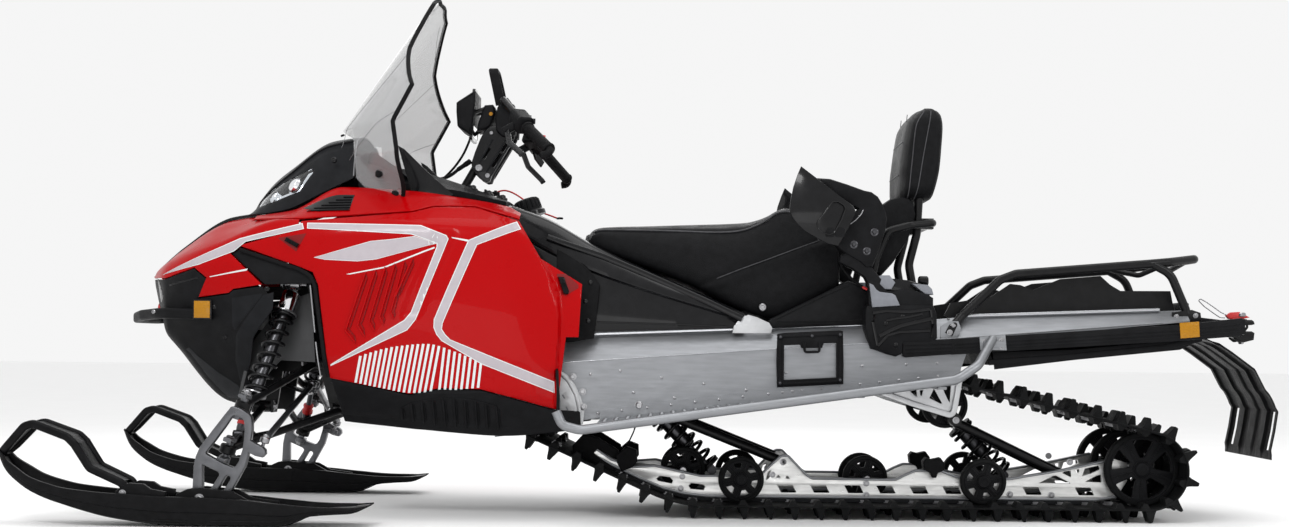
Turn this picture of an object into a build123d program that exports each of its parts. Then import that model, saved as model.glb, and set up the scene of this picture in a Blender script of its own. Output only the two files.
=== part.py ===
from build123d import *
import math
import os

os.makedirs("parts", exist_ok=True)

# Two-seat utility snowmobile.  Millimetres.
# Frame: +X forward, +Y to the rider's left, +Z up, origin on the ground under
# the middle of the machine's bounding box.

# ---------------------------------------------------------------- driving sizes
SKI_Y = 500.0            # half the ski stance
SKI_HALF = 72.0          # half width of a ski
TRACK_HALF = 250.0       # half width of the track
BELT_T = 6.0             # belt thickness
LUG_H = 34.0             # height of the track lugs
LUG_COUNT = 57
TUNNEL_Y = 265.0         # outer face of the tunnel's side plates
SHEET = 4.0              # sheet and panel thickness
BOARD_Y = 430.0          # centre of the running boards' outer tube
RAIL_Y = 125.0           # skid rails
GAP = 3.0                # shut line between body panels
KING_Y = 450.0           # kingpin axis
KING_LEAN = math.radians(18.4)
STEER_LEAN = math.radians(30.0)


def side(y):
    """Sketch plane seen from the right: local x is +X, local y is +Z, normal is -Y."""
    return Plane.XZ.offset(-y)


def across(x):
    """Sketch plane across the machine: local x is +Y, local y is +Z, normal is +X."""
    return Plane.YZ.offset(x)


def ray(p, q):
    """Plane at p with its normal towards q."""
    return Plane(origin=p, z_dir=Vector(*q) - Vector(*p))


def span(p, q):
    return (Vector(*q) - Vector(*p)).length


def flip(points):
    """Close a half outline (y, z) over the middle plane."""
    pts = list(points)
    other = [(-y, z) for y, z in reversed(pts) if abs(y) > 1e-6]
    return pts + other


def save(builder, label):
    builder.part.label = label
    export_step(builder.part, "parts/%s.step" % label)
    print(label, len(builder.part.solids()), round(builder.part.volume / 1000.0, 1), "cm3")


# ---------------------------------------------------------------- body envelope
# One closed envelope holds hood, cowl, side panels, front cover and belly pan.
# Columns: x, top, shoulder y/z, crease y/z, widest y/z, lower y/z, corner y/z, bottom
HULL = (
    (1492, 684, 60, 681, 95, 672, 105, 660, 100, 600, 85, 556, 552),
    (1400, 763, 105, 755, 205, 705, 238, 662, 225, 560, 170, 425, 408),
    (1250, 850, 130, 842, 285, 748, 312, 690, 290, 540, 150, 318, 300),
    (1060, 874, 200, 862, 318, 812, 352, 690, 345, 520, 200, 300, 285),
    (908, 948, 222, 936, 325, 828, 384, 620, 377, 388, 300, 270, 258),
    (690, 930, 228, 922, 325, 850, 396, 620, 382, 347, 305, 248, 240),
    (450, 888, 226, 876, 305, 850, 388, 600, 378, 352, 300, 230, 222),
    (228, 800, 215, 768, 262, 700, 335, 600, 368, 300, 300, 250, 244),
)


def hull_half(row, t):
    """Half outline of one station, set in by the panel thickness t."""
    x, top, ys, zs, yc, zc, yw, zw, yl, zl, yo, zo, bot = row
    return ((0, top - t), (ys - 0.3 * t, zs - t), (yc - 0.9 * t, zc - 0.6 * t), (yw - t, zw),
            (yl - t, zl + 0.2 * t), (yo - 0.6 * t, zo + 0.8 * t), (0, bot + t))


with BuildPart() as envelope:
    for row in HULL:
        with BuildSketch(across(row[0])):
            with BuildLine():
                Polyline(*flip(hull_half(row, 0)), close=True)
            make_face()
    loft(ruled=True)

with BuildPart() as body_shell:
    add(envelope.part)
    for i, row in enumerate(HULL):
        x = row[0] + (-6 if i == 0 else -10 if i == len(HULL) - 1 else 0)
        with BuildSketch(across(x)):
            with BuildLine():
                Polyline(*flip(hull_half(row, SHEET if i else SHEET + 3)), close=True)
            make_face()
    loft(ruled=True, mode=Mode.SUBTRACT)

# Outlines of the panels in side view (x, z)
HOOD_EDGE = ((1520, 900), (1168, 900), (1168, 826), (1009, 820), (1009, 801), (1174, 757), (1206, 735),
             (1106, 642), (1189, 630), (1203, 619), (1294, 607), (1268, 661), (1306, 690), (1403, 661), (1520, 668))
COWL_EDGE = ((1164, 829), (1164, 856), (1060, 866), (908, 940), (690, 926), (450, 880), (403, 850), (403, 829),
             (530, 867), (640, 865), (697, 848), (1007, 824))
PANEL_EDGE = ((1174, 750), (1004, 795), (1002, 818), (697, 845), (640, 862), (530, 864), (403, 825), (340, 720),
              (229, 653), (236, 506), (270, 506), (292, 307), (500, 362), (608, 364), (690, 347), (908, 388),
              (943, 641), (959, 676), (992, 689))
FRONT_EDGE = ((1520, 664), (1403, 657), (1306, 686), (1270, 657), (1296, 603), (1203, 615), (1189, 626),
              (1106, 637), (1078, 600), (1156, 475), (1176, 400), (1200, 330), (1228, 250), (1520, 250))
CHEEK_EDGE = ((1194, 727), (1171, 742), (996, 683), (964, 670), (952, 646), (1097, 642))
# Inner edge of the cowl in plan, columns: x, half width
COWL_PLAN = ((1180, 146), (1060, 197), (908, 219), (690, 225), (450, 222), (390, 220))
BELLY_EDGE = ((905, 384), (868, 200), (200, 200), (200, 302), (292, 303), (500, 358), (608, 360), (690, 343))

with BuildPart() as hood:
    add(body_shell.part)
    with BuildSketch(side(0)):
        with BuildLine():
            Polyline(*HOOD_EDGE, close=True)
        make_face()
    extrude(amount=450, both=True, mode=Mode.INTERSECT)
save(hood, "hood")

with BuildPart() as upper_cowl:
    add(body_shell.part)
    with BuildSketch(side(0)):
        with BuildLine():
            Polyline(*COWL_EDGE, close=True)
        make_face()
    extrude(amount=450, both=True, mode=Mode.INTERSECT)
    with BuildSketch(Plane.XY.offset(700)):
        with BuildLine():
            Polyline(*(COWL_PLAN + tuple((x, -y) for x, y in reversed(COWL_PLAN))), close=True)
        make_face()
    extrude(amount=400, mode=Mode.SUBTRACT)
save(upper_cowl, "upper_cowl")

with BuildPart() as side_panel_left:
    add(body_shell.part)
    with BuildSketch(side(450)):
        with BuildLine():
            Polyline(*PANEL_EDGE, close=True)
        make_face()
    extrude(amount=400, mode=Mode.INTERSECT)
save(side_panel_left, "side_panel_left")

with BuildPart() as side_panel_right:
    mirror(side_panel_left.part, about=Plane.XZ, mode=Mode.ADD)
save(side_panel_right, "side_panel_right")

with BuildPart() as front_cover:
    add(body_shell.part)
    with BuildSketch(side(0)):
        with BuildLine():
            Polyline(*FRONT_EDGE, close=True)
        make_face()
    extrude(amount=450, both=True, mode=Mode.INTERSECT)
save(front_cover, "front_cover")

with BuildPart() as wheel_well_covers:
    add(body_shell.part)
    with BuildSketch(side(0)):
        with BuildLine():
            Polyline(*CHEEK_EDGE, close=True)
        make_face()
    extrude(amount=450, both=True, mode=Mode.INTERSECT)
save(wheel_well_covers, "wheel_well_covers")

with BuildPart() as belly_pan:
    add(body_shell.part)
    with BuildSketch(side(0)):
        with BuildLine():
            Polyline(*BELLY_EDGE, close=True)
        make_face()
    extrude(amount=450, both=True, mode=Mode.INTERSECT)
    # the track runs through the open rear half
    with BuildSketch(Plane.XY.offset(150)):
        with Locations((350, 0)):
            Rectangle(300, 2 * TUNNEL_Y + 12)
    extrude(amount=300, mode=Mode.SUBTRACT)
save(belly_pan, "belly_pan")

# ---------------------------------------------------------------- visor, lamps, dash, screen
# Columns: x, top z, shoulder y/z, base y/z, middle z of the base
VISOR = (
    (1202, 864, 40, 862, 120, 857, 858),
    (1163, 939, 90, 926, 160, 856, 863),
    (1081, 1022, 120, 1004, 190, 866, 876),
    (963, 1091, 150, 1074, 210, 915, 926),
    (880, 1086, 172, 1062, 218, 953, 962),
)


def visor_half(row, t):
    x, top, ys, zs, yb, zb, zm = row
    return ((0, top - t), (ys - 0.5 * t, zs - t), (yb - t, zb + 0.2 * t), (0, zm if t == 0 else zm - 30))


LAMP_EDGE = ((1168, 872), (1126, 925), (1047, 971), (1004, 983), (1018, 949), (1040, 914), (1117, 890))

with BuildPart() as visor_shell:
    for row in VISOR:
        with BuildSketch(across(row[0])):
            with BuildLine():
                Polyline(*flip(visor_half(row, 0)), close=True)
            make_face()
    loft(ruled=True)
    for i, row in enumerate(VISOR[1:]):
        x = row[0] - (4 if i == 0 else 10 if i == 3 else 0)
        with BuildSketch(across(x)):
            with BuildLine():
                Polyline(*flip(visor_half(row, 5 if i else 8)), close=True)
            make_face()
    loft(ruled=True, mode=Mode.SUBTRACT)

with BuildPart() as visor:
    add(visor_shell.part)
    for y in (235, -75):
        with BuildSketch(side(y)):
            with BuildLine():
                Polyline(*LAMP_EDGE, close=True)
            make_face()
        extrude(amount=160, mode=Mode.SUBTRACT)
save(visor, "visor")

with BuildPart() as headlights:
    add(visor_shell.part)
    with BuildSketch(side(233)):
        with BuildLine():
            Polyline(*LAMP_EDGE, close=True)
        make_face()
        offset(amount=-1.0)
    extrude(amount=156, mode=Mode.INTERSECT)
    mirror(about=Plane.XZ)
save(headlights, "headlights")

# steering axis
STEER_O = (590.0, 0.0, 955.0)
STEER_D = (-math.sin(STEER_LEAN), 0.0, math.cos(STEER_LEAN))


def on_post(s):
    return (STEER_O[0] + s * STEER_D[0], 0.0, STEER_O[2] + s * STEER_D[2])


# Columns: x, middle z, crown y/z, edge y/z, underside z
DASH = (
    (868, 1006, 110, 1002, 212, 950, 925),
    (697, 982, 120, 978, 216, 932, 905),
    (579, 944, 125, 940, 216, 915, 888),
    (450, 897, 125, 894, 214, 886, 862),
)
with BuildPart() as dash_console:
    for x, zc, yk, zk, ye, ze, zu in DASH:
        with BuildSketch(across(x)):
            with BuildLine():
                Polyline(*flip(((0, zc), (yk, zk), (ye, ze), (ye - 6, zu), (0, zu))), close=True)
            make_face()
    loft(ruled=True)
    with BuildSketch(ray(on_post(-110), on_post(0))):
        Circle(30)
    extrude(amount=220, mode=Mode.SUBTRACT)
save(dash_console, "dash_console")

# Screen: level outlines, each a thin bent strip.
# Columns: z, then x of the front face at y = 0, 100, 200, 270, 340, 400
SCREEN_Y = (0, 100, 200, 270, 340, 400)
SCREEN = (
    (885, 1090, 1012, 884, 720, 640, 600),
    (1013, 1003, 975, 900, 846, 772, 700),
    (1091, 949, 937, 899, 850, 786, 712),
    (1190, 880, 868, 830, 786, 730, 668),
    (1313, 795, 783, 745, 704, 646, 586),
    (1495, 668, 656, 618, 576, 520, 460),
)
SCREEN_FRONT = ((0, 1489), (60, 1484), (134, 1456), (240, 1313), (375, 1190), (370, 1013), (268, 893),
                (200, 893), (0, 893))
SCREEN_SIDE = ((960, 1100), (915, 1082), (880, 1069), (868, 1055), (858, 950), (821, 895), (704, 890), (560, 885),
               (400, 1300), (560, 1600), (800, 1600))

with BuildPart() as windshield:
    for row in SCREEN:
        outer = [(x, y) for x, y in zip(row[1:], SCREEN_Y)]
        inner = [(x - 4.5, y) for x, y in outer]
        ring = outer + inner[::-1]
        right = [(x, -y) for x, y in inner[1:]] + [(x, -y) for x, y in reversed(outer[1:])]
        with BuildSketch(Plane.XY.offset(row[0])):
            with BuildLine():
                Polyline(*(ring + right), close=True)
            make_face()
    loft(ruled=True)
    with BuildSketch(across(400)):
        with BuildLine():
            Polyline(*flip(SCREEN_FRONT), close=True)
        make_face()
    extrude(amount=800, mode=Mode.INTERSECT)
    with BuildSketch(side(0)):
        with BuildLine():
            Polyline(*SCREEN_SIDE, close=True)
        make_face()
    extrude(amount=420, both=True, mode=Mode.INTERSECT)
    add(envelope.part, mode=Mode.SUBTRACT)
    for row in VISOR:
        with BuildSketch(across(row[0])):
            with BuildLine():
                Polyline(*flip(visor_half(row, -1)[:3] + ((0, row[6]),)), close=True)
            make_face()
    loft(ruled=True, mode=Mode.SUBTRACT)
    add(dash_console.part, mode=Mode.SUBTRACT)
save(windshield, "windshield")

# ---------------------------------------------------------------- chassis
# Tunnel, columns: x, lower edge z, bend z, top z
TUNNEL = (
    (470, 250, 430, 500),
    (290, 261, 436, 510),
    (-99, 321, 465, 527),
    (-559, 374, 498, 548),
    (-819, 398, 515, 572),
    (-1464, 540, 570, 599),
)
DECK_IN = 45.0           # how far the top plate's edge stands inside the side plates
TUNNEL_SIDE = ((470, 600), (470, 225), (290, 261), (178, 284), (-101, 321), (-379, 354), (-658, 385), (-819, 406),
               (-842, 470), (-865, 506), (-1464, 566), (-1464, 640), (290, 620))

with BuildPart() as tunnel:
    for x, zl, zb, zt in TUNNEL:
        with BuildSketch(across(x)):
            with BuildLine():
                Polyline(*flip(((0, zt), (TUNNEL_Y - DECK_IN, zt), (TUNNEL_Y, zb), (TUNNEL_Y, 200), (0, 200))),
                         close=True)
            make_face()
    loft(ruled=True)
    for i, (x, zl, zb, zt) in enumerate(TUNNEL):
        xx = x - (SHEET if i == 0 else 0) - (10 if i == len(TUNNEL) - 1 else 0)
        with BuildSketch(across(xx)):
            with BuildLine():
                Polyline(*flip(((0, zt - SHEET), (TUNNEL_Y - DECK_IN - 2, zt - SHEET), (TUNNEL_Y - SHEET, zb - 1.5),
                                (TUNNEL_Y - SHEET, 190), (0, 190))), close=True)
            make_face()
    loft(ruled=True, mode=Mode.SUBTRACT)
    with BuildSketch(side(0)):
        with BuildLine():
            Polyline(*TUNNEL_SIDE, close=True)
        make_face()
    extrude(amount=300, both=True, mode=Mode.INTERSECT)
save(tunnel, "tunnel")

# Running boards: plate between the tunnel's foot and the outer tube
BOARD = ((178, 277), (-101, 312), (-379, 346), (-658, 378), (-790, 392))
TUBE_LINE = ((289, 430, 306), (272, 430, 268), (225, 430, 256), (-787, 430, 401), (-850, 398, 440),
             (-908, 300, 512))

with BuildPart() as running_board_left:
    with BuildSketch(side(BOARD_Y)):
        with BuildLine():
            Polyline(*(BOARD + tuple((x, z - 5) for x, z in reversed(BOARD))), close=True)
        make_face()
    extrude(amount=BOARD_Y - TUNNEL_Y - 0.2)
    with BuildLine() as tube_path:
        FilletPolyline(*TUBE_LINE, radius=(30, 60, 60, 50))
    with BuildSketch(ray(TUBE_LINE[0], TUBE_LINE[1])):
        Circle(13)
    sweep(path=tube_path.line)
    # upright flange on the tunnel's side
    with BuildSketch(side(TUNNEL_Y + 4)):
        with BuildLine():
            Polyline(*(tuple((x, z + 28) for x, z in BOARD) + tuple((x, z - 5) for x, z in reversed(BOARD))), close=True)
        make_face()
    extrude(amount=3.7)
    # end plug where the tube meets the tail rail
    with BuildSketch(Plane.XY.offset(490)):
        with Locations((-912, 296)):
            Rectangle(60, 20)
    extrude(amount=16)
save(running_board_left, "running_board_left")

with BuildPart() as running_board_right:
    mirror(running_board_left.part, about=Plane.XZ, mode=Mode.ADD)
save(running_board_right, "running_board_right")

# Front frame: box between the suspension arms, with legs, and two beams back to the tunnel
with BuildPart() as front_frame:
    with BuildSketch(side(108)):
        with BuildLine():
            Polyline((1200, 640), (980, 650), (945, 560), (900, 420), (893, 275), (957, 275), (990, 400), (1100, 400),
                     (1118, 283), (1184, 283), (1214, 412), (1214, 450), (1200, 480), close=True)
        make_face()
        with BuildLine():
            Polyline((1190, 610), (1030, 615), (1000, 510), (1180, 510), close=True)
        make_face(mode=Mode.SUBTRACT)
    extrude(amount=216)
    # hollow middle, open for the steering linkage
    with BuildSketch(side(96)):
        with BuildLine():
            Polyline((1300, 700), (900, 700), (900, 200), (1300, 200), close=True)
        make_face()
    extrude(amount=192, mode=Mode.SUBTRACT)
    # cross plates
    for x, z0, z1 in ((1190, 520, 636), (985, 560, 646), (945, 330, 540)):
        with BuildSketch(across(x)):
            with Locations((0, (z0 + z1) / 2)):
                Rectangle(200, z1 - z0)
        extrude(amount=6)
    for y in (150, -150):
        with BuildSketch(across(471)):
            with Locations((y, 350)):
                Rectangle(30, 40)
        extrude(amount=480)
    with BuildSketch(across(945)):
        with Locations((0, 350)):
            Rectangle(330, 40)
    extrude(amount=6)
    # shock towers
    for y in (1, -1):
        with BuildSketch(across(1000)):
            with BuildLine():
                Polyline((y * 100, 640), (y * 100, 560), (y * 215, 640), (y * 215, 668), (y * 190, 668), close=True)
            make_face()
        extrude(amount=8)
        with BuildSketch(across(1062)):
            with BuildLine():
                Polyline((y * 100, 640), (y * 100, 560), (y * 215, 640), (y * 215, 668), (y * 190, 668), close=True)
            make_face()
        extrude(amount=8)
        with BuildSketch(across(1000)):
            with BuildLine():
                Polyline((y * 104, 647), (y * 186, 675), (y * 215, 675), (y * 215, 668), (y * 190, 668), (y * 104, 641),
                         close=True)
            make_face()
        extrude(amount=70)
save(front_frame, "front_frame")

with BuildPart() as engine_block:
    with BuildSketch(Plane.XY.offset(375)):
        with Locations((680, 0)):
            Rectangle(360, 380)
    extrude(amount=290)
save(engine_block, "engine_block")

# ---------------------------------------------------------------- front suspension and steering
KING_D = Vector(-math.sin(KING_LEAN), 0, math.cos(KING_LEAN))
KING_LOW = Vector(1164, KING_Y, 197)
KING_TOP = Vector(1125, KING_Y, 314)
ARM_BACK = Vector(-math.cos(KING_LEAN), 0, -math.sin(KING_LEAN)) * 90 + Vector(0, 22, 0)
BALL_OUT = KING_LOW + KING_D * 58 + ARM_BACK        # outer end of the left tie rod
BALL_IN = Vector(1034, 22, 362)                     # inner end of the left tie rod
PITMAN_O = BALL_IN - ARM_BACK                       # pitman axis
print("kingpin", KING_LOW, KING_TOP, "ball out", BALL_OUT, "ball in", BALL_IN, "pitman", PITMAN_O)

# Arms, columns: outer ball, front inner pivot, rear inner pivot
ARMS = (
    ((1164, KING_Y, 197), (1150, 128, 300), (925, 128, 292)),
    ((1125, KING_Y, 314), (1180, 128, 430), (1003, 128, 425)),
)
with BuildPart() as a_arms_left:
    for ball, front, rear in ARMS:
        b = Vector(*ball)
        for inner in (front, rear):
            p = Vector(*inner)
            start = b + (p - b).normalized() * 16
            with BuildSketch(ray(tuple(start), inner)):
                Circle(10.5)
            extrude(amount=(p - start).length)
            with BuildSketch(across(inner[0] - 22)):
                with Locations((inner[1], inner[2])):
                    Circle(15)
            extrude(amount=44)
        # ball housing round the kingpin
        with BuildSketch(Plane(origin=b - KING_D * 11, z_dir=KING_D)):
            Circle(20)
        extrude(amount=22)
        with BuildSketch(Plane(origin=b - KING_D * 12, z_dir=KING_D)):
            Circle(10.5)
        extrude(amount=24, mode=Mode.SUBTRACT)
    # cross tube and clevis for the shock's lower eye on the lower arm
    with BuildSketch(across(1131)):
        with Locations((405, 211)):
            Circle(8)
    extrude(amount=31)
    for x in (1130, 1157):
        with BuildSketch(across(x)):
            with BuildLine():
                Polyline((394, 206), (416, 206), (416, 238), (405, 246), (394, 238), close=True)
            make_face()
        extrude(amount=5)
save(a_arms_left, "a_arms_left")

with BuildPart() as a_arms_right:
    mirror(a_arms_left.part, about=Plane.XZ, mode=Mode.ADD)
save(a_arms_right, "a_arms_right")

# Pivot brackets of the arms on the front frame
with BuildPart() as arm_brackets:
    for ball, front, rear in ARMS:
        for px, py, pz in (front, rear):
            for s in (1, -1):
                for dx in (-31, 24):
                    with BuildSketch(across(px + dx)):
                        with Locations((s * (py - 4), pz)):
                            Rectangle(32, 34)
                    extrude(amount=7)
                with BuildSketch(across(px - 31)):
                    with Locations((s * 109.6, pz)):
                        Rectangle(3, 34)
                extrude(amount=62)
save(arm_brackets, "arm_brackets")

# Front shocks, columns: lower eye, upper eye (left side)
SHOCK_LOW = Vector(1146, 405, 235)
SHOCK_TOP = Vector(1036, 236, 646)
with BuildPart() as front_shocks:
    d = (SHOCK_TOP - SHOCK_LOW).normalized()
    for c, r, s0, s1 in (((0), 7, 0, 260), ((0), 31, 185, 362), ((0), 22, 362, 458)):
        with BuildSketch(Plane(origin=SHOCK_LOW + d * s0, z_dir=d)):
            Circle(r)
        extrude(amount=s1 - s0)
    with BuildSketch(across(SHOCK_LOW.X - 11)):
        with Locations((SHOCK_LOW.Y, SHOCK_LOW.Z)):
            Circle(11)
            Circle(4, mode=Mode.SUBTRACT)
    extrude(amount=22)
    with BuildSketch(across(SHOCK_TOP.X - 13)):
        with Locations((SHOCK_TOP.Y, SHOCK_TOP.Z)):
            Circle(14)
            Circle(5, mode=Mode.SUBTRACT)
    extrude(amount=26)
    add(front_frame.part, mode=Mode.SUBTRACT)
    add(a_arms_left.part, mode=Mode.SUBTRACT)
    mirror(about=Plane.XZ)
save(front_shocks, "front_shocks")

# Pitman arm under the front frame: plate that drags both tie rods
with BuildPart() as pitman_arm:
    with BuildSketch(Plane(origin=PITMAN_O.project_to_plane(Plane.XZ) - KING_D * 34, z_dir=KING_D, x_dir=(0, 1, 0))):
        with Locations((0, 0)):
            Circle(17)
        with BuildLine():
            Polyline((-15, 0), (15, 0), (34, 90), (-34, 90), close=True)
        make_face()
    extrude(amount=8)
    with BuildSketch(Plane(origin=PITMAN_O.project_to_plane(Plane.XZ) - KING_D * 30, z_dir=KING_D)):
        Circle(12)
    extrude(amount=150)
    for y in (22, -22):
        with BuildSketch(Plane(origin=Vector(BALL_IN.X, y, BALL_IN.Z) - KING_D * 27, z_dir=KING_D)):
            Circle(5)
        extrude(amount=37)
save(pitman_arm, "pitman_arm")

# Spindle outline in side view, outside then windows
SPINDLE = ((1148, 322), (1104, 303), (1097, 224), (1108, 165), (1190, 58), (1240, 58), (1236, 175), (1216, 200),
           (1176, 300))
SPINDLE_HOLES = (((1140, 292), (1121, 284), (1115, 230), (1150, 222), (1168, 240)),
                 ((1122, 205), (1128, 168), (1186, 96), (1196, 100), (1170, 160), (1148, 206)),
                 ((1176, 218), (1180, 176), (1210, 108), (1222, 108), (1219, 168), (1200, 200)))
with BuildPart() as spindle_left:
    with BuildSketch(side(SKI_Y + 17)):
        with BuildLine():
            Polyline(*SPINDLE, close=True)
        make_face()
        for hole in SPINDLE_HOLES:
            with BuildLine():
                Polyline(*hole, close=True)
            make_face(mode=Mode.SUBTRACT)
        with Locations((1215, 72)):
            Circle(6.1, mode=Mode.SUBTRACT)
    extrude(amount=34)
    # bosses and studs on the kingpin axis
    for p, a0, a1 in ((KING_LOW, -36, -20), (KING_LOW, 22, 36), (KING_TOP, -36, -20), (KING_TOP, 22, 34)):
        with BuildSketch(Plane(origin=p + KING_D * a0, z_dir=KING_D)):
            Circle(15)
        extrude(amount=a1 - a0)
        with BuildSketch(Plane(origin=p + KING_D * (a0 + a1) * 0.5 + Vector(0, 0, 0), z_dir=(0, 1, 0),
                               x_dir=KING_D)):
            Rectangle(a1 - a0, 20)
        extrude(amount=SKI_Y - 16.5 - KING_Y)
    for p in (KING_LOW, KING_TOP):
        with BuildSketch(Plane(origin=p - KING_D * 22, z_dir=KING_D)):
            Circle(10)
        extrude(amount=46)
    # steering arm: from the casting inwards to the outer ball
    with BuildSketch(Plane(origin=BALL_OUT - KING_D * 34, z_dir=KING_D, x_dir=(0, 1, 0))):
        Circle(13)
        with BuildLine():
            Polyline((-12, -3), (4, 11), (34, -10), (34, -62), (14, -62), (14, -30), close=True)
        make_face()
    extrude(amount=12)
    with BuildSketch(Plane(origin=BALL_OUT - KING_D * 24, z_dir=KING_D)):
        Circle(5)
    extrude(amount=34)
save(spindle_left, "spindle_left")

with BuildPart() as spindle_right:
    mirror(spindle_left.part, about=Plane.XZ, mode=Mode.ADD)
save(spindle_right, "spindle_right")

with BuildPart() as tie_rod_left:
    d = (BALL_IN - BALL_OUT).normalized()
    L = (BALL_IN - BALL_OUT).length
    with BuildSketch(Plane(origin=BALL_OUT + d * 12, z_dir=d)):
        Circle(8)
    extrude(amount=L - 24)
    for p in (BALL_OUT, BALL_IN):
        with BuildSketch(Plane(origin=p - KING_D * 8, z_dir=KING_D)):
            Circle(13)
        extrude(amount=16)
    for p in (BALL_OUT, BALL_IN):
        with BuildSketch(Plane(origin=p - KING_D * 9, z_dir=KING_D)):
            Circle(5.6)
        extrude(amount=18, mode=Mode.SUBTRACT)
save(tie_rod_left, "tie_rod_left")

with BuildPart() as tie_rod_right:
    mirror(tie_rod_left.part, about=Plane.XZ, mode=Mode.ADD)
save(tie_rod_right, "tie_rod_right")

# Skis, side view
SKI_SIDE = ((1751, 195), (1726, 140), (1660, 87), (1567, 52), (1487, 26), (1381, 8), (1300, 0), (985, 0), (930, 16),
            (813, 33), (771, 54), (790, 60), (906, 56), (985, 62), (1104, 66), (1300, 68), (1414, 80), (1514, 94),
            (1620, 119), (1690, 161), (1722, 196))
SKI_PLAN = ((1752, 30), (1690, 52), (1560, SKI_HALF), (800, SKI_HALF), (770, 50))
LOOP = ((1398, 38, 86), (1430, 40, 128), (1507, 44, 178), (1547, 46, 229), (1654, 40, 272), (1716, 30, 214),
        (1738, 22, 172))
with BuildPart() as ski_left:
    with BuildSketch(side(SKI_Y + SKI_HALF)):
        with BuildLine():
            Polyline(*SKI_SIDE, close=True)
        make_face()
    extrude(amount=2 * SKI_HALF)
    # hollow the top between the side rims
    with BuildSketch(side(SKI_Y + SKI_HALF - 22)):
        with BuildLine():
            Polyline((1640, 200), (1640, 104), (1567, 70), (1487, 44), (1381, 28), (1300, 20), (985, 20), (930, 34),
                     (820, 46), (820, 200), close=True)
        make_face()
    extrude(amount=2 * SKI_HALF - 44, mode=Mode.SUBTRACT)
    with BuildSketch(Plane.XY.offset(-5)):
        with BuildLine():
            Polyline(*([(x, SKI_Y + w) for x, w in SKI_PLAN] + [(x, SKI_Y - w) for x, w in reversed(SKI_PLAN)]),
                     close=True)
        make_face()
    extrude(amount=260, mode=Mode.INTERSECT)
    # saddle plates with the pivot bolt
    for y in (SKI_Y + 32, SKI_Y - 23):
        with BuildSketch(side(y)):
            with BuildLine():
                Polyline((1330, 12), (1320, 60), (1250, 92), (1170, 92), (1080, 60), (1070, 12), close=True)
            make_face()
        extrude(amount=9)
    with BuildSketch(side(SKI_Y + 40)):
        with Locations((1215, 72)):
            Circle(5.5)
    extrude(amount=80)
    # handle loop over the tip
    loop_pts = [(x, SKI_Y + w, z) for x, w, z in LOOP] + [(x, SKI_Y - w, z) for x, w, z in reversed(LOOP)]
    with BuildLine() as loop_path:
        FilletPolyline(*loop_pts, radius=(20, 25, 20, 25, 20, 10, 10, 20, 25, 20, 25, 20))
    with BuildSketch(ray(loop_pts[0], loop_pts[1])):
        Circle(9)
    sweep(path=loop_path.line)
    for s in (1, -1):
        with BuildSketch(Plane.XY.offset(10)):
            with Locations((1400, SKI_Y + s * 38)):
                Rectangle(34, 22)
        extrude(amount=80)
save(ski_left, "ski_left")

with BuildPart() as ski_right:
    mirror(ski_left.part, about=Plane.XZ, mode=Mode.ADD)
save(ski_right, "ski_right")

# ---------------------------------------------------------------- handlebar, turns on the post
with BuildPart() as handlebar:
    with BuildSketch(ray(on_post(-100), on_post(0))):
        Circle(13)
    extrude(amount=170)
    # riser
    for y in (44, -26):
        with BuildSketch(side(y)):
            with BuildLine():
                Polyline((574, 1008), (533, 976), (512, 1000), (452, 1165), (470, 1205), (502, 1214), (522, 1190),
                         close=True)
            make_face()
        extrude(amount=18)
    with BuildSketch(side(30)):
        with BuildLine():
            Polyline((566, 1012), (536, 984), (524, 1004), (466, 1168), (478, 1196), (500, 1200), (512, 1184),
                     close=True)
        make_face()
    extrude(amount=60)
    # bar
    bar_pts = ((322, 390, 1018), (398, 250, 1098), (474, 90, 1192), (480, 0, 1196))
    full = bar_pts + tuple((x, -y, z) for x, y, z in reversed(bar_pts[:3]))
    with BuildLine() as bar_path:
        FilletPolyline(*(full[:3] + full[4:]), radius=(60, 40, 40, 60))
    with BuildSketch(ray(full[0], full[1])):
        Circle(11.5)
    sweep(path=bar_path.line)
    for s in (1, -1):
        a = Vector(316, s * 401, 1012)
        b = Vector(392, s * 261, 1092)
        with BuildSketch(Plane(origin=a, z_dir=b - a)):
            Circle(17)
        extrude(amount=(b - a).length)
        # switch and lever blocks
        with BuildSketch(Plane(origin=Vector(398, s * 250, 1098), z_dir=Vector(474, s * 90, 1192) - Vector(398, s * 250, 1098))):
            Rectangle(58, 58)
        extrude(amount=62)
        # levers ahead of the grips
        p = Vector(448, s * 236, 1086)
        q = Vector(396, s * 372, 1006)
        with BuildSketch(Plane(origin=p, z_dir=q - p)):
            Circle(7)
        extrude(amount=(q - p).length)
        with BuildSketch(Plane(origin=p, z_dir=Vector(406, s * 232, 1110) - p)):
            Circle(9)
        extrude(amount=40)
save(handlebar, "handlebar")

with BuildPart() as gauge:
    with BuildSketch(side(82)):
        with BuildLine():
            Polyline((566, 1236), (622, 1202), (622, 1130), (588, 1104), (572, 1150), close=True)
        make_face()
    extrude(amount=164)
    for y in (30, -22):
        with BuildSketch(side(y)):
            with BuildLine():
                Polyline((580, 1168), (516, 1188), (511, 1172), (580, 1142), close=True)
            make_face()
        extrude(amount=8)
    add(handlebar.part, mode=Mode.SUBTRACT)
save(gauge, "gauge")

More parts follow.
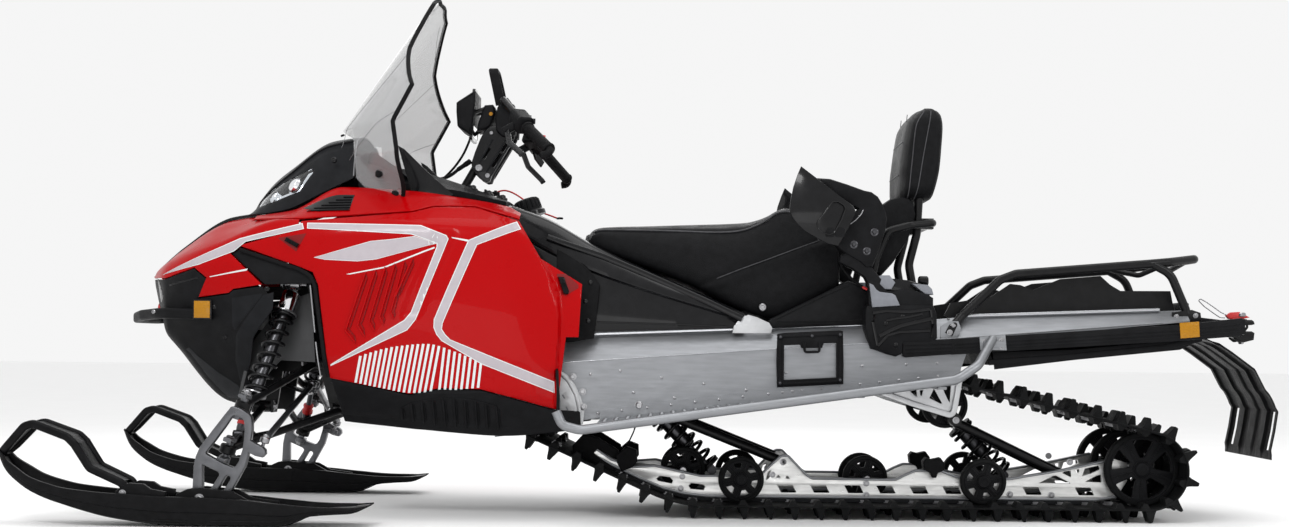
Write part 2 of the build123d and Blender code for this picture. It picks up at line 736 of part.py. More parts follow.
# grab strap over the riser
STRAP = ((500, 46, 1180), (508, 46, 1240), (516, 40, 1290), (516, -40, 1290), (508, -46, 1240), (500, -46, 1180))
with BuildPart() as grab_strap:
    with BuildLine() as strap_path:
        FilletPolyline(*STRAP, radius=(60, 18, 18, 60))
    with BuildSketch(ray(STRAP[0], STRAP[1])):
        Circle(12)
    sweep(path=strap_path.line)
    add(handlebar.part, mode=Mode.SUBTRACT)
    split(bisect_by=Plane.XY.offset(1200), keep=Keep.TOP)
save(grab_strap, "grab_strap")

# ---------------------------------------------------------------- tank cover, seat, passenger fittings
# Columns: x, top z, top half width, middle z, middle half width, foot half width
TANK = (
    (440, 882, 178, 820, 208, 214),
    (338, 846, 190, 760, 222, 236),
    (205, 750, 205, 690, 240, 250),
    (-224, 582, 232, 566, 246, 250),
)


def deck_z(x):
    """Height of the tunnel's top plate at x."""
    pts = [(r[0], r[3]) for r in TUNNEL]
    for (xa, za), (xb, zb) in zip(pts, pts[1:]):
        if xa >= x >= xb:
            return za + (zb - za) * (x - xa) / (xb - xa)
    return pts[-1][1]


with BuildPart() as tank_cover:
    for x, zt, yt, zm, ym, yf in TANK:
        with BuildSketch(across(x)):
            with BuildLine():
                Polyline(*flip(((0, zt), (yt, zt - 2), (ym, zm), (yf, deck_z(x) + 14), (yf - 20, deck_z(x) + 1.5),
                                (0, deck_z(x) + 1.5))), close=True)
            make_face()
    loft(ruled=True)
    with BuildSketch(side(300)):
        with BuildLine():
            Polyline((455, 700), (455, 860), (430, 700), close=True)
        make_face()
    extrude(amount=600, mode=Mode.SUBTRACT)
save(tank_cover, "tank_cover")

with BuildPart() as fuel_cap:
    with BuildSketch(Plane(origin=(400, 0, 869), z_dir=(0.33, 0, 0.944))):
        Circle(37)
    extrude(amount=36)
    add(tank_cover.part, mode=Mode.SUBTRACT)
save(fuel_cap, "fuel_cap")

# ---------------------------------------------------------------- cables from the cowl up to the bar, and the tether
# Each route is the cable's centre line; a point turns the route by no more than about 40 degrees
CABLES = (
    (((668, 14, 958), (640, 13, 984), (612, 11, 1018), (590, 9, 1056), (578, 8, 1090)), 3.5),
    (((676, 36, 964), (660, 35, 966), (642, 34, 972), (624, 33, 982), (609, 32, 996)), 5.0),
)
TETHER = ((506, -46, 936), (489, -50, 944), (467, -55, 941), (446, -60, 931), (424, -64, 916), (404, -67, 899),
          (384, -69, 885), (362, -67, 876), (342, -60, 869), (326, -50, 862), (318, -36, 860))


def route_radii(points):
    """Radius at each inner point: 0.45 of the shorter run over the tangent of half the turn."""
    radii = []
    for p, q, r in zip(points, points[1:], points[2:]):
        a = Vector(*q) - Vector(*p)
        b = Vector(*r) - Vector(*q)
        turn = math.acos(max(-1.0, min(1.0, a.normalized().dot(b.normalized()))))
        radii.append(0.45 * min(a.length, b.length) / math.tan(turn / 2))
    return radii


with BuildPart() as control_cables:
    for route, r in CABLES:
        with BuildLine() as cable_path:
            FilletPolyline(*route, radius=route_radii(route))
        with BuildSketch(ray(route[0], route[1])):
            Circle(r)
        sweep(path=cable_path.line)
    add(dash_console.part, mode=Mode.SUBTRACT)
save(control_cables, "control_cables")

with BuildPart() as tether_cord:
    with BuildLine() as tether_path:
        FilletPolyline(*TETHER, radius=route_radii(TETHER))
    with BuildSketch(ray(TETHER[0], TETHER[1])):
        Circle(2.5)
    sweep(path=tether_path.line)
print("tether length", round(sum(e.length for e in tether_path.edges()), 1), "mm, radii", [round(r) for r in route_radii(TETHER)])
save(tether_cord, "tether_cord")


# Seat base under the cushion's rear half
with BuildPart() as seat_base:
    with BuildSketch(side(236)):
        with BuildLine():
            Polyline((-228, 536), (-228, 560), (-300, 558), (-504, 656), (-556, 642), (-562, 549.5), (-228, 536),
                     close=False)
        make_face()
    extrude(amount=472)
save(seat_base, "seat_base")

# Cushion, columns: x, top z, top half width, side z, side half width, bottom z
SEAT = (
    (214, 800, 95, 786, 118, 760),
    (178, 828, 118, 800, 138, 748),
    (0, 834, 135, 770, 168, 676),
    (-213, 840, 150, 760, 186, 592),
    (-300, 868, 155, 780, 190, 566),
    (-352, 888, 150, 800, 190, 590),
    (-500, 780, 150, 730, 182, 672),
)
with BuildPart() as seat:
    for x, zt, yt, zs, ys, zb in SEAT:
        with BuildSketch(across(x)):
            with BuildLine():
                Polyline(*flip(((0, zt), (yt, zt - 3), (ys, zs), (ys - 6, zb), (0, zb))), close=True)
            make_face()
    loft(ruled=True)
    add(tank_cover.part, mode=Mode.SUBTRACT)
    add(seat_base.part, mode=Mode.SUBTRACT)
save(seat, "seat")

# Passenger carrier: saddle over the tunnel with cheeks at its sides
with BuildPart() as passenger_base:
    with BuildSketch(side(0)):
        with BuildLine():
            Polyline((-566, 690), (-632, 652), (-780, 640), (-790, 480), (-704, 476), (-610, 486), (-566, 520),
                     close=True)
        make_face()
    extrude(amount=288, both=True)
    with BuildSketch(across(-840)):
        with BuildLine():
            Polyline(*flip(((0, 577), (TUNNEL_Y - 30, 577), (TUNNEL_Y + 5.5, 530), (TUNNEL_Y + 5.5, 300), (0, 300))),
                     close=True)
        make_face()
    extrude(amount=300, mode=Mode.SUBTRACT)
save(passenger_base, "passenger_base")

GRIP_ARM = ((-440, 939), (-559, 907), (-587, 880), (-600, 800), (-606, 700), (-575, 696), (-500, 762), (-516, 838),
            (-543, 860), (-543, 880), (-510, 890))
with BuildPart() as passenger_grips:
    with BuildSketch(side(290)):
        with BuildLine():
            Polyline(*GRIP_ARM, close=True)
        make_face()
        with BuildLine():
            Polyline((-556, 700), (-632, 700), (-632, 656), (-566, 694), close=True)
        make_face()
    extrude(amount=52)
    add(passenger_base.part, mode=Mode.SUBTRACT)
    mirror(about=Plane.XZ)
save(passenger_grips, "passenger_grips")

DEFLECTOR = ((-373, 982), (-342, 889), (-345, 850), (-369, 829), (-470, 778), (-512, 849), (-520, 877), (-437, 936))
with BuildPart() as hand_deflectors:
    with BuildSketch(side(330)):
        with BuildLine():
            Polyline(*DEFLECTOR, close=True)
        make_face()
    extrude(amount=5)
    with BuildSketch(side(326)):
        with Locations((-500, 830)):
            Rectangle(50, 60)
    extrude(amount=36)
    add(passenger_grips.part, mode=Mode.SUBTRACT)
    mirror(about=Plane.XZ)
save(hand_deflectors, "hand_deflectors")

# Backrest: two tubes, hoop and pad
BACK_TUBE = ((-712, 120, 660), (-700, 120, 725), (-722, 120, 812), (-728, 120, 925))
HOOP = ((-579, 205, 660), (-596, 205, 740), (-628, 205, 815), (-690, 205, 832), (-762, 170, 842), (-762, -170, 842),
        (-690, -205, 832), (-628, -205, 815), (-596, -205, 740), (-579, -205, 660))
with BuildPart() as backrest_frame:
    for s in (1, -1):
        pts = [(x, s * y, z) for x, y, z in BACK_TUBE]
        with BuildLine() as back_path:
            FilletPolyline(*pts, radius=(60, 80))
        with BuildSketch(ray(pts[0], pts[1])):
            Circle(12)
        sweep(path=back_path.line)
    with BuildLine() as hoop_path:
        FilletPolyline(*HOOP, radius=(80, 35, 40, 30, 30, 40, 35, 80))
    with BuildSketch(ray(HOOP[0], HOOP[1])):
        Circle(11)
    sweep(path=hoop_path.line)
    # clamps between tubes and hoop
    for s in (1, -1):
        with BuildSketch(across(-768)):
            with Locations((s * 120, 842)):
                Rectangle(34, 30)
        extrude(amount=50)
    add(passenger_base.part, mode=Mode.SUBTRACT)
save(backrest_frame, "backrest_frame")

PAD = ((-650, 930), (-655, 1028), (-674, 1129), (-708, 1164), (-760, 1176), (-789, 1150), (-792, 1116), (-785, 1000),
       (-768, 930), (-745, 906), (-676, 908))
with BuildPart() as backrest_pad:
    with BuildSketch(side(0)):
        with BuildLine():
            Polyline(*PAD, close=True)
        make_face()
    extrude(amount=165, both=True)
    add(backrest_frame.part, mode=Mode.SUBTRACT)
save(backrest_pad, "backrest_pad")

# Folding footrests on the tunnel's sides: hinge along their lower edge
STEP_Z = 382.0
STEP_Y = 276.0
with BuildPart() as footrest_left:
    with BuildSketch(side(STEP_Y + 6)):
        with BuildLine():
            Polyline((-314, 372), (-498, 383), (-496, 531), (-313, 521), close=True)
        make_face()
        with BuildLine():
            Polyline((-330, 390), (-482, 398), (-481, 500), (-440, 500), (-436, 486), (-382, 486), (-378, 494),
                     (-329, 492), close=True)
        make_face(mode=Mode.SUBTRACT)
    extrude(amount=10)
save(footrest_left, "footrest_left")

with BuildPart() as footrest_right:
    mirror(footrest_left.part, about=Plane.XZ, mode=Mode.ADD)
save(footrest_right, "footrest_right")

# ---------------------------------------------------------------- rack and tail
RACK = ((-800, 232, 566), (-834, 232, 576), (-941, 230, 679), (-985, 230, 696), (-1362, 230, 728), (-1420, 212, 734),
        (-1514, 150, 747), (-1514, -150, 747), (-1420, -212, 734), (-1362, -230, 728), (-985, -230, 696),
        (-941, -230, 679), (-834, -232, 576), (-800, -232, 566))
with BuildPart() as rear_rack:
    with BuildLine() as rack_path:
        FilletPolyline(*RACK, radius=(30, 40, 40, 40, 40, 30, 30, 40, 40, 40, 40, 30))
    with BuildSketch(ray(RACK[0], RACK[1])):
        Circle(12.5)
    sweep(path=rack_path.line)
    for s in (1, -1):
        leg = ((-1372, s * 228, 729), (-1420, s * 230, 700), (-1462, s * 232, 600))
        with BuildLine() as leg_path:
            FilletPolyline(*leg, radius=60)
        with BuildSketch(ray(leg[0], leg[1])):
            Circle(12)
        sweep(path=leg_path.line)
        with BuildSketch(Plane.XY.offset(560)):
            with Locations((-1450, s * 236)):
                Rectangle(70, 40)
        extrude(amount=52)
        with BuildSketch(Plane.XY.offset(552)):
            with Locations((-828, s * 238)):
                Rectangle(60, 34)
        extrude(amount=40)
    add(tunnel.part, mode=Mode.SUBTRACT)
    with BuildSketch(side(0)):
        with BuildLine():
            Polyline((-700, 500), (-700, 573), (-1464, 597), (-1500, 597), (-1500, 500), close=True)
        make_face()
    extrude(amount=TUNNEL_Y - 46, both=True, mode=Mode.SUBTRACT)
save(rear_rack, "rear_rack")

RACK_SIDE = ((-792, 578), (-810, 614), (-923, 632), (-979, 670), (-1008, 667), (-1045, 653), (-1079, 668), (-1121, 685),
             (-1235, 695), (-1263, 670), (-1292, 653), (-1434, 654), (-1445, 601))
with BuildPart() as rack_sides:
    with BuildSketch(side(184)):
        with BuildLine():
            Polyline(*(RACK_SIDE[:-1] + ((-1445, deck_z(-1445) + 0.5), (-820, deck_z(-820) + 0.5))), close=True)
        make_face()
    extrude(amount=5)
    with BuildSketch(side(184)):
        with BuildLine():
            Polyline((-840, deck_z(-840) + 0.5), (-1430, deck_z(-1430) + 0.5), (-1430, deck_z(-1430) + 5),
                     (-840, deck_z(-840) + 5), close=True)
        make_face()
    extrude(amount=30)
    mirror(about=Plane.XZ)
save(rack_sides, "rack_sides")

# Tail rails, side channels of the tail
with BuildPart() as tail_rails:
    with BuildSketch(side(292)):
        with BuildLine():
            Polyline((-800, 471), (-800, 508), (-1429, 554), (-1600, 574), (-1600, 530), (-1429, 515), close=True)
        make_face()
    extrude(amount=26.6)
    add(running_board_left.part, mode=Mode.SUBTRACT)
    mirror(about=Plane.XZ)
save(tail_rails, "tail_rails")

with BuildPart() as rear_bumper:
    with BuildSketch(side(291)):
        with BuildLine():
            Polyline((-1600.5, 530), (-1600.5, 575), (-1645, 577), (-1645, 531), close=True)
        make_face()
    extrude(amount=582)
    with BuildSketch(Plane.XY.offset(500)):
        with BuildLine():
            Polyline((-1645.5, 300), (-1620, 300), (-1645.5, 250), close=True)
        make_face()
    extrude(amount=100, mode=Mode.SUBTRACT)
    with BuildSketch(side(0)):
        with BuildLine():
            Polyline((-1465, 545), (-1465, 596), (-1600, 572), (-1600, 540), close=True)
        make_face()
    extrude(amount=200, both=True)
    add(tunnel.part, mode=Mode.SUBTRACT)
save(rear_bumper, "rear_bumper")

HITCH_X, HITCH_Z = -1700.0, 553.0
with BuildPart() as tow_hitch:
    with BuildSketch(side(26)):
        with BuildLine():
            Polyline((-1645.3, 532), (-1645.3, 576), (-1724, 576), (-1730, 564), (-1676, 564), (-1676, 542),
                     (-1730, 542), (-1728, 516), (-1700, 512), (-1668, 528), close=True)
        make_face()
    extrude(amount=52)
    with BuildSketch(Plane.XY.offset(480)):
        with Locations((HITCH_X, 0)):
            Circle(8.5)
    extrude(amount=120, mode=Mode.SUBTRACT)
save(tow_hitch, "tow_hitch")

# spring clip that locks the tow pin, parked on top of the hitch
with BuildPart() as hitch_clip:
    with BuildSketch(side(7)):
        with BuildLine():
            Polyline((-1648, 576.4), (-1688, 576.4), (-1690, 584), (-1676, 590), (-1648, 584), close=True)
        make_face()
    extrude(amount=14)
save(hitch_clip, "hitch_clip")

with BuildPart() as snow_deflector:
    with BuildSketch(side(0)):
        with BuildLine():
            Polyline((-880, 506), (-905, 440), (-1102, 455), (-1394, 486), (-1452, 502), (-1500, 512), (-1500, 528),
                     (-1452, 540), (-1444, 520), (-1394, 500), (-1102, 470), (-915, 456), (-895, 506), close=True)
        make_face()
    extrude(amount=TUNNEL_Y - 5, both=True)
save(snow_deflector, "snow_deflector")

FLAP = ((-1502, 514), (-1571, 500), (-1668, 430), (-1738, 316), (-1712, 178), (-1722, 176), (-1751, 316), (-1680, 438),
        (-1578, 510), (-1502, 526))
with BuildPart() as snow_flap:
    with BuildSketch(side(0)):
        with BuildLine():
            Polyline(*FLAP, close=True)
        make_face()
    extrude(amount=190, both=True)
save(snow_flap, "snow_flap")

# Front bumper hoop
BUMP = ((1300, 286, 578), (1400, 270, 572), (1490, 180, 562), (1548, 90, 556), (1548, -90, 556), (1490, -180, 562),
        (1400, -270, 572), (1300, -286, 578))
with BuildPart() as front_bumper:
    with BuildLine() as bump_path:
        FilletPolyline(*BUMP, radius=(80, 60, 60, 60, 60, 80))
    with BuildSketch(ray(BUMP[0], BUMP[1])):
        RectangleRounded(30, 22, 6)
    sweep(path=bump_path.line)
    for s in (1, -1):
        with BuildSketch(side(s * 200 + 20)):
            with BuildLine():
                Polyline((1330, 566), (1330, 592), (1300, 594), (1300, 566), close=True)
            make_face()
        extrude(amount=40)
    add(envelope.part, mode=Mode.SUBTRACT)
save(front_bumper, "front_bumper")

# ---------------------------------------------------------------- track and skid
# Wheels the belt runs round, in order; columns: x, z, radius to the belt's inner face
WHEELS = (
    (-1362, 146, 106),
    (-130, 448, 408),
    (336, 294, 75),
    (-800, 323, 66),
)


def belt_line(offset):
    """Tangent points of the belt line, set out by an offset, per wheel: in and out."""
    n = len(WHEELS)
    angs = []
    for i in range(n):
        xa, za, ra = WHEELS[i]
        xb, zb, rb = WHEELS[(i + 1) % n]
        d = math.hypot(xb - xa, zb - za)
        angs.append(math.atan2(zb - za, xb - xa) - math.acos((ra - rb) / d))
    out = []
    for i in range(n):
        x, z, r = WHEELS[i]
        a0, a1 = angs[i - 1], angs[i]
        while a1 < a0:
            a1 += 2 * math.pi
        while a1 - a0 > 2 * math.pi:
            a1 -= 2 * math.pi
        out.append((x, z, r + offset, a0, a1))
    return out


def belt_points(offset):
    """Belt line as points with direction, evenly spaced by the lug pitch."""
    arcs = belt_line(offset)
    parts = []
    for i, (x, z, r, a0, a1) in enumerate(arcs):
        parts.append(("arc", r * (a1 - a0), (x, z, r, a0)))
        nx, nz, nr, na0, na1 = arcs[(i + 1) % len(arcs)]
        p = (x + r * math.cos(a1), z + r * math.sin(a1))
        q = (nx + nr * math.cos(na0), nz + nr * math.sin(na0))
        parts.append(("line", math.dist(p, q), (p, q)))
    total = sum(p[1] for p in parts)
    res = []
    for k in range(LUG_COUNT):
        s = total * (k + 0.5) / LUG_COUNT
        for kind, length, data in parts:
            if s <= length:
                break
            s -= length
        if kind == "arc":
            x, z, r, a0 = data
            a = a0 + s / r
            res.append((x + r * math.cos(a), z + r * math.sin(a), math.degrees(a) + 90))
        else:
            (px, pz), (qx, qz) = data
            t = s / length
            res.append((px + t * (qx - px), pz + t * (qz - pz), math.degrees(math.atan2(qz - pz, qx - px))))
    print("belt length", round(total), "pitch", round(total / LUG_COUNT, 1))
    return res


with BuildPart() as track:
    with BuildSketch(side(TRACK_HALF)):
        for off, how in ((BELT_T, Mode.ADD), (0.0, Mode.SUBTRACT)):
            arcs = belt_line(off)
            with BuildLine():
                ends = []
                for x, z, r, a0, a1 in arcs:
                    p = [(x + r * math.cos(a), z + r * math.sin(a)) for a in (a0, 0.5 * (a0 + a1), a1)]
                    ThreePointArc(*p)
                    ends.append((p[0], p[2]))
                for i in range(len(ends)):
                    Line(ends[i][1], ends[(i + 1) % len(ends)][0])
            make_face(mode=how)
        for x, z, ang in belt_points(BELT_T):
            u = math.radians(ang)
            t = (math.cos(u), math.sin(u))
            n = (math.sin(u), -math.cos(u))
            with BuildLine():
                Polyline(*[(x + a * t[0] + b * n[0], z + a * t[1] + b * n[1])
                           for a, b in ((-13, -2), (13, -2), (8, LUG_H), (-8, LUG_H))], close=True)
            make_face()
    extrude(amount=2 * TRACK_HALF)
save(track, "track")

RAIL_TOP = ((220, 196), (191, 187), (148, 158), (90, 137), (24, 142), (-106, 114), (-278, 116), (-312, 151),
            (-338, 174), (-358, 174), (-410, 120), (-427, 109), (-666, 108), (-695, 123), (-723, 135), (-795, 135),
            (-838, 119), (-896, 108), (-996, 114), (-1140, 139), (-1200, 160))
RAIL_LOW = ((220, 176), (139, 134), (67, 101), (0, 73), (-60, 58), (-130, 51), (-1240, 51), (-1300, 60), (-1330, 110),
            (-1330, 160))
with BuildPart() as skid_rails:
    with BuildSketch(side(RAIL_Y + 6)):
        with BuildLine():
            Polyline(*(RAIL_TOP + tuple(reversed(RAIL_LOW))), close=True)
        make_face()
        for x in range(-1150, -150, 100):
            with Locations((x, 78)):
                SlotOverall(62, 22, mode=Mode.SUBTRACT)
    extrude(amount=12)
    mirror(about=Plane.XZ)
save(skid_rails, "skid_rails")

with BuildPart() as slide_runners:
    with BuildSketch(side(RAIL_Y + 10)):
        with BuildLine():
            low = [p for p in RAIL_LOW if p[0] > -1250]
            Polyline(*([(x, z - 0.3) for x, z in low] + [(x, z - 9.3) for x, z in reversed(low)]), close=True)
        make_face()
    extrude(amount=20)
    mirror(about=Plane.XZ)
save(slide_runners, "slide_runners")

# Idler wheels, columns: x, z, radius, y positions of the wheels' middles, axle half length
ROLLERS = (
    (-222, 106, 65, (160, -160), 176),
    (-912, 106, 65, (160, -160), 176),
    (-1362, 146, 105, (160, 0, -160), 176),
    (-800, 323, 65, (160, -160), 240),
    (-57, 126, 65, (60, -60), 118),
    (-587, 106, 65, (60, -60), 118),
)
with BuildPart() as idler_wheels:
    for x, z, r, ys, half in ROLLERS:
        for y in ys:
            with BuildSketch(side(y + 13)):
                with Locations((x, z)):
                    Circle(r)
                    with PolarLocations(r * 0.6, 6):
                        Circle(r * 0.17, mode=Mode.SUBTRACT)
            extrude(amount=26)
        with BuildSketch(side(half)):
            with Locations((x, z)):
                Circle(11)
        extrude(amount=2 * half)
    add(skid_rails.part, mode=Mode.SUBTRACT)
save(idler_wheels, "idler_wheels")

with BuildPart() as drive_axle:
    with BuildSketch(side(TUNNEL_Y - 4.5)):
        with Locations((336, 294)):
            Circle(18)
    extrude(amount=2 * TUNNEL_Y - 9)
    for y in (170, -142, 50, -22):
        with BuildSketch(side(y)):
            with Locations((336, 294)):
                Circle(74)
                with PolarLocations(45, 6):
                    Circle(12, mode=Mode.SUBTRACT)
        extrude(amount=28)
save(drive_axle, "drive_axle")

# Suspension arms inside the track, columns: x/z of the upper pivot, x/z of the lower pivot, y, tube radius
SKID_ARMS = (
    ("front_skid_arm", (69, 317), (-343, 154), 96, 14),
    ("rear_skid_arm", (-815, 285), (-1161, 120), 96, 14),
)
with BuildPart() as skid_arms:
    for name, (xa, za), (xb, zb), y, r in SKID_ARMS:
        for s in (1, -1):
            with BuildSketch(ray((xa, s * y, za), (xb, s * y, zb))):
                Circle(r)
            extrude(amount=math.hypot(xb - xa, zb - za))
        for x, z, half in ((xa, za, TUNNEL_Y - 4.5), (xb, zb, RAIL_Y - 6.3)):
            with BuildSketch(side(half)):
                with Locations((x, z)):
                    Circle(r + 3)
            extrude(amount=2 * half)
    add(idler_wheels.part, mode=Mode.SUBTRACT)
save(skid_arms, "skid_arms")

SKID_SHOCKS = (((12, 280), (-143, 120)), ((-867, 258), (-1002, 113)))
with BuildPart() as skid_shocks:
    for (xa, za), (xb, zb) in SKID_SHOCKS:
        with BuildSketch(ray((xa, 0, za), (xb, 0, zb))):
            Circle(30)
        extrude(amount=math.hypot(xb - xa, zb - za))
    add(idler_wheels.part, mode=Mode.SUBTRACT)
    add(skid_arms.part, mode=Mode.SUBTRACT)
save(skid_shocks, "skid_shocks")

# Brackets under the tunnel that carry the rear arm's pivot
BRACKET = ((-590, 372), (-660, 336), (-792, 270), (-835, 262), (-845, 290), (-816, 402), (-816, 470), (-590, 440))
with BuildPart() as arm_hangers:
    with BuildSketch(side(TUNNEL_Y - 4.3)):
        with BuildLine():
            Polyline(*BRACKET, close=True)
        make_face()
        with BuildLine():
            Polyline((-640, 370), (-780, 330), (-790, 380), (-650, 392), close=True)
        make_face(mode=Mode.SUBTRACT)
        with Locations((-815, 285)):
            Circle(17.2, mode=Mode.SUBTRACT)
    extrude(amount=6)
    add(skid_arms.part, mode=Mode.SUBTRACT)
    add(idler_wheels.part, mode=Mode.SUBTRACT)
    mirror(about=Plane.XZ)
save(arm_hangers, "arm_hangers")
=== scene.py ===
import bpy, bmesh, math, random
from mathutils import Vector, Matrix


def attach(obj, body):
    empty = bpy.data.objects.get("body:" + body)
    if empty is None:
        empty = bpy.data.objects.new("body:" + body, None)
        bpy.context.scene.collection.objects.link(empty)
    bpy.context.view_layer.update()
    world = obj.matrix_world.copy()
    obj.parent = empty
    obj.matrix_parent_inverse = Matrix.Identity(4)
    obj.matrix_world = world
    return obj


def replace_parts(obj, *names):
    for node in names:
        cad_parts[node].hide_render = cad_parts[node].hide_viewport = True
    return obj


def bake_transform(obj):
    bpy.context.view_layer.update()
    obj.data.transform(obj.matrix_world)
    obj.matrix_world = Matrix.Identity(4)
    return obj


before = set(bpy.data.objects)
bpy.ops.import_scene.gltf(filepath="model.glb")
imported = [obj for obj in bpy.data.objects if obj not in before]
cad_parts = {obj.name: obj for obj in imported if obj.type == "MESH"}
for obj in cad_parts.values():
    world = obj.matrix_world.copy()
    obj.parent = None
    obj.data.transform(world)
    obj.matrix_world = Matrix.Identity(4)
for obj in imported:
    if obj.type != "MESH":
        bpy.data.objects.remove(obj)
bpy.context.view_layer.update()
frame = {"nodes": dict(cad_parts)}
random.seed(7)
MM = 0.001

# ------------------------------------------------------------------ camera, light, floor
ROLL = math.radians(0.56)
cam_data = bpy.data.cameras.new("camera")
cam = bpy.data.objects.new("camera", cam_data)
bpy.context.scene.collection.objects.link(cam)
bpy.context.scene.camera = cam
ca, sa = math.cos(ROLL), math.sin(ROLL)
cam.matrix_world = Matrix(((-ca, sa, 0, -0.010), (0, 0, 1, 4.820), (sa, ca, 0, 0.487), (0, 0, 0, 1)))
cam_data.sensor_width = 36.0
cam_data.lens = 36.0 * 1634.0 / 1289.0
cam_data.shift_x = -23.5 / 1289.0
cam_data.shift_y = 81.5 / 1289.0
cam_data.clip_end = 60


def area(name, loc, aim, size, power, color=(1, 1, 1), size_y=None):
    d = bpy.data.lights.new(name, "AREA")
    d.energy = power
    d.color = color
    d.size = size
    if size_y:
        d.shape = "RECTANGLE"
        d.size_y = size_y
    o = bpy.data.objects.new(name, d)
    bpy.context.scene.collection.objects.link(o)
    o.location = loc
    o.rotation_euler = (Vector(aim) - Vector(loc)).to_track_quat("-Z", "Y").to_euler()
    return o


area("key_light", (1.6, 3.6, 3.4), (0.2, 0.2, 0.6), 1.5, 60, size_y=0.7)
area("top_light", (-0.4, 0.4, 4.2), (-0.2, 0.0, 0.4), 3.6, 58, size_y=2.0)
area("rear_light", (-3.4, 2.6, 2.4), (-0.8, 0.0, 0.5), 1.0, 28)
area("far_light", (0.6, -3.6, 2.6), (0.0, 0.0, 0.6), 2.4, 26)
area("low_light", (0.4, 4.6, 0.5), (0.0, 0.0, 0.4), 2.6, 12, size_y=0.8)

world = bpy.data.worlds.new("studio")
bpy.context.scene.world = world
world.use_nodes = True
world.node_tree.nodes["Background"].inputs[0].default_value = (1, 1, 1, 1)
world.node_tree.nodes["Background"].inputs[1].default_value = 0.92
bpy.context.scene.view_settings.view_transform = "Standard"


# ------------------------------------------------------------------ materials
def _rgb(c):
    return (c[0], c[1], c[2], 1.0)


def pbr(name, color, rough=0.5, metal=0.0, vary=0.10, grain=60.0, bump=0.0, bump_scale=400.0, bump_kind="NOISE",
        rough_vary=0.06, coat=0.0, coat_rough=0.05, spec=None, stretch=None, streak=0.0, dust=0.0, alpha=None,
        second=None, ior=None, trans=0.0, emit=None):
    """Procedural material: colour variation, roughness variation and surface grain, all in object space."""
    m = bpy.data.materials.new(name)
    m.use_nodes = True
    nt = m.node_tree
    n, l = nt.nodes, nt.links
    p = n["Principled BSDF"]
    tc = n.new("ShaderNodeTexCoord")
    mp = n.new("ShaderNodeMapping")
    if stretch:
        mp.inputs["Scale"].default_value = stretch
    l.new(tc.outputs["Object"], mp.inputs["Vector"])
    a = n.new("ShaderNodeTexNoise")
    a.inputs["Scale"].default_value = grain
    a.inputs["Detail"].default_value = 4
    l.new(mp.outputs["Vector"], a.inputs["Vector"])
    ramp = n.new("ShaderNodeValToRGB")
    lo = [max(0.0, c * (1 - vary)) for c in color]
    hi = [min(1.0, c * (1 + vary)) for c in (second or color)]
    ramp.color_ramp.elements[0].position = 0.32
    ramp.color_ramp.elements[1].position = 0.70
    ramp.color_ramp.elements[0].color = _rgb(lo)
    ramp.color_ramp.elements[1].color = _rgb(hi)
    l.new(a.outputs["Fac"], ramp.inputs["Fac"])
    col = ramp.outputs["Color"]
    if dust:
        d = n.new("ShaderNodeTexNoise")
        d.inputs["Scale"].default_value = 5.0
        d.inputs["Detail"].default_value = 8
        l.new(tc.outputs["Object"], d.inputs["Vector"])
        dr = n.new("ShaderNodeMapRange")
        dr.inputs["From Min"].default_value = 0.50
        dr.inputs["From Max"].default_value = 0.80
        dr.inputs["To Max"].default_value = dust
        l.new(d.outputs["Fac"], dr.inputs["Value"])
        mx = n.new("ShaderNodeMixRGB")
        mx.inputs["Color2"].default_value = _rgb([min(1, c + 0.10) for c in color])
        l.new(dr.outputs["Result"], mx.inputs["Fac"])
        l.new(col, mx.inputs["Color1"])
        col = mx.outputs["Color"]
    l.new(col, p.inputs["Base Color"])
    b = n.new("ShaderNodeTexNoise")
    b.inputs["Scale"].default_value = 22.0
    b.inputs["Detail"].default_value = 6
    l.new(mp.outputs["Vector"], b.inputs["Vector"])
    r = n.new("ShaderNodeMapRange")
    r.inputs["From Min"].default_value = 0.3
    r.inputs["From Max"].default_value = 0.7
    r.inputs["To Min"].default_value = max(0.01, rough - rough_vary)
    r.inputs["To Max"].default_value = min(1.0, rough + rough_vary)
    l.new(b.outputs["Fac"], r.inputs["Value"])
    l.new(r.outputs["Result"], p.inputs["Roughness"])
    if bump:
        bp = n.new("ShaderNodeBump")
        bp.inputs["Strength"].default_value = bump
        bp.inputs["Distance"].default_value = 0.001
        if bump_kind == "VORONOI":
            t = n.new("ShaderNodeTexVoronoi")
            out = "Distance"
        elif bump_kind == "WAVE":
            t = n.new("ShaderNodeTexWave")
            t.inputs["Distortion"].default_value = 0.4
            out = "Fac"
        else:
            t = n.new("ShaderNodeTexNoise")
            t.inputs["Detail"].default_value = 3
            out = "Fac"
        t.inputs["Scale"].default_value = bump_scale
        l.new(mp.outputs["Vector"], t.inputs["Vector"])
        l.new(t.outputs[out], bp.inputs["Height"])
        l.new(bp.outputs["Normal"], p.inputs["Normal"])
    p.inputs["Metallic"].default_value = metal
    if coat and not trans and alpha is None:
        coat *= 0.30
        spec = 0.16 if spec is None else spec
    if coat:
        p.inputs["Coat Weight"].default_value = coat
        p.inputs["Coat Roughness"].default_value = coat_rough
    if spec is None and not metal and not coat and not trans and sum(color) < 0.3:
        spec = 0.09
    if spec is not None:
        p.inputs["Specular IOR Level"].default_value = spec
    if ior:
        p.inputs["IOR"].default_value = ior
    if trans:
        p.inputs["Transmission Weight"].default_value = trans
    if alpha is not None:
        p.inputs["Alpha"].default_value = alpha
    if emit:
        p.inputs["Emission Color"].default_value = _rgb(emit)
        p.inputs["Emission Strength"].default_value = 0.3
    return m


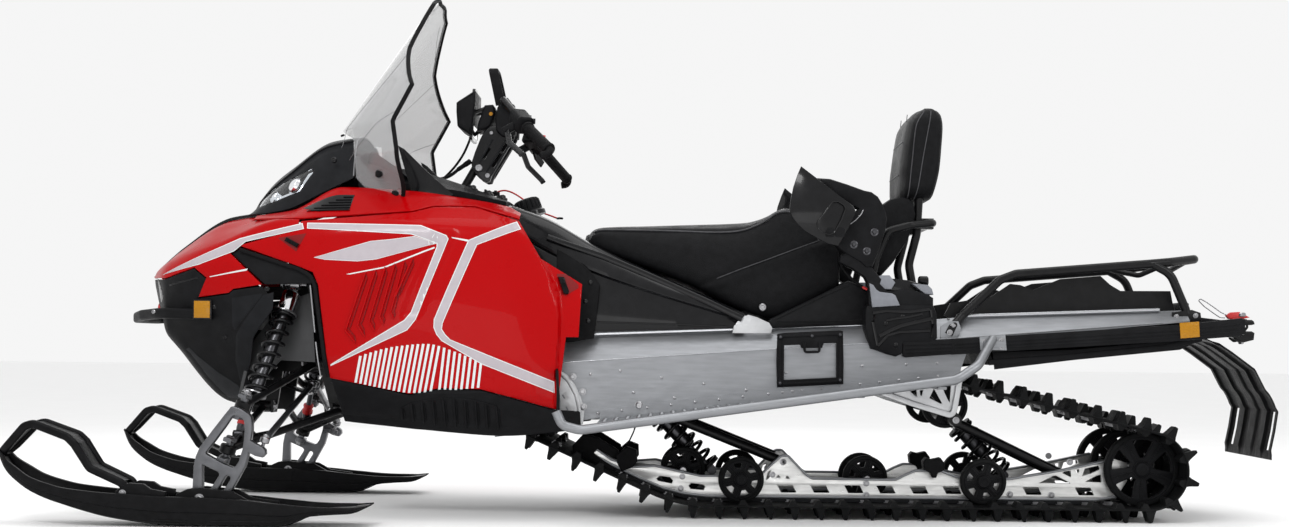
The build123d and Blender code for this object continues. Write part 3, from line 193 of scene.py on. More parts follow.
M = {}
M["red_paint"] = pbr("red_paint", (0.35, 0.0, 0.001), 0.30, 0.0, 0.06, 900, 0.04, 60, coat=0.34, coat_rough=0.025, spec=0.05,
                     rough_vary=0.04)
# darker copy of the red paint for the louvres' shadow bands and the latch pockets: painted shade
M["red_shade"] = pbr("red_shade", (0.16, 0.0, 0.001), 0.34, 0.0, 0.06, 900, 0.04, 60, coat=1.0, coat_rough=0.05)
M["white_stripe"] = pbr("white_stripe", (0.40, 0.365, 0.39), 0.32, 0.0, 0.04, 40, coat=0.6, coat_rough=0.06)
M["stripe_edge"] = pbr("stripe_edge", (0.62, 0.66, 0.66), 0.30, 0.0, 0.03, 40, coat=0.6, coat_rough=0.06)
M["black_gloss"] = pbr("black_gloss", (0.0045, 0.0045, 0.0052), 0.22, 0.0, 0.25, 40, 0.05, 90, coat=0.5)
M["black_plastic"] = pbr("black_plastic", (0.0055, 0.0056, 0.0064), 0.46, 0.0, 0.30, 30, 0.35, 1400, "VORONOI", 0.08,
                         dust=0.03)
M["cast_grey"] = pbr("cast_grey", (0.050, 0.051, 0.053), 0.46, 0.4, 0.18, 22, 0.5, 420)
M["grey_plastic"] = pbr("grey_plastic", (0.026, 0.027, 0.029), 0.42, 0.0, 0.20, 30, 0.3, 1200, "VORONOI", 0.08)
M["grey_trim"] = pbr("grey_trim", (0.17, 0.178, 0.20), 0.45, 0.0, 0.10, 60, 0.25, 1400, "VORONOI", 0.06)
M["dark_grey"] = pbr("dark_grey", (0.0095, 0.010, 0.0115), 0.36, 0.0, 0.20, 30, 0.25, 1200, "VORONOI", 0.06)
M["aluminium"] = pbr("aluminium", (0.245, 0.252, 0.265), 0.42, 0.8, 0.07, 12, 0.10, 300, "NOISE", 0.07,
                     stretch=(1, 1, 9))
M["polished"] = pbr("polished", (0.48, 0.49, 0.51), 0.22, 1.0, 0.05, 14, 0.05, 200, rough_vary=0.06,
                    stretch=(1, 1, 8))
# silver darkened to match the spindles in shade: painted shade on the castings, bosses and tie rods
M["spindle_metal"] = pbr("spindle_metal", (0.12, 0.122, 0.13), 0.34, 0.9, 0.10, 26, 0.35, 700, "NOISE", 0.08)
# silver brightened to make up for the shadow on the skid rails: painted light
M["rail_metal"] = pbr("rail_metal", (0.66, 0.66, 0.65), 0.34, 0.85, 0.10, 20, 0.12, 500, "NOISE", 0.08, stretch=(1, 1, 6))
M["silver_cast"] = pbr("silver_cast", (0.46, 0.465, 0.475), 0.38, 0.9, 0.08, 26, 0.45, 700, "NOISE", 0.08)
M["black_tube"] = pbr("black_tube", (0.0045, 0.0045, 0.005), 0.34, 0.0, 0.30, 40, 0.25, 900, "NOISE", 0.08, coat=0.25,
                      coat_rough=0.2)
M["steel"] = pbr("steel", (0.30, 0.30, 0.31), 0.30, 1.0, 0.08, 60, 0.10, 500)
M["chrome"] = pbr("chrome", (0.80, 0.80, 0.82), 0.10, 1.0, 0.04, 60, rough_vary=0.03)
M["dark_metal"] = pbr("dark_metal", (0.06, 0.06, 0.065), 0.30, 0.9, 0.2, 60, 0.15, 500)
M["engine_metal"] = pbr("engine_metal", (0.16, 0.16, 0.17), 0.5, 0.6, 0.2, 25, 0.4, 300)
M["track_rubber"] = pbr("track_rubber", (0.0045, 0.0047, 0.005), 0.62, 0.0, 0.35, 50, 0.5, 700, "NOISE", 0.10,
                        dust=0.08)
M["flap_rubber"] = pbr("flap_rubber", (0.004, 0.004, 0.0044), 0.44, 0.0, 0.3, 40, 0.4, 900, "VORONOI", 0.08)
M["ski_plastic"] = pbr("ski_plastic", (0.0045, 0.0045, 0.005), 0.33, 0.0, 0.3, 50, 0.25, 800, "VORONOI", 0.07)
M["vinyl"] = pbr("vinyl", (0.0052, 0.0053, 0.0060), 0.46, 0.0, 0.25, 60, 0.7, 620, "VORONOI", 0.06)
M["vinyl_smooth"] = pbr("vinyl_smooth", (0.0062, 0.0063, 0.0070), 0.38, 0.0, 0.25, 60, 0.45, 900, "VORONOI", 0.06)
M["knit"] = pbr("knit", (0.030, 0.030, 0.032), 0.66, 0.0, 0.4, 900, 0.9, 1500, "VORONOI", 0.06)
M["piping"] = pbr("piping", (0.060, 0.060, 0.064), 0.40, 0.0, 0.2, 80, 0.4, 1500, "NOISE", 0.05)
M["grip_rubber"] = pbr("grip_rubber", (0.0045, 0.0045, 0.005), 0.55, 0.0, 0.3, 70, 0.5, 1100, "VORONOI", 0.06)
M["amber"] = pbr("amber", (0.36, 0.155, 0.001), 0.22, 0.0, 0.12, 400, 0.8, 260, "VORONOI", 0.04, coat=1.0)
M["red_lens"] = pbr("red_lens", (0.40, 0.006, 0.008), 0.20, 0.0, 0.12, 300, 0.5, 260, "VORONOI", 0.04, coat=1.0)
M["red_rubber"] = pbr("red_rubber", (0.50, 0.012, 0.012), 0.42, 0.0, 0.12, 80, 0.3, 800)
M["stitch"] = pbr("stitch", (0.11, 0.11, 0.115), 0.7, 0.0, 0.2, 300)
M["lamp_glass"] = pbr("lamp_glass", (0.92, 0.94, 0.96), 0.04, 0.0, 0.02, 20, rough_vary=0.02, trans=1.0, ior=1.35)
M["lamp_silver"] = pbr("lamp_silver", (0.85, 0.86, 0.88), 0.14, 1.0, 0.04, 30)
M["smoke_clear"] = pbr("smoke_clear", (0.36, 0.365, 0.37), 0.06, 0.0, 0.02, 6, rough_vary=0.02, alpha=0.36, coat=0.35,
                       coat_rough=0.02)
M["smoke_edge"] = pbr("smoke_edge", (0.20, 0.20, 0.21), 0.08, 0.0, 0.05, 6, rough_vary=0.02, alpha=0.62, coat=1.0)
M["screen_face"] = pbr("screen_face", (0.006, 0.007, 0.009), 0.08, 0.0, 0.2, 6, rough_vary=0.02, coat=1.0)

floor_mat = pbr("floor_paper", (0.93, 0.93, 0.93), 0.75, 0.0, 0.01, 3)
bm = bmesh.new()
bmesh.ops.create_grid(bm, x_segments=2, y_segments=2, size=30)
me = bpy.data.meshes.new("floor")
bm.to_mesh(me)
bm.free()
floor = bpy.data.objects.new("floor", me)
floor.data.materials.append(floor_mat)
bpy.context.scene.collection.objects.link(floor)
floor.location = (0, 0, -0.0005)


# ------------------------------------------------------------------ mesh helpers (all lengths in mm)
def shade(o, angle=35.0):
    for poly in o.data.polygons:
        poly.use_smooth = True
    lim = math.radians(angle)
    bm = bmesh.new()
    bm.from_mesh(o.data)
    for e in bm.edges:
        if len(e.link_faces) == 2:
            e.smooth = e.calc_face_angle(0.0) < lim
        else:
            e.smooth = False
    bm.to_mesh(o.data)
    bm.free()


def put(name, bm, mat, body="chassis", angle=35.0, recalc=True, smooth=True):
    if recalc:
        bmesh.ops.recalc_face_normals(bm, faces=bm.faces)
    me = bpy.data.meshes.new(name)
    bm.to_mesh(me)
    bm.free()
    o = bpy.data.objects.new(name, me)
    bpy.context.scene.collection.objects.link(o)
    mats = mat if isinstance(mat, (list, tuple)) else [mat]
    for m in mats:
        me.materials.append(M[m] if isinstance(m, str) else m)
    if smooth:
        shade(o, angle)
    if body:
        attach(o, body)
    return o


def V(p):
    return Vector(p) * MM


def frames(pts, closed=False, up=None):
    """Parallel-transported frames along a line of points."""
    n = len(pts)
    tans = []
    for i in range(n):
        a = pts[i - 1] if (i > 0 or closed) else pts[0]
        b = pts[(i + 1) % n] if (i < n - 1 or closed) else pts[-1]
        t = (b - a)
        tans.append(t.normalized() if t.length > 1e-9 else Vector((0, 0, 1)))
    u = Vector(up) if up else (Vector((0, 0, 1)) if abs(tans[0].z) < 0.9 else Vector((0, 1, 0)))
    u = (u - tans[0] * u.dot(tans[0])).normalized()
    out = [(tans[0], u, tans[0].cross(u))]
    for i in range(1, n):
        if up:
            w = Vector(up)
            u2 = (w - tans[i] * w.dot(tans[i]))
            u = u2.normalized() if u2.length > 1e-6 else u
        else:
            q = tans[i - 1].rotation_difference(tans[i])
            u = (q @ u)
            u = (u - tans[i] * u.dot(tans[i])).normalized()
        out.append((tans[i], u, tans[i].cross(u)))
    return out


def fillet(points, radii, seg=6, closed=False):
    """Round the corners of a line of points."""
    pts = [Vector(p) for p in points]
    n = len(pts)
    if not isinstance(radii, (list, tuple)):
        radii = [radii] * n
    out = []
    for i, p in enumerate(pts):
        if not closed and (i == 0 or i == n - 1):
            out.append(p)
            continue
        a, b = pts[i - 1], pts[(i + 1) % n]
        da, db = (a - p), (b - p)
        la, lb = da.length, db.length
        if la < 1e-6 or lb < 1e-6:
            continue
        da.normalize()
        db.normalize()
        ang = da.angle(db)
        if ang > math.pi - 0.02 or radii[i] <= 0:
            out.append(p)
            continue
        t = min(radii[i] / math.tan(ang / 2), 0.48 * la, 0.48 * lb)
        s, e = p + da * t, p + db * t
        for k in range(seg + 1):
            w = k / seg
            out.append(s * (1 - w) ** 2 + p * 2 * w * (1 - w) + e * w * w)
    return out


def sweep(bm, pts, section, closed=False, cap=True, up=None, scale=None):
    """Sweep a closed section (u, v pairs in mm) along points (mm Vectors)."""
    pts = [Vector(p) for p in pts]
    fr = frames(pts, closed, up)
    rings = []
    for i, (p, (t, u, v)) in enumerate(zip(pts, fr)):
        s = scale[i] if scale else 1.0
        rings.append([bm.verts.new((p + (u * a + v * b) * s) * MM) for a, b in section])
    m = len(section)
    cnt = len(rings) if closed else len(rings) - 1
    for i in range(cnt):
        r0, r1 = rings[i], rings[(i + 1) % len(rings)]
        for k in range(m):
            bm.faces.new((r0[k], r0[(k + 1) % m], r1[(k + 1) % m], r1[k]))
    if cap and not closed:
        bm.faces.new(list(reversed(rings[0])))
        bm.faces.new(rings[-1])
    return rings


def circle(r, n=16, ry=None):
    return [(r * math.cos(2 * math.pi * k / n), (ry or r) * math.sin(2 * math.pi * k / n)) for k in range(n)]


def rrect(w, h, r, seg=4):
    """Rounded rectangle section."""
    out = []
    for cx, cy, a0 in ((w / 2 - r, h / 2 - r, 0), (-w / 2 + r, h / 2 - r, 90), (-w / 2 + r, -h / 2 + r, 180),
                       (w / 2 - r, -h / 2 + r, 270)):
        for k in range(seg + 1):
            a = math.radians(a0 + 90 * k / seg)
            out.append((cx + r * math.cos(a), cy + r * math.sin(a)))
    return out


def tube(name, points, r, mat, body="chassis", radii=None, n=18, seg=7, closed=False, section=None, up=None):
    bm = bmesh.new()
    pts = fillet(points, radii, seg, closed) if radii is not None else [Vector(p) for p in points]
    sweep(bm, pts, section or circle(r, n), closed, up=up)
    return put(name, bm, mat, body)


def lathe(bm, origin, axis, profile, n=32, closed_profile=False):
    """Revolve (s, r) pairs round an axis through origin; s runs along the axis."""
    o = Vector(origin)
    a = Vector(axis).normalized()
    u = Vector((0, 0, 1)) if abs(a.z) < 0.9 else Vector((1, 0, 0))
    u = (u - a * u.dot(a)).normalized()
    v = a.cross(u)
    rings = []
    for s, r in profile:
        if r < 1e-6:
            rings.append([bm.verts.new((o + a * s) * MM)])
        else:
            rings.append([bm.verts.new((o + a * s + (u * math.cos(2 * math.pi * k / n) + v * math.sin(2 * math.pi * k / n)) * r) * MM)
                          for k in range(n)])
    pairs = list(zip(rings, rings[1:]))
    if closed_profile:
        pairs.append((rings[-1], rings[0]))
    for r0, r1 in pairs:
        if len(r0) == 1 and len(r1) == 1:
            continue
        for k in range(n):
            k2 = (k + 1) % n
            if len(r0) == 1:
                bm.faces.new((r0[0], r1[k], r1[k2]))
            elif len(r1) == 1:
                bm.faces.new((r0[k], r0[k2], r1[0]))
            else:
                bm.faces.new((r0[k], r0[k2], r1[k2], r1[k]))


def turned(name, origin, axis, profile, mat, body="chassis", n=32, slot=None):
    bm = bmesh.new()
    lathe(bm, origin, axis, profile, n)
    return put(name, bm, mat, body)


def plate_bm(outline, y, thick, holes=(), bevel=1.2, mapping=None, grow=True):
    """Plate with holes and rounded edges: outline in (x, z), outer face at y, thickness towards -Y."""
    cu = bpy.data.curves.new("tmp", "CURVE")
    cu.dimensions = "2D"
    cu.fill_mode = "BOTH"
    cu.bevel_depth = bevel * MM
    cu.bevel_resolution = 1 if grow else 2
    if not grow:
        cu.offset = -bevel * MM
    cu.extrude = max(0.0, (thick / 2 - bevel)) * MM
    for loop in (outline,) + tuple(holes):
        sp = cu.splines.new("POLY")
        sp.points.add(len(loop) - 1)
        for q, c in zip(sp.points, loop):
            q.co = (c[0] * MM, c[1] * MM, 0, 1)
        sp.use_cyclic_u = True
    ob = bpy.data.objects.new("tmp", cu)
    me = bpy.data.meshes.new_from_object(ob)
    bm = bmesh.new()
    bm.from_mesh(me)
    bpy.data.objects.remove(ob)
    bpy.data.curves.remove(cu)
    bpy.data.meshes.remove(me)
    bmesh.ops.remove_doubles(bm, verts=bm.verts, dist=1e-6)
    for v in bm.verts:
        x, z, w = v.co
        if mapping:
            v.co = mapping(x, z, w)
        else:
            v.co = (x, y * MM - thick / 2 * MM + w, z)
    return bm


def plate(name, outline, y, thick, mat, body="chassis", holes=(), bevel=1.2, mapping=None, both=False,
          grow=True):
    obs = []
    for s in ((1, -1) if both else (1,)):
        bm = plate_bm(outline, y, thick, holes, bevel, mapping, grow)
        if s < 0:
            for v in bm.verts:
                v.co.y = -v.co.y
        obs.append(put(name + ("" if s > 0 else "_far") if both else name, bm, mat, body))
    return obs if both else obs[0]


def join_bm(bm, other):
    me = bpy.data.meshes.new("tmp")
    other.to_mesh(me)
    other.free()
    bm.from_mesh(me)
    bpy.data.meshes.remove(me)


def hexbolt(bm, at, axis, r=6.0, h=5.0, washer=True, sink=1.0):
    """Hex head with washer; the head stands out along the axis."""
    a = Vector(axis).normalized()
    o = Vector(at)
    if washer:
        lathe(bm, o - a * sink, a, ((0, 0), (0, r * 1.45), (sink + 1.4, r * 1.45), (sink + 1.6, r * 1.3), (sink + 1.6, 0)), 20)
    base = 0.0 if not washer else 1.6
    lathe(bm, o + a * (base - 0.8), a, ((0, 0), (0, r), (0.8 + h * 0.8, r), (0.8 + h, r * 0.82), (0.8 + h, 0)), 6)


def buttonhead(bm, at, axis, r=6.0, h=3.5, sink=1.0, n=18):
    a = Vector(axis).normalized()
    o = Vector(at) - a * sink
    lathe(bm, o, a, ((0, 0), (0, r), (sink + h * 0.35, r), (sink + h * 0.8, r * 0.75), (sink + h, r * 0.45),
                     (sink + h * 0.45, r * 0.40), (sink + h * 0.45, 0)), n)


def rivet(bm, at, axis, r=4.0, h=1.8):
    a = Vector(axis).normalized()
    o = Vector(at) - a * 1.0
    lathe(bm, o, a, ((0, 0), (0, r), (1.0 + h * 0.5, r * 0.9), (1.0 + h, r * 0.45), (1.0 + h, 0)), 12)


def spring(bm, p, q, r, wire, turns, n=10, per=18, ends=0.9):
    p, q = Vector(p), Vector(q)
    d = (q - p)
    L = d.length
    d.normalize()
    u = Vector((0, 1, 0)) if abs(d.y) < 0.9 else Vector((1, 0, 0))
    u = (u - d * u.dot(d)).normalized()
    v = d.cross(u)
    pts = []
    N = int(turns * per)
    for k in range(N + 1):
        t = k / N
        tt = t * turns
        # closed end turns
        e = ends
        if tt < e:
            s = wire * 2 * tt
        elif tt > turns - e:
            s = L - wire * 2 * (turns - tt)
        else:
            s0 = wire * 2 * e
            s = s0 + (L - 2 * s0) * (tt - e) / (turns - 2 * e)
        a = 2 * math.pi * tt
        pts.append(p + d * s + (u * math.cos(a) + v * math.sin(a)) * r)
    sweep(bm, pts, circle(wire, n))


def mirror_bm(bm):
    """Add the mirror image over the middle plane."""
    geom = bm.verts[:] + bm.edges[:] + bm.faces[:]
    ret = bmesh.ops.duplicate(bm, geom=geom)
    vs = [g for g in ret["geom"] if isinstance(g, bmesh.types.BMVert)]
    fs = [g for g in ret["geom"] if isinstance(g, bmesh.types.BMFace)]
    for v in vs:
        v.co.y = -v.co.y
    bmesh.ops.reverse_faces(bm, faces=fs)


def pchip(xs, ys):
    """Monotone cubic through a table; xs rising."""
    n = len(xs)
    h = [xs[i + 1] - xs[i] for i in range(n - 1)]
    d = [(ys[i + 1] - ys[i]) / h[i] for i in range(n - 1)]
    m = [0.0] * n
    m[0], m[-1] = d[0], d[-1]
    for i in range(1, n - 1):
        if d[i - 1] * d[i] <= 0:
            m[i] = 0.0
        else:
            w1, w2 = 2 * h[i] + h[i - 1], h[i] + 2 * h[i - 1]
            m[i] = (w1 + w2) / (w1 / d[i - 1] + w2 / d[i])

    def f(x):
        x = min(max(x, xs[0]), xs[-1])
        i = 0
        while i < n - 2 and x > xs[i + 1]:
            i += 1
        t = (x - xs[i]) / h[i]
        return ((1 + 2 * t) * (1 - t) ** 2 * ys[i] + t * (1 - t) ** 2 * h[i] * m[i]
                + t * t * (3 - 2 * t) * ys[i + 1] + t * t * (t - 1) * h[i] * m[i + 1])
    return f


def inside(poly, x, z):
    c = False
    n = len(poly)
    for i in range(n):
        x0, z0 = poly[i]
        x1, z1 = poly[(i + 1) % n]
        if (z0 > z) != (z1 > z) and x < (x1 - x0) * (z - z0) / (z1 - z0) + x0:
            c = not c
    return c


def cut_outline(bm, outline, keep=None):
    """Trim a surface to an outline in side view (x, z in mm)."""
    pts = [(p[0], p[1]) for p in outline]
    n = len(pts)
    for i in range(n):
        (x0, z0), (x1, z1) = pts[i], pts[(i + 1) % n]
        if math.hypot(x1 - x0, z1 - z0) < 0.05:
            continue
        lox, hix = min(x0, x1) - 1.5, max(x0, x1) + 1.5
        loz, hiz = min(z0, z1) - 1.5, max(z0, z1) + 1.5
        faces = []
        for f in bm.faces:
            xs = [v.co.x for v in f.verts]
            zs = [v.co.z for v in f.verts]
            if max(xs) >= lox * MM and min(xs) <= hix * MM and max(zs) >= loz * MM and min(zs) <= hiz * MM:
                faces.append(f)
        if not faces:
            continue
        geom = set(faces)
        for f in faces:
            geom.update(f.edges)
            geom.update(f.verts)
        no = Vector((-(z1 - z0), 0, (x1 - x0))).normalized()
        bmesh.ops.bisect_plane(bm, geom=list(geom), dist=1e-6, plane_co=(x0 * MM, 0, z0 * MM), plane_no=no)
    dead = []
    for f in bm.faces:
        c = f.calc_center_median()
        if not inside(pts, c.x / MM, c.z / MM):
            dead.append(f)
    bmesh.ops.delete(bm, geom=dead, context="FACES")
    loose = [v for v in bm.verts if not v.link_faces]
    bmesh.ops.delete(bm, geom=loose, context="VERTS")


def thicken(bm, t, roll=0.0):
    """Give an open surface a thickness inwards (against its normals), and roll its border slightly."""
    bm.normal_update()
    border = [v for v in bm.verts if any(len(e.link_faces) == 1 for e in v.link_edges)]
    if roll:
        for v in border:
            v.co -= v.normal * roll * MM
    nrm = {v: v.normal.copy() for v in bm.verts}
    ret = bmesh.ops.duplicate(bm, geom=bm.verts[:] + bm.edges[:] + bm.faces[:])
    vmap = ret["vert_map"]
    old_edges = [e for e in bm.edges if len(e.link_faces) == 1 and e.verts[0] in nrm and e.verts[1] in nrm]
    fs = [g for g in ret["geom"] if isinstance(g, bmesh.types.BMFace)]
    for v, nn in nrm.items():
        w = vmap[v]
        w.co = v.co - nn * t * MM
    bmesh.ops.reverse_faces(bm, faces=fs)
    for e in old_edges:
        a, b = e.verts
        try:
            bm.faces.new((a, b, vmap[b], vmap[a]))
        except (ValueError, KeyError):
            pass
# ------------------------------------------------------------------ body surface
# Columns: x, then half outline points (y, z): top, shoulder, crease, upper side, widest, side crease, lower, corner, bottom
BODY = (
    (1492, (0, 684), (24, 681), (38, 675), (41, 671), (43, 666), (40, 655), (36, 645), (28, 637), (0, 634)),
    (1470, (0, 704), (56, 700), (96, 682), (102, 675), (106, 664), (88, 632), (70, 604), (46, 560), (0, 548)),
    (1400, (0, 763), (105, 755), (205, 705), (222, 690), (238, 662), (233, 614), (227, 566), (204, 494), (0, 436)),
    (1250, (0, 850), (130, 842), (285, 752), (303, 724), (312, 690), (303, 610), (290, 540), (150, 318), (0, 300)),
    (1060, (0, 874), (200, 862), (316, 822), (342, 782), (352, 700), (350, 610), (345, 520), (200, 300), (0, 285)),
    (908, (0, 948), (222, 936), (322, 834), (366, 800), (384, 640), (388, 442), (376, 386), (300, 270), (0, 258)),
    (800, (0, 942), (226, 932), (322, 846), (372, 806), (392, 630), (393, 482), (378, 362), (303, 258), (0, 248)),
    (690, (0, 930), (228, 922), (322, 854), (378, 808), (397, 620), (394, 524), (380, 347), (305, 248), (0, 240)),
    (606, (0, 918), (228, 908), (318, 858), (376, 806), (395, 610), (392, 502), (380, 352), (304, 240), (0, 230)),
    (450, (0, 888), (226, 878), (306, 852), (364, 800), (388, 600), (386, 446), (376, 352), (300, 230), (0, 222)),
    (228, (0, 800), (215, 772), (262, 712), (302, 680), (330, 600), (350, 420), (364, 300), (300, 250), (0, 244)),
)
ROUND = (0, 55, 12, 34, 90, 12, 16, 46, 0)      # rounding length at each point of the outline
SEGS = (10, 14, 14, 26, 22, 22, 14, 10)         # samples on each run of the outline
_bx = [r[0] for r in reversed(BODY)]
_by = [[pchip(_bx, [r[1 + k][j] for r in reversed(BODY)]) for j in (0, 1)] for k in range(9)]


def smooth01(t):
    t = min(1.0, max(0.0, t))
    return t * t * (3 - 2 * t)


def near_line(x, z, line):
    """Signed distance (mm) from a polyline in (x, z); positive on its left."""
    best, sign = 1e9, 1.0
    for (x0, z0), (x1, z1) in zip(line, line[1:]):
        dx, dz = x1 - x0, z1 - z0
        L2 = dx * dx + dz * dz
        t = min(1.0, max(0.0, ((x - x0) * dx + (z - z0) * dz) / L2))
        ex, ez = x - x0 - t * dx, z - z0 - t * dz
        d = math.hypot(ex, ez)
        if d < best:
            best = d
            sign = 1.0 if dx * ez - dz * ex > 0 else -1.0
    return best * sign


# Features of the side panels in side view (x, z)
STEP_LINE = ((396, 824), (358, 754), (320, 682), (294, 610), (287, 558), (289, 506), (294, 440), (298, 300))
TROUGH = ((590, 800), (660, 640), (690, 560))


def relief(x, z):
    """How far a side panel stands out (mm) at (x, z)."""
    h = 0.0
    # stepped-back rear corner
    if x < 430:
        d = near_line(x, z, STEP_LINE)
        h -= 15.0 * smooth01((4.0 - d) / 10.0)
    # shallow trough between the two stripes
    if 560 < x < 760:
        d = abs(near_line(x, z, TROUGH))
        h -= 7.0 * (1 - smooth01((d - 16) / 16.0)) * smooth01((800 - z) / 30.0) * smooth01((z - 545) / 30.0)
    return h


def half_outline(x):
    """Rounded half outline of the body at x."""
    P = [(fy(x), fz(x)) for fy, fz in _by]
    pts = []
    n = len(P)
    cur = P[0]
    ends = []
    for i in range(1, n - 1):
        p, a, b = P[i], P[i - 1], P[i + 1]
        la, lb = math.dist(p, a), math.dist(p, b)
        r = min(ROUND[i], 0.45 * la, 0.45 * lb)
        s = (p[0] + (a[0] - p[0]) * r / la, p[1] + (a[1] - p[1]) * r / la)
        e = (p[0] + (b[0] - p[0]) * r / lb, p[1] + (b[1] - p[1]) * r / lb)
        ends.append((s, p, e))
    # straight run then corner, sampled evenly by run
    out = []
    for i in range(n - 1):
        start = ends[i - 1][2] if i > 0 else P[0]
        stop = ends[i][0] if i < n - 2 else P[-1]
        m = SEGS[i]
        for k in range(m):
            t = k / m
            out.append((start[0] + (stop[0] - start[0]) * t, start[1] + (stop[1] - start[1]) * t))
        if i < n - 2:
            s, p, e = ends[i]
            for k in range(5):
                w = k / 5
                out.append((s[0] * (1 - w) ** 2 + 2 * p[0] * w * (1 - w) + e[0] * w * w,
                            s[1] * (1 - w) ** 2 + 2 * p[1] * w * (1 - w) + e[1] * w * w))
    out.append(P[-1])
    return out


RUN_START = [0]
for _s in SEGS:
    RUN_START.append(RUN_START[-1] + _s + 5)


def stations(x0, x1):
    xs = []
    x = x0
    while x < x1:
        xs.append(x)
        x += 2.5 if (690 < x < 885 and x0 > 200) else (4.0 if x < 430 else 8.0)
    xs.append(x1)
    return xs


def body_grid(x0, x1, i0, i1, sides=(1,), with_relief=False, lift=0.0, xs=None, fine=True, sink=None):
    """Part of the body surface as a bmesh with normals outwards."""
    xs = xs or (stations(x0, x1) if fine else [x0 + (x1 - x0) * k / max(2, int((x1 - x0) / 10)) for k in
                                               range(max(2, int((x1 - x0) / 10)) + 1)])
    bm = bmesh.new()
    for s in sides:
        grid = []
        for x in xs:
            row = []
            ol = half_outline(x)[i0:i1 + 1]
            for k, (y, z) in enumerate(ol):
                h = relief(x, z) if with_relief else 0.0
                row.append(bm.verts.new((x * MM, s * (y + h) * MM, (z + (sink(k + i0) if sink else 0.0)) * MM)))
            grid.append(row)
        for a, b in zip(grid, grid[1:]):
            for k in range(len(a) - 1):
                q = (a[k], b[k], b[k + 1], a[k + 1])
                bm.faces.new(q if s > 0 else tuple(reversed(q)))
    bmesh.ops.remove_doubles(bm, verts=bm.verts, dist=1e-5)
    bm.normal_update()
    # normals away from the middle of the body
    f = max(bm.faces, key=lambda f: abs(f.calc_center_median().y))
    c = f.calc_center_median()
    if f.normal.y * c.y < 0:
        bmesh.ops.reverse_faces(bm, faces=bm.faces)
        bm.normal_update()
    if lift:
        for v in bm.verts:
            v.co += v.normal * lift * MM
    return bm


def panel(name, outline, i0, i1, sides, mat, nodes=(), with_relief=False, lift=0.0, thick=4.0, roll=1.0,
          fine=True, angle=32, sink=None):
    xa, xb = min(p[0] for p in outline), max(p[0] for p in outline)
    x0, x1 = max(228.0, xa - 12), min(1491.9, xb + 12)
    bm = body_grid(x0, x1, i0, i1, sides, with_relief, lift, fine=fine, sink=sink)
    cut_outline(bm, outline)
    if thick:
        thicken(bm, thick, roll)
    o = put(name, bm, mat, "chassis", angle, recalc=False)
    if nodes:
        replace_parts(o, *nodes)
    return o


ALL = (0, RUN_START[8])
SIDE0, SIDE1 = RUN_START[1], RUN_START[7]
HOOD_EDGE = ((1520, 900), (1168, 900), (1168, 829), (1009, 824), (1009, 801), (1174, 757), (1206, 735),
             (1106, 642), (1189, 630), (1203, 619), (1294, 607), (1268, 661), (1306, 690), (1403, 661), (1520, 668))
COWL_EDGE = ((1162, 832), (1164, 856), (1060, 866), (908, 940), (690, 926), (450, 880), (403, 850), (403, 831),
             (530, 869), (640, 867), (697, 850), (1007, 827))
PANEL_EDGE = ((1174, 750), (1004, 795), (1002, 818), (697, 845), (640, 862), (530, 864), (403, 825), (340, 720),
              (229, 653), (236, 506), (270, 506), (292, 307), (500, 362), (608, 364), (690, 347), (908, 388),
              (943, 641), (959, 676), (992, 689))
FRONT_EDGE = ((1520, 664), (1403, 657), (1306, 686), (1270, 657), (1296, 603), (1203, 615), (1189, 626),
              (1106, 637), (1078, 600), (1156, 475), (1176, 400), (1200, 330), (1228, 250), (1520, 250))
CHEEK_EDGE = ((1194, 727), (1171, 742), (996, 683), (964, 670), (952, 646), (1097, 642))
BELLY_EDGE = ((905, 384), (868, 200), (231, 200), (231, 302), (292, 303), (500, 358), (608, 360), (690, 343))
# ------------------------------------------------------------------ painted panels
HOOD_STRIPE = ((1417, 670), (1175, 770), (996, 812), (989, 795), (1155, 760), (1188, 733), (1292, 697))
HOOD_LINE = ((1258, 664), (1186, 678), (1145, 686), (1149, 680), (1186, 674), (1257, 662))
STRIPE_A = ((983, 813), (666, 807), (596, 780), (590, 770), (674, 549), (697, 520), (905, 421), (906, 425), (705, 548),
            (688, 570), (622, 748), (622, 757), (691, 781), (980, 796))
FLASH = ((957, 716), (801, 762), (748, 767), (681, 776), (622, 757), (784, 712), (836, 706), (926, 710))
THIN = ((866, 671), (762, 692), (628, 748), (627, 744), (759, 689), (856, 670))
STRIPE_B = ((409, 823), (396, 801), (512, 754), (601, 540), (603, 524), (593, 509), (580, 496), (299, 384), (298, 353),
            (498, 431), (604, 492), (618, 509), (626, 529), (625, 550), (536, 767))
THIN2 = ((582, 775), (536, 768), (538, 763), (580, 772))

panel("hood_shell", HOOD_EDGE, 0, RUN_START[6], (1, -1), "red_paint", ("hood",),
      sink=lambda k: -9.0 * (1 - smooth01((k - RUN_START[1] + 4) / (RUN_START[2] - RUN_START[1] - 2.0))))
panel("cowl_shell", COWL_EDGE, RUN_START[1] - 2, RUN_START[4], (1, -1), "red_paint", ("upper_cowl",))
for s, nm in ((1, "left"), (-1, "right")):
    panel("side_panel_shell_" + nm, PANEL_EDGE, SIDE0, SIDE1, (s,), "red_paint", ("side_panel_" + nm,), True)
panel("front_cover_shell", FRONT_EDGE, 0, RUN_START[8], (1, -1), "black_plastic", ("front_cover",))
panel("wheel_well_shell", CHEEK_EDGE, SIDE0, SIDE1, (1, -1), "black_plastic", ("wheel_well_covers",), lift=-5.0)

# stripes: thin films on the paint, with a paler rim under a greyer face


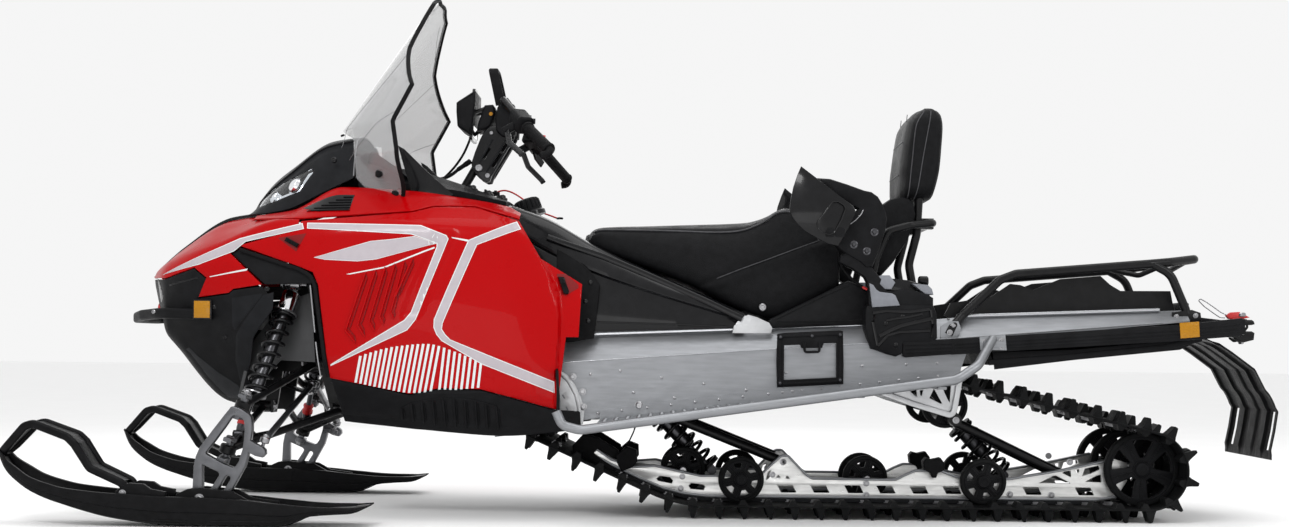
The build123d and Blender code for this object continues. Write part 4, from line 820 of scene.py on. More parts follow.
def inset(outline, d):
    """Outline moved inwards by d (mm), corner by corner."""
    n = len(outline)
    area2 = sum(outline[i][0] * outline[(i + 1) % n][1] - outline[(i + 1) % n][0] * outline[i][1] for i in range(n))
    sgn = 1 if area2 > 0 else -1
    out = []
    for i in range(n):
        p0, p1, p2 = Vector(outline[i - 1]), Vector(outline[i]), Vector(outline[(i + 1) % n])
        a, b = (p1 - p0).normalized(), (p2 - p1).normalized()
        na, nb = Vector((-a.y, a.x)) * sgn, Vector((-b.y, b.x)) * sgn
        m = (na + nb)
        if m.length < 1e-6:
            m = na
        m.normalize()
        c = max(0.45, m.dot(na))
        q = p1 + m * d / c
        out.append((q.x, q.y))
    return tuple(out)


def film(name, outline, relief_on=True, mat="white_stripe", rim=2.4, i0=None, i1=None, lift=0.5, sides=(1, -1)):
    i0 = SIDE0 - 12 if i0 is None else i0
    i1 = SIDE1 if i1 is None else i1
    if rim:
        panel(name + "_rim", outline, i0, i1, sides, "stripe_edge", (), relief_on, lift, 0)
        panel(name, inset(outline, rim), i0, i1, sides, mat, (), relief_on, lift + 0.35, 0)
    else:
        panel(name, outline, i0, i1, sides, mat, (), relief_on, lift, 0)


film("stripe_hood", HOOD_STRIPE, False, i0=RUN_START[1])
film("stripe_hood_line", HOOD_LINE, False, rim=0, mat="stripe_edge")
film("stripe_front", STRIPE_A)
film("stripe_rear", STRIPE_B)
film("stripe_flash", FLASH, rim=1.6)
film("stripe_thin", THIN, rim=0, mat="stripe_edge")
film("stripe_thin_b", THIN2, rim=0, mat="stripe_edge")

# slanted hatch bars along the lower edge
HATCH_TOP = pchip((487, 560, 644, 722, 815, 830), (430, 461, 484, 477, 453, 447))
HATCH_LOW = pchip((500, 560, 640, 690, 760, 845), (366, 360, 350, 350, 361, 378))
bars = bmesh.new()
for k in range(24):
    x = 497 + 14.2 * k
    zt = HATCH_TOP(x)
    lean = 0.19 if x > 600 else 0.12
    xb = x + (zt - HATCH_LOW(x)) * lean
    zb = HATCH_LOW(xb)
    ol = ((x - 3.4, zt - 1), (x + 3.4, zt), (xb + 3.4, zb), (xb - 3.4, zb))
    b = body_grid(min(p[0] for p in ol) - 3, max(p[0] for p in ol) + 3, SIDE0, SIDE1, (1, -1), True, 0.5,
                  xs=[min(p[0] for p in ol) - 3 + q * 2.2 for q in range(int((max(p[0] for p in ol) - min(p[0] for p in ol) + 6) / 2.2) + 2)])
    cut_outline(b, ol)
    join_bm(bars, b)
put("stripe_hatch", bars, "stripe_edge", "chassis", recalc=False)
# ------------------------------------------------------------------ hood spine, latches, vents, front details
def side_film(name, outline, mat, lift=1.0, thick=3.0, relief_on=True, sides=(1, -1), i0=None, i1=None, roll=0.6,
              nodes=()):
    return panel(name, outline, SIDE0 - 12 if i0 is None else i0, SIDE1 if i1 is None else i1, sides, mat, nodes,
                 relief_on, lift, thick, roll)


# dark spine along the middle of the hood
bm = bmesh.new()
xs = [1489 - k * 9 for k in range(35)]
grid = []
for x in xs:
    t = (1489 - x) / 310.0
    half = 46 + 60 * smooth01(t)
    ol = half_outline(x)
    row = []
    for y, z in ol[:RUN_START[2]]:
        if y > half:
            break
        row.append((y, z))
    # resample to 9 points across
    pts = []
    for k in range(9):
        yy = half * k / 8
        for (ya, za), (yb, zb) in zip(ol, ol[1:]):
            if ya <= yy <= yb and yb > ya:
                pts.append((yy, za + (zb - za) * (yy - ya) / (yb - ya)))
                break
    if len(pts) < 9:
        pts += [pts[-1]] * (9 - len(pts))
    full = [(-y, z) for y, z in reversed(pts[1:])] + pts
    grid.append([bm.verts.new((x * MM, y * MM, (z + 1.5 + 3.0 * (1 - abs(y) / half)) * MM)) for y, z in full])
for a, b in zip(grid, grid[1:]):
    for k in range(len(a) - 1):
        bm.faces.new((a[k], a[k + 1], b[k + 1], b[k]))
bm.normal_update()
if sum(f.normal.z for f in bm.faces) < 0:
    bmesh.ops.reverse_faces(bm, faces=bm.faces)
thicken(bm, 7.0, 1.0)
put("hood_spine", bm, "black_gloss", "chassis", recalc=True)

# rubber latches, each on a dark red sheet that stands in for its recessed pocket: painted shade
LATCH_1 = ((1057, 769), (984, 780), (1008, 735))
LATCH_1R = ((1036, 772), (1000, 753), (1006, 743), (1042, 762))
LATCH_2 = ((296, 678), (275, 679), (241, 650), (241, 643), (274, 622), (282, 625))
LATCH_2R = ((294, 672), (279, 672), (264, 633), (266, 624), (278, 625))


def on_side(x, z, s=1, lift=0.0):
    """Point on the side of the body at (x, z)."""
    ol = half_outline(min(max(x, 229), 1491))
    y = 300.0
    best = None
    for (y0, z0), (y1, z1) in zip(ol, ol[1:]):
        if (z0 - z) * (z1 - z) <= 0 and z0 != z1:
            v = y0 + (y1 - y0) * (z - z0) / (z1 - z0)
            best = v if best is None else max(best, v)
    y = (best if best is not None else y) + relief(x, z) + lift
    return Vector((x, s * y, z))


def soft_block(name, outline, h, mat, body="chassis", s=1, base=-1.0, inset_mm=2.0, ribs=0):
    """A pad standing on the body's side, with rounded shoulders and cross ribs."""
    bm = bmesh.new()
    rings = []
    for d, lift in ((0.0, base), (0.0, h * 0.6), (inset_mm * 0.45, h * 0.9), (inset_mm, h)):
        ol = inset(outline, d) if d else outline
        rings.append([bm.verts.new(on_side(p[0], p[1], s, lift) * MM) for p in ol])
    n = len(outline)
    for a, b in zip(rings, rings[1:]):
        for k in range(n):
            bm.faces.new((a[k], a[(k + 1) % n], b[(k + 1) % n], b[k]))
    bm.faces.new(rings[-1])
    bm.faces.new(list(reversed(rings[0])))
    if ribs:
        p0 = (Vector(outline[0]) + Vector(outline[-1])) / 2
        p1 = (Vector(outline[len(outline) // 2 - 1]) + Vector(outline[len(outline) // 2])) / 2
        d = (p1 - p0)
        nrm = Vector((-d.y, d.x)).normalized()
        for k in range(ribs):
            c = p0 + d * (k + 1) / (ribs + 1)
            a, b = c - nrm * 4.5, c + nrm * 4.5
            q = on_side(c.x, c.y, s, h)
            sweep(bm, [on_side(a.x, a.y, s, h), q, on_side(b.x, b.y, s, h)], circle(1.3, 8))
    return put(name, bm, mat, body)


for s, nm in ((1, "l"), (-1, "r")):
    # dark red sheets round the latches are painted shade of their pockets
    side_film("latch_pocket_painted_shade_front_" + nm, inset(LATCH_1, -2), "red_shade", 0.5, 0, sides=(s,))
    soft_block("latch_front_" + nm, LATCH_1R, 10, "grip_rubber", s=s, ribs=4)
    side_film("latch_pocket_painted_shade_rear_" + nm, inset(LATCH_2, -2), "red_shade", 0.5, 0, sides=(s,))
    soft_block("latch_rear_" + nm, LATCH_2R, 10, "grip_rubber", s=s, ribs=4)

# black vents in the cowl with blades
VENT = ((1024, 862), (887, 910), (866, 910), (873, 855), (961, 847))
side_film("cowl_vent", VENT, "black_gloss", 1.2, 3, i0=RUN_START[1])
bm = bmesh.new()
for s in (1, -1):
    for k in range(6):
        t = (k + 0.7) / 6.6
        x0 = 1015 - 150 * t * 0.25
        za = 850 + 52 * t
        x1, x2 = 872, 1008 - 128 * t
        if x2 - x1 < 12:
            continue
        pts = [on_side(x1 + (x2 - x1) * q / 6, za - 4 + (x1 + (x2 - x1) * q / 6 - 872) * -0.02, s, 3.2) for q in range(7)]
        sweep(bm, pts, rrect(3.0, 4.0, 1.2, 2))
put("vent_blades", bm, "black_plastic", "chassis")

# rubber edge and bright strips in front of the side panels
EDGE_BAND = ((992, 689), (960, 678), (942, 641), (906, 386), (925, 382), (944, 440), (958, 560), (975, 660), (1002, 674))
EDGE_STRIPS = (((966, 640), (958, 640), (943, 512), (951, 511)), ((944, 485), (936, 485), (919, 385), (928, 385)))
for s, nm in ((1, "l"), (-1, "r")):
    pts = [on_side(x, z, s, -4.0) for x, z in ((1168, 737), (1060, 703), (1000, 684), (968, 668), (952, 640), (937, 540),
                                               (922, 440), (914, 392))]
    tube("edge_rubber_" + nm, pts, 7, "grip_rubber", radii=30, section=rrect(20, 11, 4),
         up=(0, s, 0))
    for k, (z0, z1) in enumerate(((512, 640), (392, 486))):
        f = lambda z: 934 + (z - 386) * 0.118
        bm = bmesh.new()
        sweep(bm, [on_side(f(z), z, s, 3.5) for z in (z0, (z0 + z1) / 2, z1)], rrect(7, 4, 1.5), up=(0, s, 0))
        put("edge_strip_%s_%d" % (nm, k), bm, "steel", "chassis")

# front cover: lower facets, seams, reflectors
F_FACET = ((1351.1, 461.4), (1337.7, 450.2), (1293.4, 382.3), (1246.2, 325.2), (1177.1, 314.5), (1202, 337.7), (1207.9, 360.4), (1263.3, 397.8), (1316.8, 442.8), (1339.8, 467.2))
side_film("front_facet_low", F_FACET, "grey_plastic", 1.0, 3, False, i0=0, i1=RUN_START[8])
F_UP = ((1192.4, 604.6), (1104.2, 617.9), (1108.6, 607.3), (1188.9, 515.9), (1193.9, 527.2))
side_film("front_facet_up", F_UP, "dark_grey", 1.0, 3, False)
F_REAR = ((1071, 620.9), (1074.3, 573.7), (1137.7, 493.8), (1156, 429.4), (1181.9, 376.3), (1170, 319.8), (1196.7, 345.9), (1203.2, 428.9), (1188.8, 500.8), (1101.1, 613.1))
side_film("front_facet_rear", F_REAR, "dark_grey", 2.0, 3, False)
SLIT = ((1387, 642.9), (1293.9, 662.8), (1292.6, 658.7), (1387, 637.9))
side_film("front_slit", SLIT, "black_gloss", 1.0, 2, False)
NOSE_GRILL = ((1448.3, 660.8), (1433.5, 648.3), (1412, 610.7), (1426.6, 593.7), (1439.3, 595.7))
side_film("nose_mesh", NOSE_GRILL, "black_gloss", 1.0, 2, False, i0=RUN_START[1])
REFL = ((1301, 549), (1301, 597), (1256, 597), (1256, 549))
for s, nm in ((1, "l"), (-1, "r")):
    plate("reflector_frame_" + nm, inset(REFL, -2), 305 if s > 0 else -284, 21, "black_gloss", bevel=1.5)
    plate("reflector_front_" + nm, inset(REFL, 2), 308 if s > 0 else -303, 5, "amber", bevel=1.5)
bm = bmesh.new()
for s in (1, -1):
    for x, z in ((1222, 497), (1247, 580), (1090, 630)):
        p = on_side(x, z, s, 0)
        buttonhead(bm, p, (0, s, 0), 7, 3)
put("cover_screws", bm, "black_gloss", "chassis")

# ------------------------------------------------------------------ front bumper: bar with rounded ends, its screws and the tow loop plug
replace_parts(tube("bumper_bar", [(1290, 288, 560), (1400, 272, 562), (1480, 184, 557), (1526, 92, 551), (1532, 0, 551), (1526, -92, 551),
                                (1480, -184, 557), (1400, -272, 562), (1290, -288, 560)], 12, "black_plastic",
                 radii=(0, 80, 70, 60, 200, 60, 70, 80, 0), section=rrect(30, 24, 8), up=(0, 0, 1)),
            "front_bumper")
bm = bmesh.new()
for s in (1, -1):
    for x in (1395, 1425):
        p = Vector((x, s * (262 if x < 1410 else 248), 566))
        buttonhead(bm, p + Vector((0, s * 16, 0)), (0.3, s, 0), 6, 3, 4)
put("bumper_screws", bm, "steel", "chassis")
bm = bmesh.new()
lathe(bm, (1470, 0, 582), (1, 0, 0.1), ((0, 0), (0, 17), (14, 17), (22, 12), (24, 0)), 24)
put("tow_loop_plug", bm, "red_rubber", "chassis")

# ------------------------------------------------------------------ visor with lamps
VIS = ((1202, 862, 40, 858, 120, 850), (1163, 933, 84, 903, 160, 850), (1081, 1003, 114, 972, 190, 860),
       (963, 1076, 146, 1050, 210, 912), (880, 1086, 168, 1064, 218, 950))
_vx = [r[0] for r in reversed(VIS)]
_vf = [pchip(_vx, [r[1 + k] for r in reversed(VIS)]) for k in range(5)]


def visor_ring(x, drop=0.0):
    top, ys, zs, yb, zb = [f(x) for f in _vf]
    out = []
    for k in range(9):
        t = k / 8 * 0.9
        out.append((ys * t, top + (zs - top) * t * t))
    for k in range(5):
        w = (k + 1) / 5
        a, b = (ys * 0.9, top + (zs - top) * 0.81), (ys + (yb - ys) * 0.12, zs + (zb - zs) * 0.12)
        out.append((a[0] * (1 - w) ** 2 + 2 * ys * w * (1 - w) + b[0] * w * w,
                    a[1] * (1 - w) ** 2 + 2 * (zs + 1) * w * (1 - w) + b[1] * w * w))
    for k in range(1, 19):
        t = 0.12 + 0.88 * k / 18
        bulge = 7.0 * math.sin(math.pi * t)
        out.append((ys + (yb - ys) * t + bulge, zs + (zb - zs) * t))
    return out


def visor_grid(lift=0.0, x0=881, x1=1201, sides=(1, -1)):
    bm = bmesh.new()
    n = 60
    xs = [x0 + (x1 - x0) * k / n for k in range(n + 1)]
    for s in sides:
        g = []
        for x in xs:
            g.append([bm.verts.new((x * MM, s * y * MM, z * MM)) for y, z in visor_ring(x)])
        for a, b in zip(g, g[1:]):
            for k in range(len(a) - 1):
                q = (a[k], a[k + 1], b[k + 1], b[k])
                bm.faces.new(q if s > 0 else tuple(reversed(q)))
    bmesh.ops.remove_doubles(bm, verts=bm.verts, dist=1e-5)
    bm.normal_update()
    if sum(f.normal.z * f.calc_area() for f in bm.faces) < 0:
        bmesh.ops.reverse_faces(bm, faces=bm.faces)
        bm.normal_update()
    if lift:
        for v in bm.verts:
            v.co += v.normal * lift * MM
    return bm


def punch(bm, outline, ymin=0.0):
    """Remove what lies inside an outline in side view, only beyond |y| = ymin."""
    pts = list(outline)
    for i in range(len(pts)):
        (x0, z0), (x1, z1) = pts[i], pts[(i + 1) % len(pts)]
        faces = []
        for f in bm.faces:
            xs = [v.co.x for v in f.verts]
            zs = [v.co.z for v in f.verts]
            if (max(xs) >= (min(x0, x1) - 1.5) * MM and min(xs) <= (max(x0, x1) + 1.5) * MM
                    and max(zs) >= (min(z0, z1) - 1.5) * MM and min(zs) <= (max(z0, z1) + 1.5) * MM):
                faces.append(f)
        geom = set(faces)
        for f in faces:
            geom.update(f.edges)
            geom.update(f.verts)
        no = Vector((-(z1 - z0), 0, (x1 - x0))).normalized()
        bmesh.ops.bisect_plane(bm, geom=list(geom), dist=1e-6, plane_co=(x0 * MM, 0, z0 * MM), plane_no=no)
    dead = [f for f in bm.faces if inside(pts, f.calc_center_median().x / MM, f.calc_center_median().z / MM)
            and abs(f.calc_center_median().y) > ymin * MM]
    bmesh.ops.delete(bm, geom=dead, context="FACES")


LAMP = ((1170, 868), (1160, 905), (1126, 930), (1062, 958), (1010, 980), (1002, 972), (1022, 940), (1040, 912), (1080, 898),
        (1117, 884))
bm = visor_grid()
punch(bm, LAMP, 72)
thicken(bm, 4.0, 0.8)
o = put("visor_shell", bm, "dark_grey", "chassis", 40, recalc=False)
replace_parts(o, "visor")
# lamp glass, its bright rim and what is behind it
bm = visor_grid(-0.5)
cut_outline(bm, inset(LAMP, 1.0))
bmesh.ops.delete(bm, geom=[f for f in bm.faces if abs(f.calc_center_median().y) < 0.072], context="FACES")
thicken(bm, 3.0, 0.3)
o = put("lamp_glass", bm, "lamp_glass", "chassis", recalc=False)
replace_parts(o, "headlights")
bm = visor_grid(-32)
cut_outline(bm, inset(LAMP, -14))
bmesh.ops.delete(bm, geom=[f for f in bm.faces if abs(f.calc_center_median().y) < 0.055], context="FACES")
put("lamp_bowl", bm, "dark_metal", "chassis", recalc=False)
bm = visor_grid(-9)
LAMP_BAR = ((1013, 978), (1004, 968), (1026, 938), (1042, 912), (1078, 899), (1116, 886), (1118, 893), (1082, 906), (1048, 919),
            (1032, 944))
cut_outline(bm, LAMP_BAR)
bmesh.ops.delete(bm, geom=[f for f in bm.faces if abs(f.calc_center_median().y) < 0.072], context="FACES")
thicken(bm, 4.0)
put("lamp_bar", bm, "lamp_silver", "chassis", recalc=False)
bm = bmesh.new()
for s in (1, -1):
    for x, y, z, r in ((1128, 118, 900, 19), (1068, 146, 935, 21)):
        lathe(bm, (x - 14, s * y, z - 8), (0.75, s * 0.35, 0.45),
              ((0, 0), (0, r + 5), (14, r + 5), (14, r + 1), (16, r), (21, r * 0.7), (23, r * 0.35), (24, 0)), 28)
put("lamp_projectors", bm, "lamp_silver", "chassis")
# visor trims: raised edge along the sides and screws
bm = bmesh.new()
for s in (1, -1):
    p = Vector((935, s * 219, 1000))
    buttonhead(bm, Vector((937, s * 214, 1000)), (0.1, s, 0.35), 8, 3, 6)
    buttonhead(bm, Vector((930, s * 130, 1080)), (0.4, 0, 1), 6, 2, 3)
put("visor_screws", bm, "black_gloss", "chassis")
for s, nm in ((1, "l"), (-1, "r")):
    pts = []
    for k in range(16):
        x = 1196 - (1196 - 886) * k / 15
        ring = visor_ring(x)
        y, z = ring[11]
        pts.append(Vector((x, s * (y + 1), z + 1)))
    tube("visor_ridge_" + nm, pts, 3.0, "black_gloss", n=10)
    # steel bead along the visor's rear edge, standing in for the highlight on that edge: painted highlight
    pts = []
    ring = visor_ring(882)
    for y, z in ring[6::2]:
        pts.append(Vector((880, s * (y + 1.0), z)))
    tube("visor_edge_highlight_" + nm, pts, 2.2, "steel", n=8)

# ------------------------------------------------------------------ screen
SCREEN_Y = (0, 100, 200, 270, 340, 400)
SCREEN_Z = (885, 1013, 1091, 1190, 1313, 1495)
SCREEN_X = ((1090, 1012, 884, 720, 640, 600), (1003, 975, 900, 846, 772, 700), (949, 937, 899, 850, 786, 712),
            (880, 868, 830, 786, 730, 668), (795, 783, 745, 704, 646, 586), (668, 656, 618, 576, 520, 460))
_sy = [pchip(SCREEN_Y, row) for row in SCREEN_X]


def screen_x(y, z):
    vals = [f(abs(y)) for f in _sy]
    for k in range(5):
        if z <= SCREEN_Z[k + 1] or k == 4:
            t = (z - SCREEN_Z[k]) / (SCREEN_Z[k + 1] - SCREEN_Z[k])
            return vals[k] + (vals[k + 1] - vals[k]) * t


SCREEN_FRONT = ((0, 1489), (40, 1488), (75, 1481), (134, 1456), (240, 1313), (375, 1190), (370, 1013), (268, 893),
                (-268, 893), (-370, 1013), (-375, 1190), (-240, 1313), (-134, 1456), (-75, 1481), (-40, 1488))
SCREEN_SIDE = ((970, 1106), (915, 1089), (881, 1088), (879, 1060), (874, 950), (821, 895), (704, 893), (560, 892),
               (400, 1300), (560, 1600), (800, 1600))
bm = bmesh.new()
ys = [-380 + 8 * k for k in range(96)]
zs = [888 + 8.6 * k for k in range(71)]
grid = [[bm.verts.new((y * MM, screen_x(y, z) * MM, z * MM)) for y in ys] for z in zs]
for a, b in zip(grid, grid[1:]):
    for k in range(len(a) - 1):
        bm.faces.new((a[k], a[k + 1], b[k + 1], b[k]))
cut_outline(bm, SCREEN_FRONT)
for v in bm.verts:
    v.co = (v.co.y, v.co.x, v.co.z)
cut_outline(bm, SCREEN_SIDE)
bm.normal_update()
if sum(f.normal.x for f in bm.faces) < 0:
    bmesh.ops.reverse_faces(bm, faces=bm.faces)
thicken(bm, 3.5, 0)
o = put("screen", bm, "smoke_clear", "chassis", 50, recalc=False)
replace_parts(o, "windshield")


def screen_edge(points, step=12):
    out = []
    for (y0, z0), (y1, z1) in zip(points, points[1:]):
        n = max(2, int(math.hypot(y1 - y0, z1 - z0) / step))
        for k in range(n):
            y, z = y0 + (y1 - y0) * k / n, z0 + (z1 - z0) * k / n
            out.append(Vector((screen_x(y, z) - 1.7, y, z)))
    y, z = points[-1]
    out.append(Vector((screen_x(y, z) - 1.7, y, z)))
    return out


EDGE = ((0, 1489), (40, 1488), (75, 1481), (134, 1456), (240, 1313), (375, 1190), (370, 1013), (268, 896))
for s, nm in ((1, "l"), (-1, "r")):
    pts = screen_edge([(s * y, z) for y, z in EDGE])
    pts = [Vector((p.x, p.y, min(p.z, 1484.4))) for p in pts]
    tube("screen_trim_" + nm, pts, 4.5, "grip_rubber", n=12, section=rrect(8.5, 12, 3.2, 3))
# moulded crease lines of the screen
for s, nm in ((1, "l"), (-1, "r")):
    for j, line in enumerate((((s * 150, 1000), (s * 262, 1290)), ((s * 205, 1000), (s * 372, 1120)),
                              ((s * 120, 1440), (s * 330, 1225)))):
        pts = [p + Vector((2.2, 0, 0)) for p in screen_edge(line, 14)]
        tube("screen_crease_%s%d" % (nm, j), pts, 0.8, "smoke_edge", n=6)
bm = bmesh.new()
for s in (1, -1):
    for x, z in ((815, 904), (756, 901), (800, 958)):
        y = 0
        # find the screen's own y at (x, z)
        lo, hi = 150.0, 400.0
        for _ in range(30):
            mid = (lo + hi) / 2
            if screen_x(mid, z) > x:
                lo = mid
            else:
                hi = mid
        p = Vector((x, s * lo, z))
        d = Vector((0.55, s * 0.8, 0.1)).normalized()
        lathe(bm, p - d * 10, d, ((0, 0), (0, 8), (9, 8), (9, 13), (12.5, 13), (14.5, 10), (15.5, 5), (15.5, 0)), 22)
put("screen_screws", bm, "grip_rubber", "chassis")
# dark inner panel and gussets behind the screen
for s, nm in ((1, "l"), (-1, "r")):
    pts = ((868, 1068), (850, 1074), (745, 1030), (712, 1012), (676, 990), (640, 950), (700, 905), (868, 920))
    plate("screen_gusset_" + nm, ((754, 1039), (738, 1030), (655, 950), (600, 905), (640, 880), (712, 880), (722, 930)), s * 214 + 3, 6,
          "black_gloss", bevel=1.5)
bm = bmesh.new()
g = []
for k in range(15):
    y = -200 + 400 * k / 14
    top = 1062 - 34 * (abs(y) / 200) ** 2
    x = screen_x(y, 1000) - 46
    g.append([bm.verts.new((x * MM, y * MM, 930 * MM)), bm.verts.new(((x - 12) * MM, y * MM, (top - 12) * MM)),
              bm.verts.new(((x - 22) * MM, y * MM, top * MM)), bm.verts.new(((x - 90) * MM, y * MM, (top - 46) * MM)),
              bm.verts.new(((x - 150) * MM, y * MM, (top - 100) * MM))])
for a, b in zip(g, g[1:]):
    for k in range(4):
        bm.faces.new((a[k], b[k], b[k + 1], a[k + 1]))
bm.normal_update()
put("inner_cowl", bm, "black_plastic", "chassis", 50)
# ------------------------------------------------------------------ louvres of the side panels, belly shell and its slats
LV_TOP = ((812.8, 674.6), (786, 682.1), (758.5, 690.2), (732.7, 699.2), (706.9, 708.8), (684.6, 715.3))
LV_LOW = ((864.2, 517.5), (831.2, 532.4), (800.2, 544.1), (771.2, 556.3), (741.3, 569.5), (729.3, 611.1))
LV_HOOK = ((836.9, 485.6), (812.2, 502.5), (786.4, 518.8), (761.2, 535.6), (733.9, 552), (729.3, 611.1))
for s, nm in ((1, "left"), (-1, "right")):
    hi, lo = bmesh.new(), bmesh.new()
    for k in range(6):
        line = [Vector((LV_TOP[k][0], LV_TOP[k][1], 0)), Vector((LV_LOW[k][0], LV_LOW[k][1], 0))]
        if k < 5:
            line.append(Vector((LV_HOOK[k][0], LV_HOOK[k][1], 0)))
        # the lo sweeps lie beside each rib, barely off the panel, in dark red: a painted shadow of the rib
        for bm, off, lift, sec in ((hi, 0.0, 1.2, rrect(9, 5, 2.2, 3)), (lo, 9.5, 0.15, rrect(9, 1.6, 0.6, 2))):
            pts = []
            for a, b in zip(line, line[1:]):
                d = (b - a).normalized()
                nrm = Vector((-d.y, d.x, 0))
                m = max(2, int((b - a).length / 12))
                for q in range(m):
                    t = a.lerp(b, q / m) - nrm * off * (1 if d.y < 0 and d.x > -0.2 else 1)
                    pts.append(on_side(t.x, t.y, s, lift))
            e = line[-1] - Vector((0, 0, 0))
            pts.append(on_side(line[-1].x, line[-1].y, s, lift * 0.3))
            pts[0] = on_side(line[0].x, line[0].y, s, lift * 0.2)
            sweep(bm, pts, sec, up=(0, s, 0))
    put("louvre_ribs_" + nm, hi, "red_paint", angle=50)
    put("louvre_shadows_" + nm, lo, "red_shade", angle=50)
panel("belly_side_shell", BELLY_EDGE, RUN_START[4], RUN_START[7], (1, -1), "black_plastic", (), lift=1.5)
bm = bmesh.new()
SL = ((520, 985, 530, 1040), (575, 958, 585, 1052), (632, 946, 640, 1062), (688, 938, 696, 1072), (744, 932, 752, 1080),
      (800, 932, 806, 1086), (856, 936, 862, 1092), (912, 944, 918, 1096), (966, 958, 972, 1100), (1020, 975, 1030, 1100))
SL_TOP = ((717.9, 307.4), (689.4, 321.8), (659.9, 328.3), (630.8, 332.7), (601.7, 336.1), (572.6, 336.4), (543.5, 334.6), (514.3, 330.8), (486.2, 323.8), (458, 315.2))
SL_LOW = ((717.3, 277.5), (688.4, 271.5), (659.6, 266.6), (630.3, 261.6), (600.9, 257.7), (572.6, 254.8), (543.3, 252), (513.9, 250.2), (485.7, 248.4), (455.3, 248.7))
for s in (1, -1):
    for a, b in zip(SL_TOP, SL_LOW):
        pts = [on_side(a[0] + (b[0] - a[0]) * q / 8, a[1] + (b[1] - a[1]) * q / 8, s, 3.0 if 0 < q < 8 else 0.5) for q in range(9)]
        sweep(bm, pts, rrect(7, 6, 2.0, 2), up=(0, s, 0))
        c = [on_side(a[0] - 7 + (b[0] - a[0]) * q / 8, a[1] + (b[1] - a[1]) * q / 8, s, 1.7) for q in range(1, 8)]
        sweep(bm, c, rrect(8, 1.6, 0.5, 1), up=(0, s, 0))
    edge = [on_side(x, z, s, 1.6) for x, z in SL_TOP]
    sweep(bm, edge, rrect(4, 3, 1.2, 2), up=(0, s, 0))
put("belly_slats", bm, "black_plastic", angle=50)
# lidded plug at the rear upper corner of each side panel
for s, nm in ((1, "left"), (-1, "right")):
    p = on_side(*(((276.3, 651.6),)[0]), s, 0.5)
    bm = bmesh.new()
    sweep(bm, [p + Vector((4, 0, 17)), p + Vector((1, 0, 6)), p + Vector((-3, 0, -8)), p + Vector((-6, 0, -17))], rrect(15, 8, 3, 3), up=(0, s, 0))
    put("panel_latch_" + nm, bm, "black_gloss")
# ------------------------------------------------------------------ skis
SKI = ((1750, 186, 199, 26), (1738, 160, 190, 36), (1722, 136, 172, 43), (1690, 108, 150, 52), (1655, 86, 128, 60),
       (1610, 66, 112, 66), (1567, 52, 101, 70), (1514, 36, 94, 72), (1450, 20, 88, 72), (1381, 9, 85, 72),
       (1300, 1, 80, 72), (1200, 0, 78, 72), (1100, 0, 73, 72), (1020, 0, 65, 72), (985, 3, 62, 72), (955, 14, 59, 72),
       (930, 25, 57, 72), (870, 32, 55, 70), (813, 36, 55, 66), (790, 45, 57, 60), (772, 54, 59, 50))
_kx = [r[0] for r in reversed(SKI)]
_kf = [pchip(_kx, [r[1 + k] for r in reversed(SKI)]) for k in range(3)]


def ski_section(x):
    b, t, w = [f(x) for f in _kf]
    h = t - b
    m = b + 0.50 * h
    fl = min(b + 13, t - 4)
    half = ((0, b), (16, b), (20, b + min(3, 0.1 * h)), (w - 16, b + min(4, 0.12 * h)), (w - 7, b + 0.12 * h),
            (w - 4.5, b + 0.25 * h), (w - 4.0, m - 1.5), (w - 0.5, m), (w, m + 2), (w - 0.5, t - 3), (w - 3, t - 0.4),
            (w - 8, t), (w - 12, t - 1.5), (w - 14, t - 0.4 * h), (w - 20, fl), (30, fl), (24, fl + 2.5),
            (12, fl + 3), (0, fl + 3))
    return list(half)


def mirrored(bm, s):
    if s < 0:
        for v in bm.verts:
            v.co.y = -v.co.y
        bmesh.ops.reverse_faces(bm, faces=bm.faces)
    return bm


